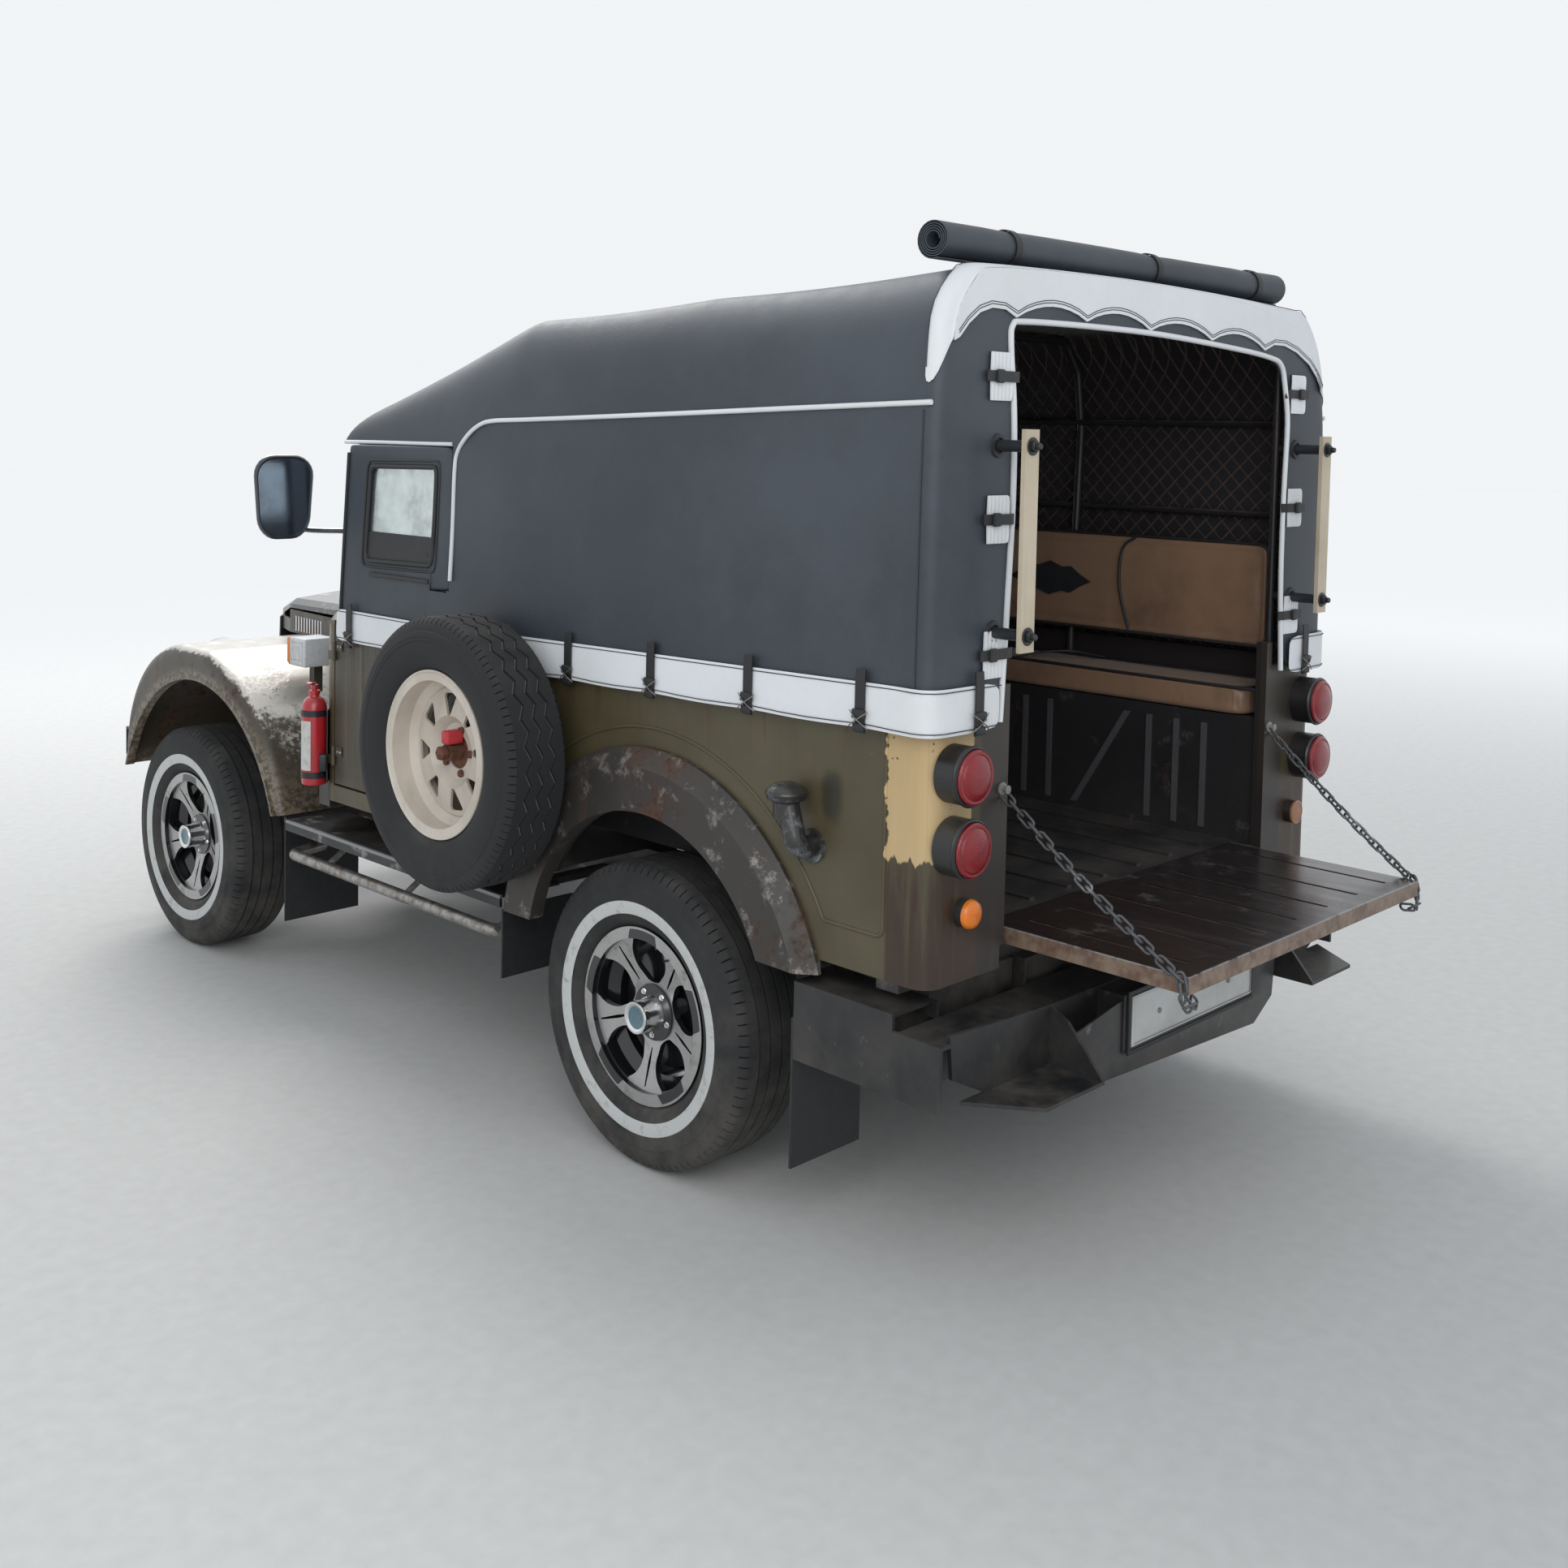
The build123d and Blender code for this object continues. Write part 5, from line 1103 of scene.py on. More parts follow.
rear_plane = rear_axle_y + 0.862
opening_row = [(x, rear_plane, z) for x, z in opening_left + opening_right]
return_row = [tuple((Vector(a) + Vector(b)) / 2 + Vector((0, 0.004, 0)))
              for a, b in zip(cover_row(0.862), opening_row)]
header_z = 1.690
front_rows = []
for back, share in ((0.012, 1.0), (0.004, 0.5)):
    front_rows.append([(x, y + back, z + (header_z - z) * share if z > header_z else z)
                       for x, y, z in cover_row(stations[0])])
cover_rows = front_rows + [cover_row(y) for y in stations] + [return_row, opening_row]
cover = swept_sheet("canopy_cover", cover_rows)
face_towards(cover, (0, rear_axle_y, 2.05), (0, 0, 1))
soften(cover, 2)
door_cut_y, door_cut_z = rear_axle_y - 0.814, 1.690
low_cut_y, low_cut_z = rear_axle_y - 0.915, 1.2955
for plane_point, plane_normal in (((0, door_cut_y, 0), (0, 1, 0)), ((0, low_cut_y, 0), (0, 1, 0)),
                                  ((0, 0, door_cut_z), (0, 0, 1)), ((0, 0, low_cut_z), (0, 0, 1))):
    editing(cover)
    bpy.ops.mesh.bisect(plane_co=plane_point, plane_no=plane_normal)
choose(cover, "FACE",
       lambda at: at.z < door_cut_z and (at.y < low_cut_y or (at.y < door_cut_y and at.z > low_cut_z)))
bpy.ops.mesh.delete(type="FACE")
thicken(cover, 0.004, -1)
smooth(cover, 40)
fit(cover, charcoal, "vehicle", "canvas", ["canopy"])

# Quilted lining inside the roof and walls, black with brown stitched diamonds
lining_finish, shader, place = new_finish("quilted_lining", Roughness=0.6, Sheen_Weight=0.15)
girth = plus(axis_of(place, "Z"), size_of(axis_of(place, "X")))
seams = []
for sign in ("ADD", "SUBTRACT"):
    slanted = maths(sign, axis_of(place, "Y"), girth)
    wave = maths("PINGPONG", times(slanted, 20.0), 0.5)
    seams.append(ease(wave, 0.0, 0.09))
puff = times(seams[0], seams[1])
feed(shader, Base_Color=tinted(puff, (0.115, 0.062, 0.035), (0.014, 0.013, 0.016)))
relief(shader, puff, 0.9, 0.006)
lining = swept_sheet("canopy_lining", [cover_row(y, 0.011) for y in stations if -0.83 < y < 0.83])
face_towards(lining, (0, rear_axle_y, 2.03), (0, 0, -1))
soften(lining, 2)
thicken(lining, 0.002, 1)
smooth(lining, 40)
fit(lining, lining_finish, "vehicle", "canvas")


# Piping and opening edge: white vinyl cord sewn along the sides, over the doors and round the opening
def curved(points, steps):
    """More points along an even curve through the given ones."""
    held = [Vector(p) for p in points]
    held = [held[0] * 2 - held[1], *held, held[-1] * 2 - held[-2]]
    line = []
    for a, b, c, d in zip(held, held[1:], held[2:], held[3:]):
        for step in range(steps):
            t = step / steps
            line.append(((b * 2) + (c - a) * t + (a * 2 - b * 5 + c * 4 - d) * t * t
                         + (b * 3 - a - c * 3 + d) * t ** 3) / 2)
    return line + [held[-2]]


def tube(name, points, radius, sides=2):
    """A drawn line made round."""
    piece = draw(name, [tuple(p) for p in points])
    close_edit()
    bpy.ops.object.convert(target="CURVE")
    piece = bpy.context.object
    piece.data.dimensions = "3D"
    piece.data.bevel_depth = radius
    piece.data.bevel_resolution = sides
    piece.data.use_fill_caps = True
    bpy.ops.object.convert(target="MESH")
    piece = bpy.context.object
    piece.name = name
    smooth(piece, 50)
    return piece


def side_x(y, z):
    """Where the cover's left face stands at a place behind the rear axle and a height."""
    half = section_at(y)
    for (x0, z0), (x1, z1) in zip(half, half[1:]):
        if z <= z1:
            return x0 + (x1 - x0) * (z - z0) / (z1 - z0) - (0.006 * slack(y) if 1.35 < z < 1.7 else 0.0)
    return half[-1][0]


side_line = [(0.845, 1.809), (0.510, 1.797), (0.160, 1.784), (-0.245, 1.770), (-0.500, 1.762),
             (-0.640, 1.757), (-0.700, 1.742), (-0.750, 1.712), (-0.792, 1.672), (-0.801, 1.620),
             (-0.802, 1.474), (-0.802, 1.330)]
side_points = curved([(side_x(y, z) + 0.002, rear_axle_y + y, z) for y, z in side_line], 4)
piping = tube("side_piping_left", side_points, 0.0058)
door_line = [(-1.386, 1.690), (-1.200, 1.692), (-0.960, 1.693), (-0.820, 1.694)]
over_points = curved([(side_x(y, z) + 0.001, rear_axle_y + y, z) for y, z in door_line], 4)
over_door = tube("door_piping_left", over_points, 0.0055)
for piece in (piping, over_door):
    fit_pair(piece, white_vinyl, "vehicle", "canvas")
corner_seam = tube("corner_seam_left", [(side_x(0.824, z) + 0.0008, rear_axle_y + 0.824, z)
                                        for z in (1.245, 1.35, 1.50, 1.65, 1.795)], 0.0016, 1)
fit_pair(corner_seam, thread, "vehicle")
edge_points = curved([(x, y + 0.003, z) for x, y, z in opening_row], 5)
opening_edge = tube("opening_edging", edge_points, 0.0068)
fit(opening_edge, white_vinyl, "vehicle", "canvas")

# Bottom band: a wide white vinyl hem along both sides and round the rear corners, with two rows of
# black stitching; it hangs from strap to strap in shallow waves
strap_places = (-0.275, 0.035, 0.360, 0.690)


def band_line(y):
    top = 1.2275 + 0.0221 * y
    hem = section_at(max(y, -1.44))[0][1]
    wave = abs(math.sin(math.pi * (y + 0.275) / 0.322)) if y > -0.9 else 0.3
    return top, hem - 0.004 - 0.004 * wave, 0.003 * wave


def band_rows(places, lift):
    rows = []
    for y in places:
        top, bottom, flare = band_line(y)
        row = []
        for share in (0.0, 0.35, 0.7, 1.0):
            z = top + (bottom - top) * share
            row.append((side_x(y, z) + lift + flare * share, rear_axle_y + y, z))
        rows.append(row)
    return rows


def returned(row, x, y):
    """The band's row carried round the corner to a place on the rear face."""
    return [(x, rear_axle_y + y, z) for _, _, z in row]


side_places = [-0.912 + 0.0805 * step for step in range(22)]
rows = band_rows(side_places, 0.0035)
last = rows[-1]
rows += [returned(last, x, y) for x, y in ((0.8345, 0.828), (0.8290, 0.8485), (0.8140, 0.8640),
                                           (0.793, 0.8715), (0.700, 0.873), (0.612, 0.873))]
band = swept_sheet("bottom_band_left", rows)
face_towards(band, (0.83, rear_axle_y, 1.18), (1, 0, 0))
thicken(band, 0.0028, 1)
soften(band, 1)
smooth(band, 40)
rows_out = [[(x + (0.0036 if y < rear_axle_y + 0.85 else 0),
              y + (0.0036 if y >= rear_axle_y + 0.85 else 0), z) for x, y, z in row] for row in rows]
for stem, edge, shift in (("upper", 0, -0.008), ("lower", 3, 0.009)):
    seam = [Vector(row[edge]) + Vector((0, 0, shift)) for row in rows_out]
    line = tube(f"band_seam_{stem}_left", seam, 0.0011, 1)
    fit_pair(line, thread, "vehicle")
fit_pair(band, white_vinyl, "vehicle", "canvas")

# Scalloped hood: white vinyl over the rear hoop, its lower edge cut in scallops and double stitched
hood_y = rear_plane + 0.0045
cusps = [(-0.445, 1.970), (-0.190, 1.981), (0.080, 1.989), (0.332, 1.994), (0.584, 1.987)]


def scallops(lift):
    """The scalloped edge from the right tip to the left one, raised by lift."""
    ends = [(0.620, 2.001), (0.665, 2.002), (0.705, 1.990), (0.740, 1.966), (0.768, 1.938)]
    right_ends = [(0.752, 1.880), (0.725, 1.912), (0.680, 1.944), (0.610, 1.972), (0.545, 1.986),
                  (0.490, 1.986)]
    line = [(-x - lift * 0.3, z + lift) for x, z in right_ends]
    for (x0, z0), (x1, z1) in zip(cusps, cusps[1:]):
        for step in range(9):
            share = step / 8
            bow = math.sin(math.pi * share) ** 0.8 * 0.027
            squeeze = 1 - min(lift, 0.03) * 2
            x = (x0 + x1) / 2 + (x1 - x0) * (share - 0.5) * squeeze
            line.append((x, z0 + (z1 - z0) * share + bow + lift))
    return line + [(x + lift * 0.3, z + lift) for x, z in ends]


def spread(points, count):
    """The same line with evenly spaced points."""
    reach = [0.0]
    for a, b in zip(points, points[1:]):
        reach.append(reach[-1] + (b - a).length)
    line = []
    place = 0
    for step in range(count):
        wanted = reach[-1] * step / (count - 1)
        while place < len(points) - 2 and reach[place + 1] < wanted:
            place += 1
        share = (wanted - reach[place]) / (reach[place + 1] - reach[place])
        line.append(points[place].lerp(points[place + 1], share))
    return line


def hood_row(y, left_end, right_end, lift):
    """The hood's line over the hoop at one place, from its left end to its right end."""
    line = curved(cover_row(y, -lift), 6)
    return spread([p for p in line if p.z > (left_end if p.x > 0 else right_end)], 61)


outer_line = hood_row(0.862, 1.925, 1.868, 0.001)
hood_outline = [(x, hood_y, z) for x, z in scallops(0.0)] + [(p.x, hood_y, p.z) for p in outer_line]
hood = draw("rear_hood", hood_outline, True)
bpy.ops.mesh.select_all(action="SELECT")
bpy.ops.mesh.remove_doubles(threshold=0.0005)
filled((0, 0.003, 0))
tidy_mesh(hood)
wrap_ends = ((0.826, 1.838, 1.826), (0.8445, 1.842, 1.830), (0.8573, 1.880, 1.848), (0.862, 1.925, 1.868))
wrap_rows = [hood_row(y, left_end, right_end, 0.0025) for y, left_end, right_end in wrap_ends]
wrap_rows.append([p + Vector((0, 0.0048, 0)) for p in outer_line])
wrap_rows = [[tuple(p) for p in row] for row in wrap_rows]
wrap = swept_sheet("hood_wrap", wrap_rows)
face_towards(wrap, (0, rear_axle_y + 0.84, 2.09), (0, 0, 1))
thicken(wrap, 0.0022, 1)
soften(wrap, 1)
smooth(wrap, 40)
fit(wrap, white_vinyl, "vehicle", "canvas")
front_line = []
for point in wrap_rows[0][1:-1]:
    outwards = (Vector(point) - Vector((0, point[1], 1.55))).normalized()
    front_line.append(Vector(point) + outwards * 0.0030 + Vector((0, 0.004, 0)))
front_seam = tube("hood_seam_front", front_line, 0.0010, 1)
fit(front_seam, thread, "vehicle")
fit(hood, white_vinyl, "vehicle", "canvas")
for count, lift in enumerate((0.008, 0.013)):
    seam = tube(f"hood_seam_{count + 1}", [(x, hood_y + 0.0032, z) for x, z in scallops(lift)], 0.0010, 1)
    fit(seam, thread, "vehicle")

# Straps: black webbing over the band with a moulded slide and a bent wire hook
buckle_wire = mottled("buckle_wire", (0.42, 0.40, 0.37), (0.16, 0.14, 0.12), (60.0, 5.0), Metallic=1.0,
                      Roughness=0.4)
web = block("strap_left_1", (0.003, 0, -0.052), (0.003, 0.026, 0.130))
editing(web)
bpy.ops.mesh.subdivide(number_cuts=3)
choose(web, "VERT", lambda at: abs(at.z + 0.052) < 0.04)
move(x=0.002)
slide = block("slide", (0.0085, 0, -0.078), (0.009, 0.034, 0.020))
rounded(slide, 0.003, 2)
loop = block("loop", (0.0075, 0, -0.106), (0.008, 0.031, 0.017))
rounded(loop, 0.003, 2)
wires = []
for sign in (-1, 1):
    bends = [(0.010, sign * 0.024, -0.072), (0.015, sign * 0.006, -0.085),
             (0.015, -sign * 0.010, -0.095), (0.010, -sign * 0.026, -0.106)]
    wires.append(tube("wire", bends, 0.0013, 1))
for piece in (web, slide, loop):
    dress(piece, black_web)
for piece in wires:
    dress(piece, buckle_wire)
strap = join(web, slide, loop, *wires)
smooth(strap, 35)
strap_spots = []
for y in strap_places:
    top = band_line(y)[0]
    strap_spots.append(Matrix.Translation((side_x(y, top) + 0.0065, rear_axle_y + y, top + 0.012)))
on_rear = Matrix.Translation((0.690, rear_plane + 0.0145, band_line(0.85)[0] + 0.012))
strap_spots.append(on_rear @ Matrix.Rotation(math.pi / 2, 4, "Z"))
for count, spot in enumerate(strap_spots):
    for side in ("left", "right"):
        fit(repeat(strap, f"strap_{side}_{count + 1}x", spot, side == "right"), None, "vehicle", "canvas")
for side in ("left", "right"):
    spot = Matrix.Translation((0.8110, rear_axle_y - 1.302, 1.213))
    fit(repeat(strap, f"door_strap_{side}", spot, side == "right"), None, f"door_{side}", "canvas")
bpy.data.objects.remove(strap)

# Pleated patches: six white tabs beside the opening, each under a black strap that ties the curtain
patch = begin(bpy.ops.mesh.primitive_grid_add, "patch", x_subdivisions=12, y_subdivisions=4, size=0.1,
              rotation=(-math.pi / 2, 0, 0))
editing(patch)
bpy.ops.transform.resize(value=(0.74, 1, 1))
choose(patch, "VERT", lambda at: round(at.x / 0.074 * 12) % 2 == 0)
move(y=0.0060)
choose(patch, "VERT", lambda at: abs(at.z) < 0.020)
move(y=-0.0015)
close_edit()
face_towards(patch, (0, 0, 0), (0, 1, 0))
thicken(patch, 0.0022, -1)
soften(patch, 1)
smooth(patch, 60)
dress(patch, white_vinyl)
tie = block("tie", (-0.006, 0.006, 0), (0.112, 0.003, 0.022))
editing(tie)
bpy.ops.mesh.subdivide(number_cuts=4)
choose(tie, "VERT", lambda at: at.x < -0.04)
move(y=0.007)
choose(tie, "VERT", lambda at: at.x < -0.058)
move(y=-0.012)
keeper = block("keeper", (0.010, 0.009, 0), (0.022, 0.009, 0.028))
rounded(keeper, 0.003, 2)
close_edit()
for piece in (tie, keeper):
    dress(piece, black_web)
patch = join(patch, tie, keeper)
for count, height in enumerate((1.866, 1.576, 1.300)):
    for side, x in (("left", 0.632), ("right", 0.622)):
        spot = Matrix.Translation((x, rear_plane + 0.005, height))
        fit(repeat(patch, f"curtain_tie_{side}_{count + 1}", spot, side == "right"), None, "vehicle",
            "canvas")
bpy.data.objects.remove(patch)

# Rolled curtain: the rear curtain wound up tight on top of the rear hoop, held by three ties
roll_y, roll_z = rear_axle_y + 0.770, 2.1385
spiral = []
for step in range(110):
    turn = step / 109 * 4.8 * math.tau
    radius = 0.0165 + 0.0245 * step / 109
    spiral.append((math.cos(turn) * radius, math.sin(turn) * radius))
roll_rows = []
for x in [0.738 - 0.0732 * step for step in range(20)]:
    squeezed = 1 - 0.06 * sum(math.exp(-((x - tie_x) / 0.03) ** 2) for tie_x in (-0.52, -0.05, 0.50))
    roll_rows.append([(x, roll_y + a * squeezed, roll_z + b * squeezed * (0.98 + 0.02 * math.sin(x * 7)))
                      for a, b in spiral])
roll_piece = swept_sheet("rolled_curtain", roll_rows)
thicken(roll_piece, 0.0024, 0)
tidy_mesh(roll_piece)
smooth(roll_piece, 50)
fit(roll_piece, charcoal, "vehicle", "canvas", ["curtain_roll"])
for count, x in enumerate((-0.52, -0.05, 0.50)):
    ring = turned(f"curtain_tie_{count + 1}", [(-0.010, 0.0385), (-0.010, 0.0412), (0.010, 0.0412),
                                               (0.010, 0.0385)], (x, roll_y, roll_z), 32, closed=True)
    smooth(ring, 40)
    fit(ring, black_web, "vehicle", "canvas")
coat(chassis_finish, "canopy_bows")


# Grab bars, tail lamps and rear reflectors
# Flat beige-painted bars on black tube spacers with through bolts; round black lamp housings with
# red moulded lenses held by a rim; amber lamp low on the left, faded round reflector on the right.
steel_worn = painted("worn_steel", (0.30, 0.30, 0.30), (0.16, 0.10, 0.06), (0.55, 0.55, 0.54), 0.12, 0.0,
                     0.4, 0.3, 0.8, bump=0.2)
bar_finish, shader, place = new_finish("grab_bar_paint")
layers = paint_layers(place, (0.62, 0.53, 0.40), (0.16, 0.08, 0.04), (0.36, 0.30, 0.24), 0.10, 0.15, 0.05)
back_from = axis_of(place, "Y")
on_bar = ease(back_from, rear_axle_y + 0.9385, rear_axle_y + 0.9395)
feed(shader, Base_Color=tinted(on_bar, (0.022, 0.024, 0.028), layers["Colour"]),
     Roughness=layers["Roughness"])
relief(shader, layers["Height"], 0.2, 0.001)
coat(bar_finish, "grab_bars")
bar_bolts = []
for z in (1.345, 1.726):
    bolt = hexagon("bolt", 0.0125, 0.010, (0.630, rear_axle_y + 0.957, z), (math.pi / 2, 0, 0))
    editing(bolt)
    bpy.ops.mesh.bevel(offset=0.0015, segments=1)
    washer = turned("washer", [(0.950, 0.0005), (0.950, 0.0180), (0.952, 0.0185), (0.953, 0.0170),
                               (0.953, 0.0005)], (0.630, rear_axle_y, z), 28, axis=(0, 1, 0))
    end = turned("end", [(0.960, 0.0070), (0.970, 0.0068), (0.972, 0.0055), (0.972, 0.0005)],
                 (0.630, rear_axle_y, z), 20, axis=(0, 1, 0))
    eyelet = turned("eyelet", [(0.866, 0.0150), (0.869, 0.0165), (0.868, 0.0235), (0.864, 0.0245)],
                    (0.630, rear_axle_y, z), 32, axis=(0, 1, 0))
    thicken(eyelet, 0.001, 0)
    smooth(eyelet, 50)
    for side in ("left", "right"):
        fit(repeat(eyelet, f"eyelet_{side}_{round(z * 1000)}", None, side == "right"), black_web,
            "vehicle", "canvas")
    bpy.data.objects.remove(eyelet)
    bar_bolts += [bolt, washer, end]
bar_bolts = join(*bar_bolts)
bar_bolts.name = "grab_bar_bolts_left"
smooth(bar_bolts, 30)
fit_pair(bar_bolts, bumper_black, "vehicle", "bumper_black")

lamp_black = painted("lamp_black", (0.014, 0.014, 0.016), (0.03, 0.02, 0.018), (0.10, 0.10, 0.11), 0.05,
                     0.0, 0.1, 0.3, 1.1, coat=0.2)
coat(lamp_black, "tail_lamps")
ruby = lens_finish("ruby_lens", (0.30, 0.004, 0.012), (0.15, 0.002, 0.006))
faded_orange = lens_finish("faded_reflector", (0.38, 0.14, 0.035), (0.24, 0.10, 0.04))
rear_face = rear_axle_y + 0.850
lens_profile = [(0.058, 0.0560), (0.0610, 0.0555), (0.0640, 0.0525), (0.0640, 0.0470), (0.0625, 0.0465),
                (0.0660, 0.0440), (0.0700, 0.0330), (0.0718, 0.0180), (0.0725, 0.0005)]
rim_profile = [(0.048, 0.0603), (0.0505, 0.0615), (0.0530, 0.0603), (0.0545, 0.0575), (0.0575, 0.0568)]
for side in ("left", "right"):
    for count, z in enumerate((1.067, 0.920)):
        centre = (0.733, rear_face, z)
        lens = turned(f"tail_lens_{side}_{count + 1}", lens_profile, centre, 64, axis=(0, 1, 0))
        rim = turned(f"tail_rim_{side}_{count + 1}", rim_profile, centre, 64, axis=(0, 1, 0))
        thicken(rim, 0.0012, 1)
        for piece, finish in ((lens, ruby), (rim, lamp_black)):
            if side == "right":
                piece.data.transform(Matrix.Scale(-1, 4, (1, 0, 0)))
                piece.data.flip_normals()
            smooth(piece, 35)
            fit(piece, finish, "vehicle")
low_lens = [(0.0200, 0.0305), (0.0245, 0.0300), (0.0310, 0.0270), (0.0350, 0.0180), (0.0362, 0.0005)]
amber_lens = turned("amber_lamp", low_lens, (0.690, rear_face, 0.775), 48, axis=(0, 1, 0))
smooth(amber_lens, 45)
fit(amber_lens, amber, "vehicle")
round_reflector = turned("rear_reflector", [(0.0200, 0.0315), (0.0240, 0.0310), (0.0255, 0.0270),
                                            (0.0240, 0.0250), (0.0248, 0.0120), (0.0250, 0.0005)],
                         (-0.690, rear_face, 0.775), 48, axis=(0, 1, 0))
smooth(round_reflector, 35)
fit(round_reflector, faded_orange, "vehicle")


# Rear bumper, number plate, steps and mud flaps
# Welded black plate with dusty ledges and bright rubbed edges, a blank white number plate in a black
# holder, galvanised step tubes under black boards, plain black rubber flaps.
coat(bumper_black, "rear_bumper")
step_finish, shader, place = new_finish("step_finish")
layers = paint_layers(place, (0.016, 0.018, 0.022), (0.06, 0.035, 0.024), (0.22, 0.22, 0.22), 0.15, 0.0,
                      0.25)
zinc = noise(place, 34.0, 7.0, 0.7)
zinc = tinted(ease(zinc, 0.40, 0.66), (0.42, 0.42, 0.41), (0.20, 0.155, 0.12))
step_z = axis_of(place, "Z")
boards = ease(step_z, 0.4855, 0.4875)
outer_edge = size_of(axis_of(place, "X"))
bright_edge = times(ease(outer_edge, 0.8065, 0.8070), ease(step_z, 0.5225, 0.5240))
board_tone = tinted(times(bright_edge, 0.7), layers["Colour"], (0.36, 0.37, 0.38))
dusty = dusted(place, tinted(boards, zinc, board_tone), 0.30, 0.8)
feed(shader, Base_Color=dusty["Colour"], Roughness=layers["Roughness"],
     Metallic=times(rest_of(boards), 0.7))
coat(step_finish, "side_steps")
black_rubber = mottled("black_rubber", (0.010, 0.011, 0.012), (0.035, 0.036, 0.038), (40.0, 7.0, 0.7),
                       Roughness=0.55)
coat(black_rubber, "mud_flaps")

plate_white = painted("plate_white", (0.74, 0.76, 0.76), (0.30, 0.22, 0.15), (0.45, 0.45, 0.45), 0.0,
                      0.08, 0.05, 0.3, 0.9, bump=0.1)
plate_back = rear_axle_y + 0.984
plate = block("number_plate", (0, plate_back + 0.0045, 0.478), (0.520, 0.003, 0.112))
editing(plate)
bpy.ops.mesh.bevel(offset=0.0008, segments=2)
choose(plate, "FACE", lambda at: at.y > plate_back + 0.0055)
bpy.ops.mesh.inset(thickness=0.006)
pull((0, -0.0008, 0))
close_edit()
smooth(plate, 30)
fit(plate, plate_white, "vehicle", "white_paint")
holder = block("plate_holder", (0, plate_back + 0.003, 0.476), (0.546, 0.006, 0.142))
choose(holder, "FACE", lambda at: at.y > plate_back + 0.0055)
bpy.ops.mesh.inset(thickness=0.010)
pull((0, -0.0035, 0))
rounded(holder, 0.0015, 2)
smooth(holder, 30)
fit(holder, black_rubber, "vehicle", "black_plastic")
screws = []
for x in (-0.150, 0.150):
    screws.append(turned("screw", [(0.0060, 0.0067), (0.0085, 0.0058), (0.0095, 0.0035),
                                   (0.0095, 0.0005)], (x, plate_back, 0.478), 20, axis=(0, 1, 0)))
screws = join(*screws)
screws.name = "plate_screws"
smooth(screws, 40)
fit(screws, steel_worn, "vehicle", "steel_chain")
apron_outline = [(0.457, 0.499), (0.457, 0.372), (-0.300, 0.335), (-0.385, 0.385), (-0.400, 0.530),
                 (-0.284, 0.530), (-0.284, 0.4185), (0.284, 0.4185), (0.284, 0.530)]
apron = slab("bumper_apron", [(x, plate_back - 0.010, z) for x, z in apron_outline], (0, 0.006, 0))
rounded(apron, 0.0015, 2)
smooth(apron, 30)
fit(apron, bumper_black, "vehicle", "bumper_black")


# Tailgate and chains
# Heavy pressed gate painted dark brown-black, glossy where worn smooth, rusty on its edges; two
# galvanised chains run from the corner posts round its outer corners and hook under it.
gate_finish, shader, place = new_finish("tailgate_paint", Coat_Weight=0.55, Coat_Roughness=0.22)
layers = paint_layers(place, (0.019, 0.014, 0.015), (0.075, 0.034, 0.024), (0.12, 0.105, 0.105), 0.16,
                      0.0, 0.22)
up = axis_of(facing_of(place), "Z")
brushed = stretched_by(place, (30.0, 2.4, 30.0))
scratches = noise(brushed, 1.0, 7.0, 0.72)
gate_tone = tinted(times(ease(scratches, 0.5, 0.72), 0.32), layers["Colour"], (0.085, 0.070, 0.068))
worn_edge = noise(place, 30.0, 8.0, 0.7)
edge_tone = tinted(ease(worn_edge, 0.35, 0.65), (0.125, 0.065, 0.040), (0.235, 0.165, 0.115))
side_on = rest_of(ease(size_of(up), 0.3, 0.7))
gate_z = axis_of(place, "Z")
on_rim = times(side_on, rest_of(ease(gate_z, 0.7005, 0.7055)))
gate_end = rear_axle_y + 1.275
gate_x = size_of(axis_of(place, "X"))
gate_y = axis_of(place, "Y")
outer_side = larger(ease(gate_x, 0.516, 0.518), ease(gate_y, gate_end - 0.004, gate_end - 0.002))
bright_lip = times(outer_side, times(ease(gate_z, 0.7005, 0.7045), 0.7))
gate_tone = tinted(times(bright_lip, ease(worn_edge, 0.35, 0.5)), gate_tone, (0.40, 0.37, 0.36))
feed(shader, Base_Color=tinted(on_rim, gate_tone, edge_tone),
     Roughness=ranged(plus(scratches, on_rim), 0.10, 0.62))
relief(shader, minus(layers["Height"], scratches), 0.3, 0.0015)
coat(gate_finish, "tailgate")

chain_steel = painted("chain_steel", (0.085, 0.090, 0.098), (0.05, 0.035, 0.028), (0.24, 0.25, 0.26),
                      0.22, 0.0, 0.30, 0.12, 0.6, bump=0.3)
wire, half_long, half_wide = 0.0030, 0.0125, 0.0085


def link_line(steps):
    """One link's centre line: two straight sides and two round ends."""
    line = []
    for end in (1, -1):
        for step in range(steps + 1):
            turn = math.pi * step / steps - math.pi / 2
            line.append((end * (half_long + half_wide * math.cos(turn)), end * half_wide * math.sin(turn),
                         0.0))
    return line


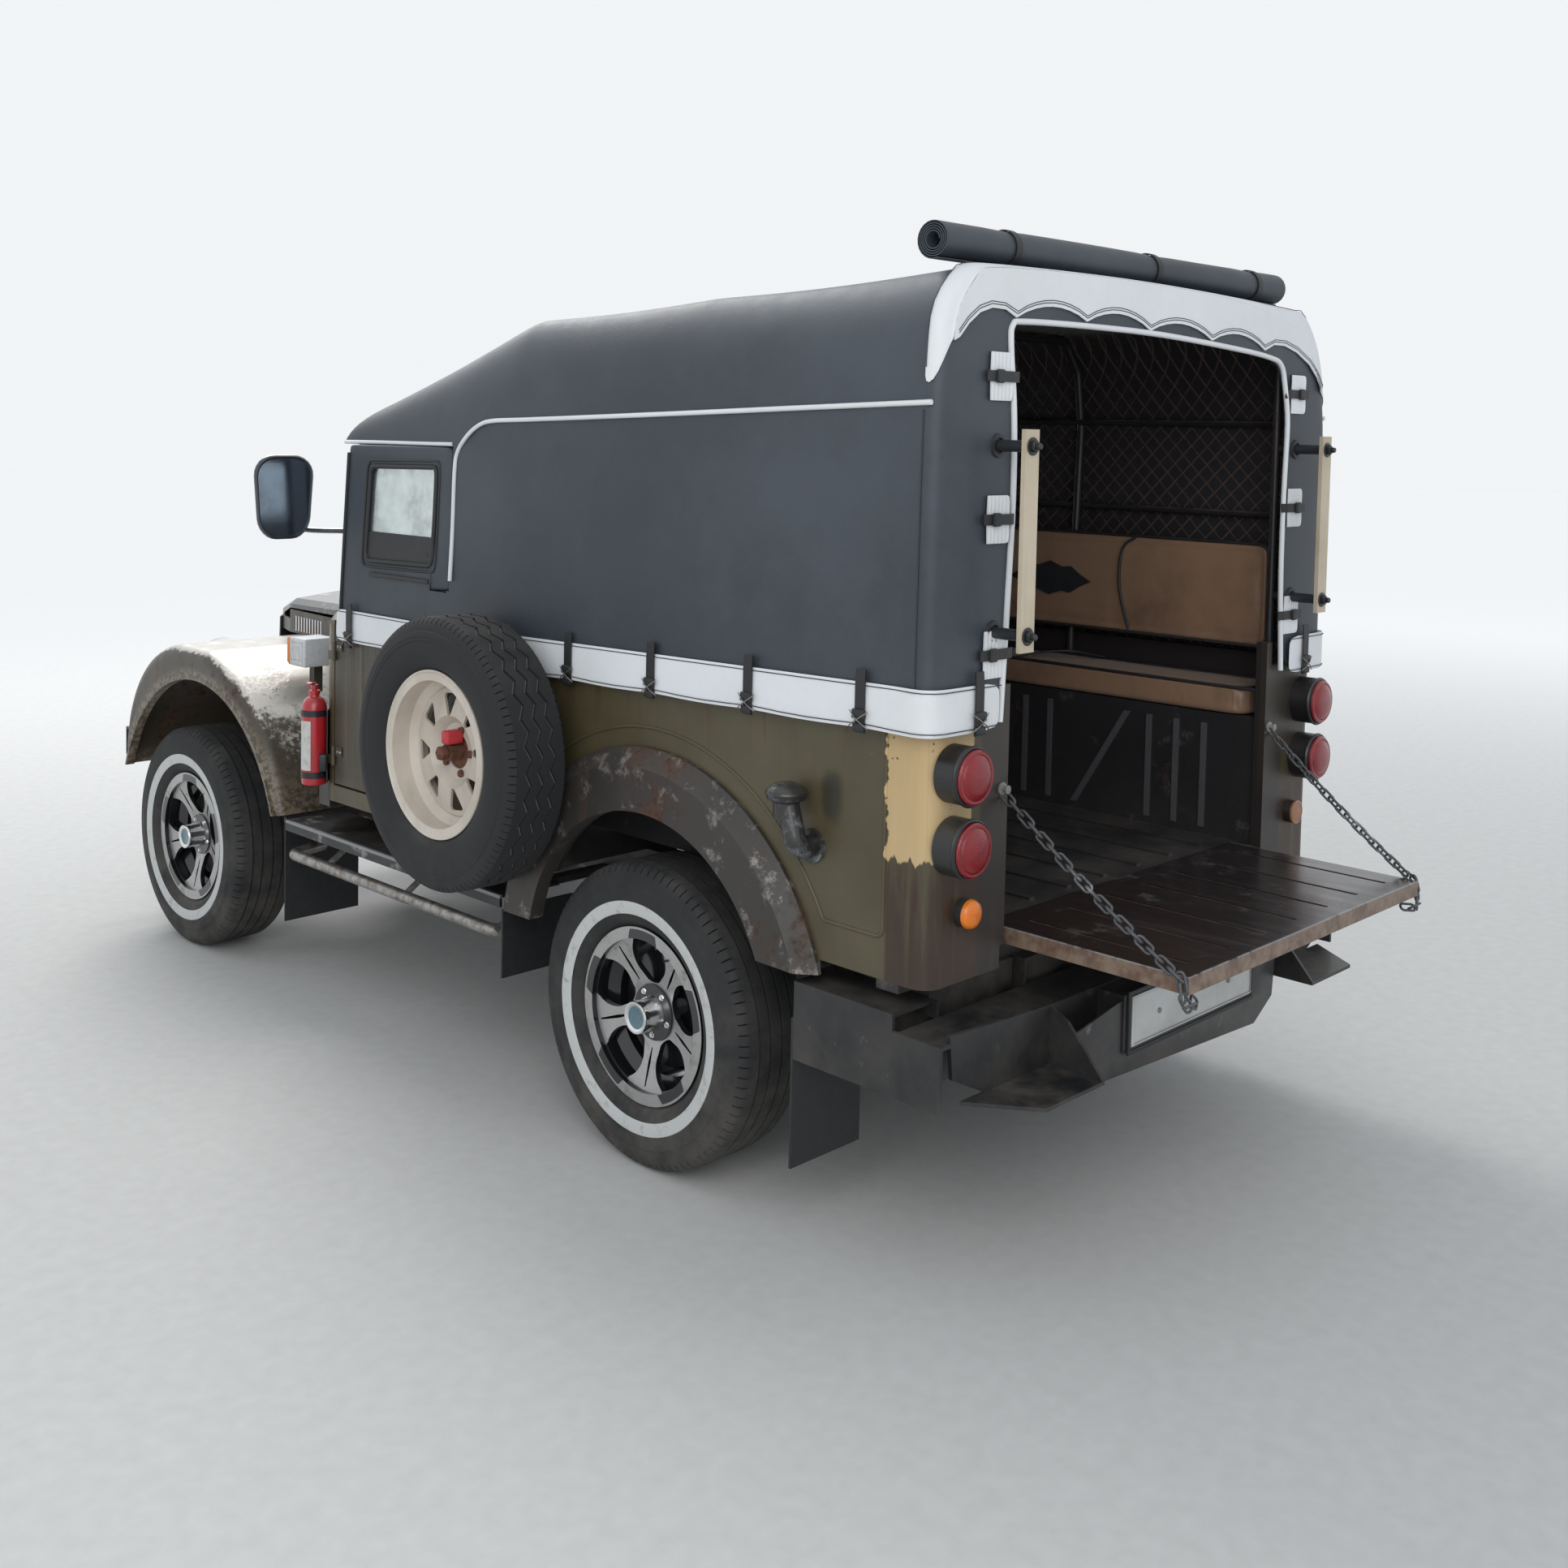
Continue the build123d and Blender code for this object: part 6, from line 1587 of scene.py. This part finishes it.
link = tube("chain_link", link_line(6) + link_line(6)[:1], wire, 2)
tidy_mesh(link, 0.0004)
hang_top = Vector((0.5665, rear_axle_y + 0.852, 1.004))
hang_low = Vector((0.5275, rear_axle_y + 1.262, 0.700))
link_count = 18
path = []
for step in range(link_count + 1):
    share = step / link_count
    path.append(hang_top.lerp(hang_low, share) + Vector((0, 0, -0.012 * math.sin(math.pi * share))))
wrap = [(0.5275, 1.2650, 0.6900), (0.5290, 1.2700, 0.6640), (0.5200, 1.2740, 0.6480),
        (0.4960, 1.2720, 0.6460), (0.4750, 1.2620, 0.6490)]
path += [Vector((x, rear_axle_y + y, z)) for x, y, z in wrap]


def laid_chain(name, points):
    """Links along a line, each turned a quarter from the one before."""
    placed = []
    for count, (a, b) in enumerate(zip(points, points[1:])):
        along = (b - a).normalized()
        flat = along.cross(Vector((0.3, 0.2, 1))).normalized()
        base = Matrix((along, flat, along.cross(flat))).transposed().to_4x4()
        turn = Matrix.Rotation(math.radians(45 + 90 * (count % 2)), 4, "X")
        placed.append(repeat(link, f"{name}_{count}", Matrix.Translation((a + b) / 2) @ base @ turn))
    whole = join(*placed)
    whole.name = name
    smooth(whole, 60)
    return whole


left_chain = laid_chain("tailgate_chain_left", path)
right_chain = repeat(left_chain, "tailgate_chain_right", None, True)
for chain, sign in ((left_chain, 1), (right_chain, -1)):
    dress(chain, chain_steel)
    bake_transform(chain)
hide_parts("tailgate_chains")
bpy.data.objects.remove(link)
hook = turned("chain_eye_left", [(-0.012, 0.0005), (-0.012, 0.0130), (-0.006, 0.0135), (-0.004, 0.0060),
                                 (0.004, 0.0055), (0.006, 0.0090), (0.008, 0.0090), (0.009, 0.0005)],
              (0.5665, rear_face + 0.0095, 1.012), 24, axis=(0, 1, 0))
smooth(hook, 40)
fit_pair(hook, steel_worn, "vehicle", "steel_chain")


# Doors
# Steel lower halves with a streaked old khaki coat over vertical swage lines, on two outside
# hinges; padded charcoal vinyl upper halves with a clear plastic pane in a black rubber frame.
door_paint, shader, place = new_finish("door_paint")
layers = paint_layers(place, (0.066, 0.060, 0.040), (0.085, 0.032, 0.016), (0.20, 0.19, 0.16), 0.22, 0.55,
                      0.08)
streak_at = stretched_by(place, (3.0, 26.0, 0.9))
streaks = noise(streak_at, 1.0, 6.0, 0.65)
streaked = tinted(times(ease(streaks, 0.42, 0.72), 0.6), layers["Colour"], (0.155, 0.140, 0.100))
dusty = dusted(place, streaked, 0.35, 0.95)
feed(shader, Base_Color=dusty["Colour"], Roughness=layers["Roughness"])
relief(shader, layers["Height"], 0.25, 0.0015)
coat(door_paint, "door_left", "door_right")

clear_pane = mottled("clear_pane", (0.86, 0.90, 0.90), (0.55, 0.56, 0.55), (9.0, 8.0, 0.7), (0.35, 0.8),
                     (0.02, 0.35), Transmission_Weight=0.85, IOR=1.2)

# Each line: a point on the edge of the upper half, then the point of the window it faces
door_front_y = rear_axle_y - 1.400
door_edge = [(-1.384, 1.1560, -1.2410, 1.3780), (-1.310, 1.1560, -1.2360, 1.3630),
             (-1.215, 1.1560, -1.2180, 1.3565), (-1.070, 1.1560, -1.0700, 1.3590),
             (-0.990, 1.1560, -0.9300, 1.3615), (-0.928, 1.1560, -0.9110, 1.3680),
             (-0.927, 1.2200, -0.9045, 1.3860), (-0.926, 1.2880, -0.9025, 1.4100),
             (-0.918, 1.2960, -0.9020, 1.4200), (-0.834, 1.2965, -0.9010, 1.4350),
             (-0.820, 1.3060, -0.8990, 1.4500), (-0.8205, 1.4400, -0.8945, 1.5000),
             (-0.8205, 1.5700, -0.8880, 1.6000), (-0.8210, 1.6760, -0.8905, 1.6215),
             (-0.830, 1.6860, -0.8960, 1.6270), (-0.880, 1.6862, -0.9100, 1.6295),
             (-1.050, 1.6855, -1.0500, 1.6270), (-1.200, 1.6845, -1.1860, 1.6245),
             (-1.318, 1.6840, -1.2040, 1.6205), (-1.3345, 1.6815, -1.2060, 1.6190),
             (-1.3380, 1.6640, -1.2075, 1.6150), (-1.352, 1.5200, -1.2165, 1.6000),
             (-1.372, 1.3000, -1.2290, 1.4900)]


def door_ring(share, x):
    """The closed line a share of the way from the outer edge to the window."""
    line = [(x, rear_axle_y + a + (c - a) * share, b + (d - b) * share) for a, b, c, d in door_edge]
    return line + line[:1]


upper_rings = ((0.0, 0.7800), (0.0, 0.7945), (0.06, 0.7985), (0.5, 0.8005), (0.90, 0.7985), (1.0, 0.7945),
               (1.0, 0.7800))
upper = swept_sheet("door_upper_left", [door_ring(share, x) for share, x in upper_rings])
tidy_mesh(upper)
face_towards(upper, (0.80, rear_axle_y - 1.07, 1.25), (1, 0, 0))
soften(upper, 2)
thicken(upper, 0.0025, -1)
smooth(upper, 45)
pane = block("door_pane_left", (0.786, rear_axle_y - 1.0615, 1.494), (0.0016, 0.372, 0.290))
editing(pane)
bpy.ops.mesh.bevel(offset=0.0005, segments=1)
close_edit()
frame_points = [Vector(p) for p in door_ring(1.0, 0.7985)[:-1]]
inner_frame = tube("door_frame_left", curved(frame_points + frame_points[:2], 3), 0.0068, 2)
middle_y, middle_z = rear_axle_y - 1.0615, 1.494
outer_points = [(0.7995, middle_y + (p.y - middle_y) * 1.10, middle_z + (p.z - middle_z) * 1.13)
                for p in frame_points]
outer_frame = tube("door_frame_line_left", curved(outer_points + outer_points[:2], 3), 0.0035, 2)
sill = block("door_slide_left", (0.8035, rear_axle_y - 1.065, 1.318), (0.008, 0.300, 0.012))
rounded(sill, 0.003, 2)
flap = block("door_flap", (0.7945, rear_axle_y - 1.068, 1.396), (0.006, 0.340, 0.086))
rounded(flap, 0.0025, 2)
button = turned("door_button", [(0.7970, 0.0005), (0.7985, 0.0075), (0.7970, 0.0080)],
                (0, rear_axle_y - 0.935, 1.392), 20)
inner_frame = join(inner_frame, outer_frame, sill, flap, button)
front_piping = tube("door_piping_front_left", [(0.7985, rear_axle_y - 1.378, 1.170),
                                               (0.7985, rear_axle_y - 1.356, 1.420),
                                               (0.7985, rear_axle_y - 1.333, 1.660)], 0.0055, 2)
hem_rows = []
for y in [-1.386 + 0.046 * step for step in range(11)]:
    wave = 0.0025 * math.sin(y * 34)
    hem_rows.append([(0.8045 + 0.002 * share + wave * share, rear_axle_y + y,
                      1.206 - 0.002 * (y + 1.386) - 0.094 * share) for share in (0.0, 0.35, 0.7, 1.0)])
hem = swept_sheet("door_hem_left", hem_rows)
face_towards(hem, (0.81, rear_axle_y - 1.15, 1.16), (1, 0, 0))
thicken(hem, 0.0028, 1)
soften(hem, 1)
smooth(hem, 40)
hem_seams = [tube("hem_seam", [Vector(row[edge]) + Vector((0.0034, 0, shift)) for row in hem_rows],
                  0.0011, 1) for edge, shift in ((0, -0.008), (3, 0.009))]
hem_seams = join(*hem_seams)
hem_seams.name = "door_hem_seams_left"
for piece, finish, slot, stands in ((upper, charcoal, "canvas", ("door_top_",)),
                                    (pane, clear_pane, "clear_glass", ()),
                                    (inner_frame, black_rubber, "black_plastic", ()),
                                    (front_piping, black_web, "canvas", ()),
                                    (hem, white_vinyl, "canvas", ()), (hem_seams, thread, None, ())):
    twin = repeat(piece, piece.name.replace("left", "right"), None, True)
    fit(twin, finish, "door_right", slot, [stem + "right" for stem in stands])
    fit(piece, finish, "door_left", slot, [stem + "left" for stem in stands])

# Door hardware: two bolts to each hinge leaf, and a turned plate round the lock
hinge_bolts = hexagon("door_hinge_bolts_left", 0.0045, 0.004, (0.8058, door_front_y + 0.024, 0.7825),
                      (0, math.pi / 2, 0))
rounded(hinge_bolts, 0.0008, 1)
bolt_steps = ((0.014, 0), (0, 0.310), (0.014, 0.310))
extra = [repeat(hinge_bolts, "bolt", Matrix.Translation((0, dy, dz))) for dy, dz in bolt_steps]
hinge_bolts = join(hinge_bolts, *extra)
smooth(hinge_bolts, 30)
escutcheon = turned("door_lock_left", [(0.8002, 0.0245), (0.8035, 0.0245), (0.8055, 0.0200),
                                       (0.8060, 0.0120), (0.8080, 0.0110), (0.8082, 0.0005)],
                    (0, rear_axle_y - 0.985, 1.080), 32)
smooth(escutcheon, 40)
for piece in (hinge_bolts, escutcheon):
    fit(repeat(piece, piece.name.replace("left", "right"), None, True), steel_worn, "door_right",
        "steel_chain")
    fit(piece, steel_worn, "door_left", "steel_chain")


# Seats and benches
# Foam blocks in sewn tan vinyl with black welted seams, the panels swollen between the seams;
# the front pair in dark vinyl stand on folded steel boxes, the benches lie on the wheel boxes.
def vinyl(name, colour, deep):
    """Coated seat cloth: fine grain, creases, and darker where it is rubbed and greasy."""
    made, shader, place = new_finish(name, Sheen_Weight=0.15, Coat_Weight=0.1, Coat_Roughness=0.35)
    stains = noise(place, 5.0, 7.0, 0.65)
    grain = shade("TexVoronoi", {"Vector": place, "Scale": 420.0}, "Distance")
    crease = shade("TexNoise", {"Vector": place, "Scale": 16.0, "Detail": 3.0, "Distortion": 1.2}, "Fac")
    feed(shader, Base_Color=tinted(ease(stains, 0.38, 0.78), colour, deep),
         Roughness=ranged(stains, 0.36, 0.62))
    folds = plus(times(grain, 0.25), crease)
    relief(shader, folds, 0.22, 0.003)
    return made


tan_vinyl = vinyl("tan_vinyl", (0.285, 0.170, 0.105), (0.165, 0.095, 0.062))
dark_vinyl = vinyl("dark_vinyl", (0.030, 0.027, 0.026), (0.012, 0.011, 0.011))


def seam_loop(low, high, facing, radius):
    """The rounded outline of a block's swollen side, as points in order."""
    axis = max(range(3), key=lambda a: abs(facing[a]))
    a, b = [number for number in range(3) if number != axis]
    level = high[axis] if facing[axis] > 0 else low[axis]
    points = []
    for corner, (side_a, side_b) in enumerate(((1, 1), (0, 1), (0, 0), (1, 0))):
        for step in range(7):
            turn = (corner + step / 6) * math.pi / 2
            point = [0.0, 0.0, 0.0]
            point[axis] = level
            point[a] = (high[a] - radius if side_a else low[a] + radius) + radius * math.cos(turn)
            point[b] = (high[b] - radius if side_b else low[b] + radius) + radius * math.sin(turn)
            points.append(tuple(point))
    return points


def upholstered(name, low, high, facing, radius, limit, voxel):
    """A block whose panels swell between its front seam and its flat back, as cloth under pressure."""
    facing = Vector(facing)
    loop = [Vector(point) for point in seam_loop(low, high, facing, radius)]
    piece = draw(name, loop, True)
    bpy.ops.mesh.remove_doubles(threshold=1e-5)
    depth = abs((Vector(high) - Vector(low)).dot(facing))
    filled(-facing * depth)
    tidy_mesh(piece)
    modify(piece, "REMESH", mode="VOXEL", voxel_size=voxel)
    start = [point.co.copy() for point in piece.data.vertices]
    back = min(at.dot(facing) for at in start)
    held = []
    for point in piece.data.vertices:
        on_seam = 0.3 < point.normal.dot(facing) < 0.9
        on_back = point.co.dot(facing) < back + 0.6 * voxel
        if on_seam or on_back:
            held.append(point.index)
    piece.vertex_groups.new(name="seams").add(held, 1.0, "REPLACE")
    cloth = piece.modifiers.new("swell", "CLOTH")
    cloth.settings.vertex_group_mass = "seams"
    cloth.settings.use_pressure = True
    cloth.settings.uniform_pressure_force = 4.0
    cloth.settings.effector_weights.gravity = 0.0
    cloth.settings.shrink_min = -0.02
    cloth.settings.quality = 4
    cloth.point_cache.frame_start = 1
    cloth.point_cache.frame_end = 20
    for count in range(1, 21):
        scene.frame_set(count)
    editing(piece)
    close_edit()
    bpy.ops.object.modifier_apply(modifier="swell")
    scene.frame_set(1)
    for point, was in zip(piece.data.vertices, start):
        moved = point.co - was
        if moved.length > limit:
            point.co = was + moved * (limit / moved.length)
    piece.vertex_groups.clear()
    soften(piece, 1)
    smooth(piece, 60)
    return piece


cushions = {
    # low corner, high corner, the side that swells, corner radius, most swelling and voxel size
    "bench_left": ((0.548, rear_axle_y - 0.428, 1.0325), (0.738, rear_axle_y + 0.790, 1.104), (0, 0, 1),
                   0.045, 0.028, 0.010),
    "bench_back_left": ((0.714, rear_axle_y - 0.396, 1.195), (0.7465, rear_axle_y + 0.756, 1.470),
                        (-1, 0, 0), 0.030, 0.010, 0.010),
    "front_cushion_left": ((0.098, rear_axle_y - 1.122, 0.872), (0.612, rear_axle_y - 0.708, 0.960),
                           (0, 0, 1), 0.050, 0.022, 0.012),
    "front_back_left": ((0.100, rear_axle_y - 0.690, 0.985), (0.610, rear_axle_y - 0.625, 1.432),
                        (0, -1, 0), 0.060, 0.014, 0.012),
}
sewn = [upholstered(name, *measures) for name, measures in cushions.items()]
bench, bench_rest, front_cushion, front_back = sewn
welts = []
for low, high, facing, radius, _, _ in cushions.values():
    line = seam_loop(low, high, facing, radius)
    welts.append(tube("welt", curved(line + line[:2], 2), 0.0045, 2))
rest_line = ((0.008, 0.345, 1.466), (-0.001, 0.310, 1.436), (-0.002, 0.300, 1.364),
             (-0.001, 0.307, 1.294), (0.008, 0.330, 1.204))
seat_line = ((0.549, 0.060, 1.106), (0.580, 0.100, 1.120), (0.640, 0.180, 1.130), (0.737, 0.235, 1.110))
bench_lines = [
    tube("line", curved([(0.704 + lift, rear_axle_y + y, z) for lift, y, z in rest_line], 4), 0.0042, 2),
    tube("line", curved([(x, rear_axle_y + y, z) for x, y, z in seat_line], 4), 0.0036, 2)]
bench_welts = join(welts[0], welts[1], *bench_lines)
bench_welts.name = "bench_welts_left"
front_welts = join(welts[2], welts[3])
front_welts.name = "front_seat_welts_left"

# The dark lobed patch sewn on the middle of each backrest
half_lobes = [(0.000, 0.000), (0.035, 0.017), (0.070, 0.041), (0.100, 0.037), (0.125, 0.046),
              (0.142, 0.052)]
lobes = half_lobes + [(0.284 - y, z) for y, z in half_lobes[-2:0:-1]] + [(0.284, 0.0)]
outline = lobes + [(y, -z * 0.9) for y, z in lobes[-2:0:-1]]
motif = slab("backrest_patch_left",
             [(0.7040, rear_axle_y - 0.084 + y, 1.328 + z) for y, z in outline], (0.006, 0, 0))

# Folded steel boxes under the front seats, and the tubes that carry their backs
seat_box = block("seat_box_left", (0.355, rear_axle_y - 0.915, 0.7875), (0.450, 0.350, 0.169))
choose(seat_box, "FACE", lambda at: abs(at.y - rear_axle_y + 0.915) > 0.17 or abs(at.x - 0.355) > 0.22)
bpy.ops.mesh.inset(thickness=0.030, use_individual=True)
bpy.ops.mesh.inset(thickness=0.004, depth=-0.004, use_individual=True)
rounded(seat_box, 0.004, 2)
stays = [tube("stay", [(x, rear_axle_y - 0.800, 0.866), (x, rear_axle_y - 0.690, 0.868),
                       (x, rear_axle_y - 0.652, 0.920), (x, rear_axle_y - 0.652, 1.060)], 0.011, 2)
         for x in (0.180, 0.530)]
seat_box = join(seat_box, *stays)
smooth(seat_box, 35)
for piece, finish, slot, stands in ((bench, tan_vinyl, "seat_vinyl", ("bench_seats",)),
                                    (bench_rest, tan_vinyl, "seat_vinyl", ()),
                                    (front_cushion, dark_vinyl, "seat_vinyl", ("front_seats",)),
                                    (front_back, dark_vinyl, "seat_vinyl", ()),
                                    (bench_welts, black_web, None, ()),
                                    (front_welts, black_web, None, ()), (motif, black_web, None, ()),
                                    (seat_box, chassis_finish, "chassis_black", ())):
    right = repeat(piece, piece.name.replace("left", "right"), None, True)
    for seat in (piece, right):
        fit(seat, finish, "vehicle", slot)
    if stands:
        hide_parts(*stands)


# Windshield
# A pressed steel frame painted black, two flat panes in black rubber, and a parked wiper on each;
# the frame is bolted to the cowl and leans back.
def on_screen(x, out, up):
    """A place on the leaning frame: across, out ahead of its middle plane, and up from its foot."""
    lean = math.radians(6.8)
    return (x, door_front_y - 0.014 - out * math.cos(lean) + up * math.sin(lean),
            1.170 + out * math.sin(lean) + up * math.cos(lean))


screen_paint = painted("screen_paint", (0.017, 0.018, 0.020), rust_brown, steel_grey, 0.12, 0.1, 0.15,
                       0.2, 1.3, coat=0.3)
windshield_pane, shader, place = new_finish("windshield_pane", Transmission_Weight=1.0, IOR=1.45)
film = noise(place, 6.0, 8.0, 0.7)
feed(shader, Roughness=ranged(film, 0.0, 0.16),
     Base_Color=tinted(film, (0.90, 0.95, 0.93), (0.78, 0.82, 0.80)))
coat(screen_paint, "windshield")
coat(windshield_pane, "windshield_glass")
seals = []
for out in (0.0150, -0.0150):
    loop = [(x, z) for x, _, z in seam_loop((0.018, 0, 0.060), (0.703, 0, 0.498), (0, 1, 0), 0.012)]
    seals.append(tube("seal", [on_screen(x, out, z) for x, z in loop + loop[:1]], 0.0052, 2))
screen_seal = join(*seals)
screen_seal.name = "windshield_seal_left"
wiper = tube("wiper_left", [on_screen(0.560, 0.014, 0.030), on_screen(0.560, 0.026, 0.036),
                            on_screen(0.470, 0.024, 0.075), on_screen(0.390, 0.0225, 0.093)], 0.0035, 1)
blade = tube("blade", [on_screen(0.560, 0.0165, 0.086), on_screen(0.390, 0.0165, 0.092),
                       on_screen(0.220, 0.0165, 0.098)], 0.0045, 1)
boss = tube("boss", [on_screen(0.560, 0.012, 0.030), on_screen(0.560, 0.029, 0.030)], 0.010, 2)
wiper = join(wiper, blade, boss)
smooth(wiper, 40)
for piece in (screen_seal, wiper):
    fit_pair(piece, black_rubber, "vehicle", "black_plastic")
steering_black = mottled("steering_black", (0.014, 0.014, 0.015), (0.030, 0.028, 0.026), (12.0, 6.0),
                         rough=(0.25, 0.55), Coat_Weight=0.4, Coat_Roughness=0.2)
coat(steering_black, "steering_wheel")


# Mirrors
# Large rounded mirrors in glossy black moulded shells, each on a bent tube bolted to the
# windshield post.
def mirror_loop(size, y):
    """The shell's outline at a share of its size: a rectangle with widely rounded corners."""
    loop = seam_loop((-0.088 * size, 0, -0.122 * size), (0.088 * size, 0, 0.122 * size), (0, 1, 0),
                     0.062 * size)
    line = [(0.935 + x * (1 + 0.10 * z / 0.122), rear_axle_y - 1.460 + y, 1.528 + z) for x, _, z in loop]
    return line + line[:1]


glossy_shell = mottled("glossy_shell", (0.020, 0.024, 0.032), (0.060, 0.066, 0.075), (35.0, 7.0, 0.7),
                       (0.5, 0.8), (0.18, 0.5), Coat_Weight=0.8, Coat_Roughness=0.08)
mirror_glass = mottled("mirror_glass", (0.30, 0.36, 0.44), (0.20, 0.23, 0.27), (8.0, 8.0, 0.7),
                       (0.4, 0.85), (0.02, 0.22), Metallic=1.0)
shell_rings = ((0.900, 0.0035), (0.915, 0.0085), (0.955, 0.0098), (0.990, 0.0060), (0.998, -0.0020),
               (0.940, -0.0095), (0.700, -0.0125), (0.300, -0.0135), (0.004, -0.0137))
shell = swept_sheet("mirror_left", [mirror_loop(size, y) for size, y in shell_rings])
tidy_mesh(shell, 0.0006)
face_towards(shell, (0.935, rear_axle_y - 1.4737, 1.528), (0, -1, 0))
smooth(shell, 50)
glass = slab("mirror_glass_left", mirror_loop(0.905, 0.0040)[:-1], (0, 0.0016, 0))
arm = tube("mirror_arm_left", curved([(0.746, door_front_y + 0.017, 1.430),
                                      (0.770, door_front_y + 0.017, 1.430),
                                      (0.850, rear_axle_y - 1.500, 1.430),
                                      (0.900, rear_axle_y - 1.493, 1.455),
                                      (0.932, rear_axle_y - 1.478, 1.500),
                                      (0.935, rear_axle_y - 1.4735, 1.528)], 4), 0.008, 2)
clamp = block("clamp", (0.750, door_front_y + 0.017, 1.430), (0.010, 0.026, 0.060))
rounded(clamp, 0.003, 2)
arm = join(arm, clamp)
smooth(arm, 40)
for piece, finish, slot, stands in ((shell, glossy_shell, "black_plastic", ("mirrors",)),
                                    (glass, mirror_glass, "chrome", ()),
                                    (arm, glossy_shell, "black_plastic", ())):
    fit_pair(piece, finish, "vehicle", slot, stands)


# Extinguisher
# A red pressed-steel bottle with a blank paper label, its valve and squeeze levers in red, held
# by a black strap in a folded bracket on the slanting cowl side.
ext_x, ext_y = 0.828, rear_axle_y - 1.470
red_bottle, shader, place = new_finish("red_bottle", Coat_Weight=0.6, Coat_Roughness=0.15)
faded = noise(place, 14.0, 8.0, 0.7)
red = dusted(place, tinted(ease(faded, 0.35, 0.75), (0.50, 0.012, 0.022), (0.34, 0.012, 0.020)), 0.25,
             0.9)
feed(shader, Base_Color=red["Colour"], Roughness=ranged(faded, 0.22, 0.5))
paper = mottled("label_paper", (0.62, 0.63, 0.60), (0.33, 0.29, 0.25), (45.0, 8.0, 0.7), (0.45, 0.8),
                Roughness=0.7)
bottle = turned("extinguisher_bottle", [(0.6752, 0.0005), (0.6752, 0.0300), (0.6790, 0.0355),
                                        (0.6850, 0.0368), (0.8950, 0.0368), (0.9100, 0.0352),
                                        (0.9230, 0.0310), (0.9320, 0.0240), (0.9370, 0.0150),
                                        (0.9450, 0.0125), (0.9450, 0.0005)], (ext_x, ext_y, 0), 40,
                axis=(0, 0, 1))
valve = turned("extinguisher_valve", [(0.9440, 0.0005), (0.9440, 0.0165), (0.9560, 0.0165),
                                      (0.9580, 0.0110), (0.9720, 0.0105), (0.9720, 0.0005)],
               (ext_x, ext_y, 0), 24, axis=(0, 0, 1))
levers = []
for lift, reach, tilt in ((0.966, 0.040, -12), (0.977, 0.036, 16)):
    lever = block("lever", (0, -0.016, 0), (0.013, reach, 0.0035))
    editing(lever)
    bpy.ops.mesh.subdivide(number_cuts=2)
    choose(lever, "VERT", lambda at: at.y < -0.02)
    bpy.ops.transform.resize(value=(1.35, 1, 1))
    close_edit()
    rounded(lever, 0.001, 1)
    tilted = Matrix.Rotation(math.radians(tilt), 4, "X")
    lever.data.transform(Matrix.Translation((ext_x, ext_y, lift)) @ tilted)
    levers.append(lever)
valve = join(valve, *levers)
label = swept_sheet("extinguisher_label",
                    [[(ext_x + 0.0370 * math.cos(turn), ext_y + 0.0370 * math.sin(turn), z)
                      for turn in [math.radians(-44 + 11 * step) for step in range(9)]]
                     for z in (0.722, 0.770, 0.820, 0.868)])
face_towards(label, (ext_x + 0.037, ext_y, 0.79), (1, 0, 0))
thicken(label, 0.0004, 1)
holder = block("extinguisher_bracket", (-0.0387, 0, 0.790), (0.003, 0.050, 0.215))
straps = [turned("band", [(z - 0.009, 0.0372), (z - 0.009, 0.0386), (z + 0.009, 0.0386),
                          (z + 0.009, 0.0372)], (0, 0, 0), 32, closed=True, axis=(0, 0, 1))
          for z in (0.707, 0.890)]
latch = block("latch", (-0.028, 0.034, 0.745), (0.022, 0.018, 0.050))
rounded(latch, 0.003, 2)
holder = join(holder, latch, *straps)
cowl_slant = Matrix.Rotation(math.radians(-35.07), 4, "Z")
holder.data.transform(Matrix.Translation((ext_x, ext_y, 0)) @ cowl_slant)
for piece, finish, slot, stands in ((bottle, red_bottle, "red_paint", ("extinguisher",)),
                                    (valve, red_bottle, "red_paint", ()), (label, paper, None, ()),
                                    (holder, bumper_black, "bumper_black", ())):
    smooth(piece, 40)
    fit(piece, finish, "vehicle", slot, stands)
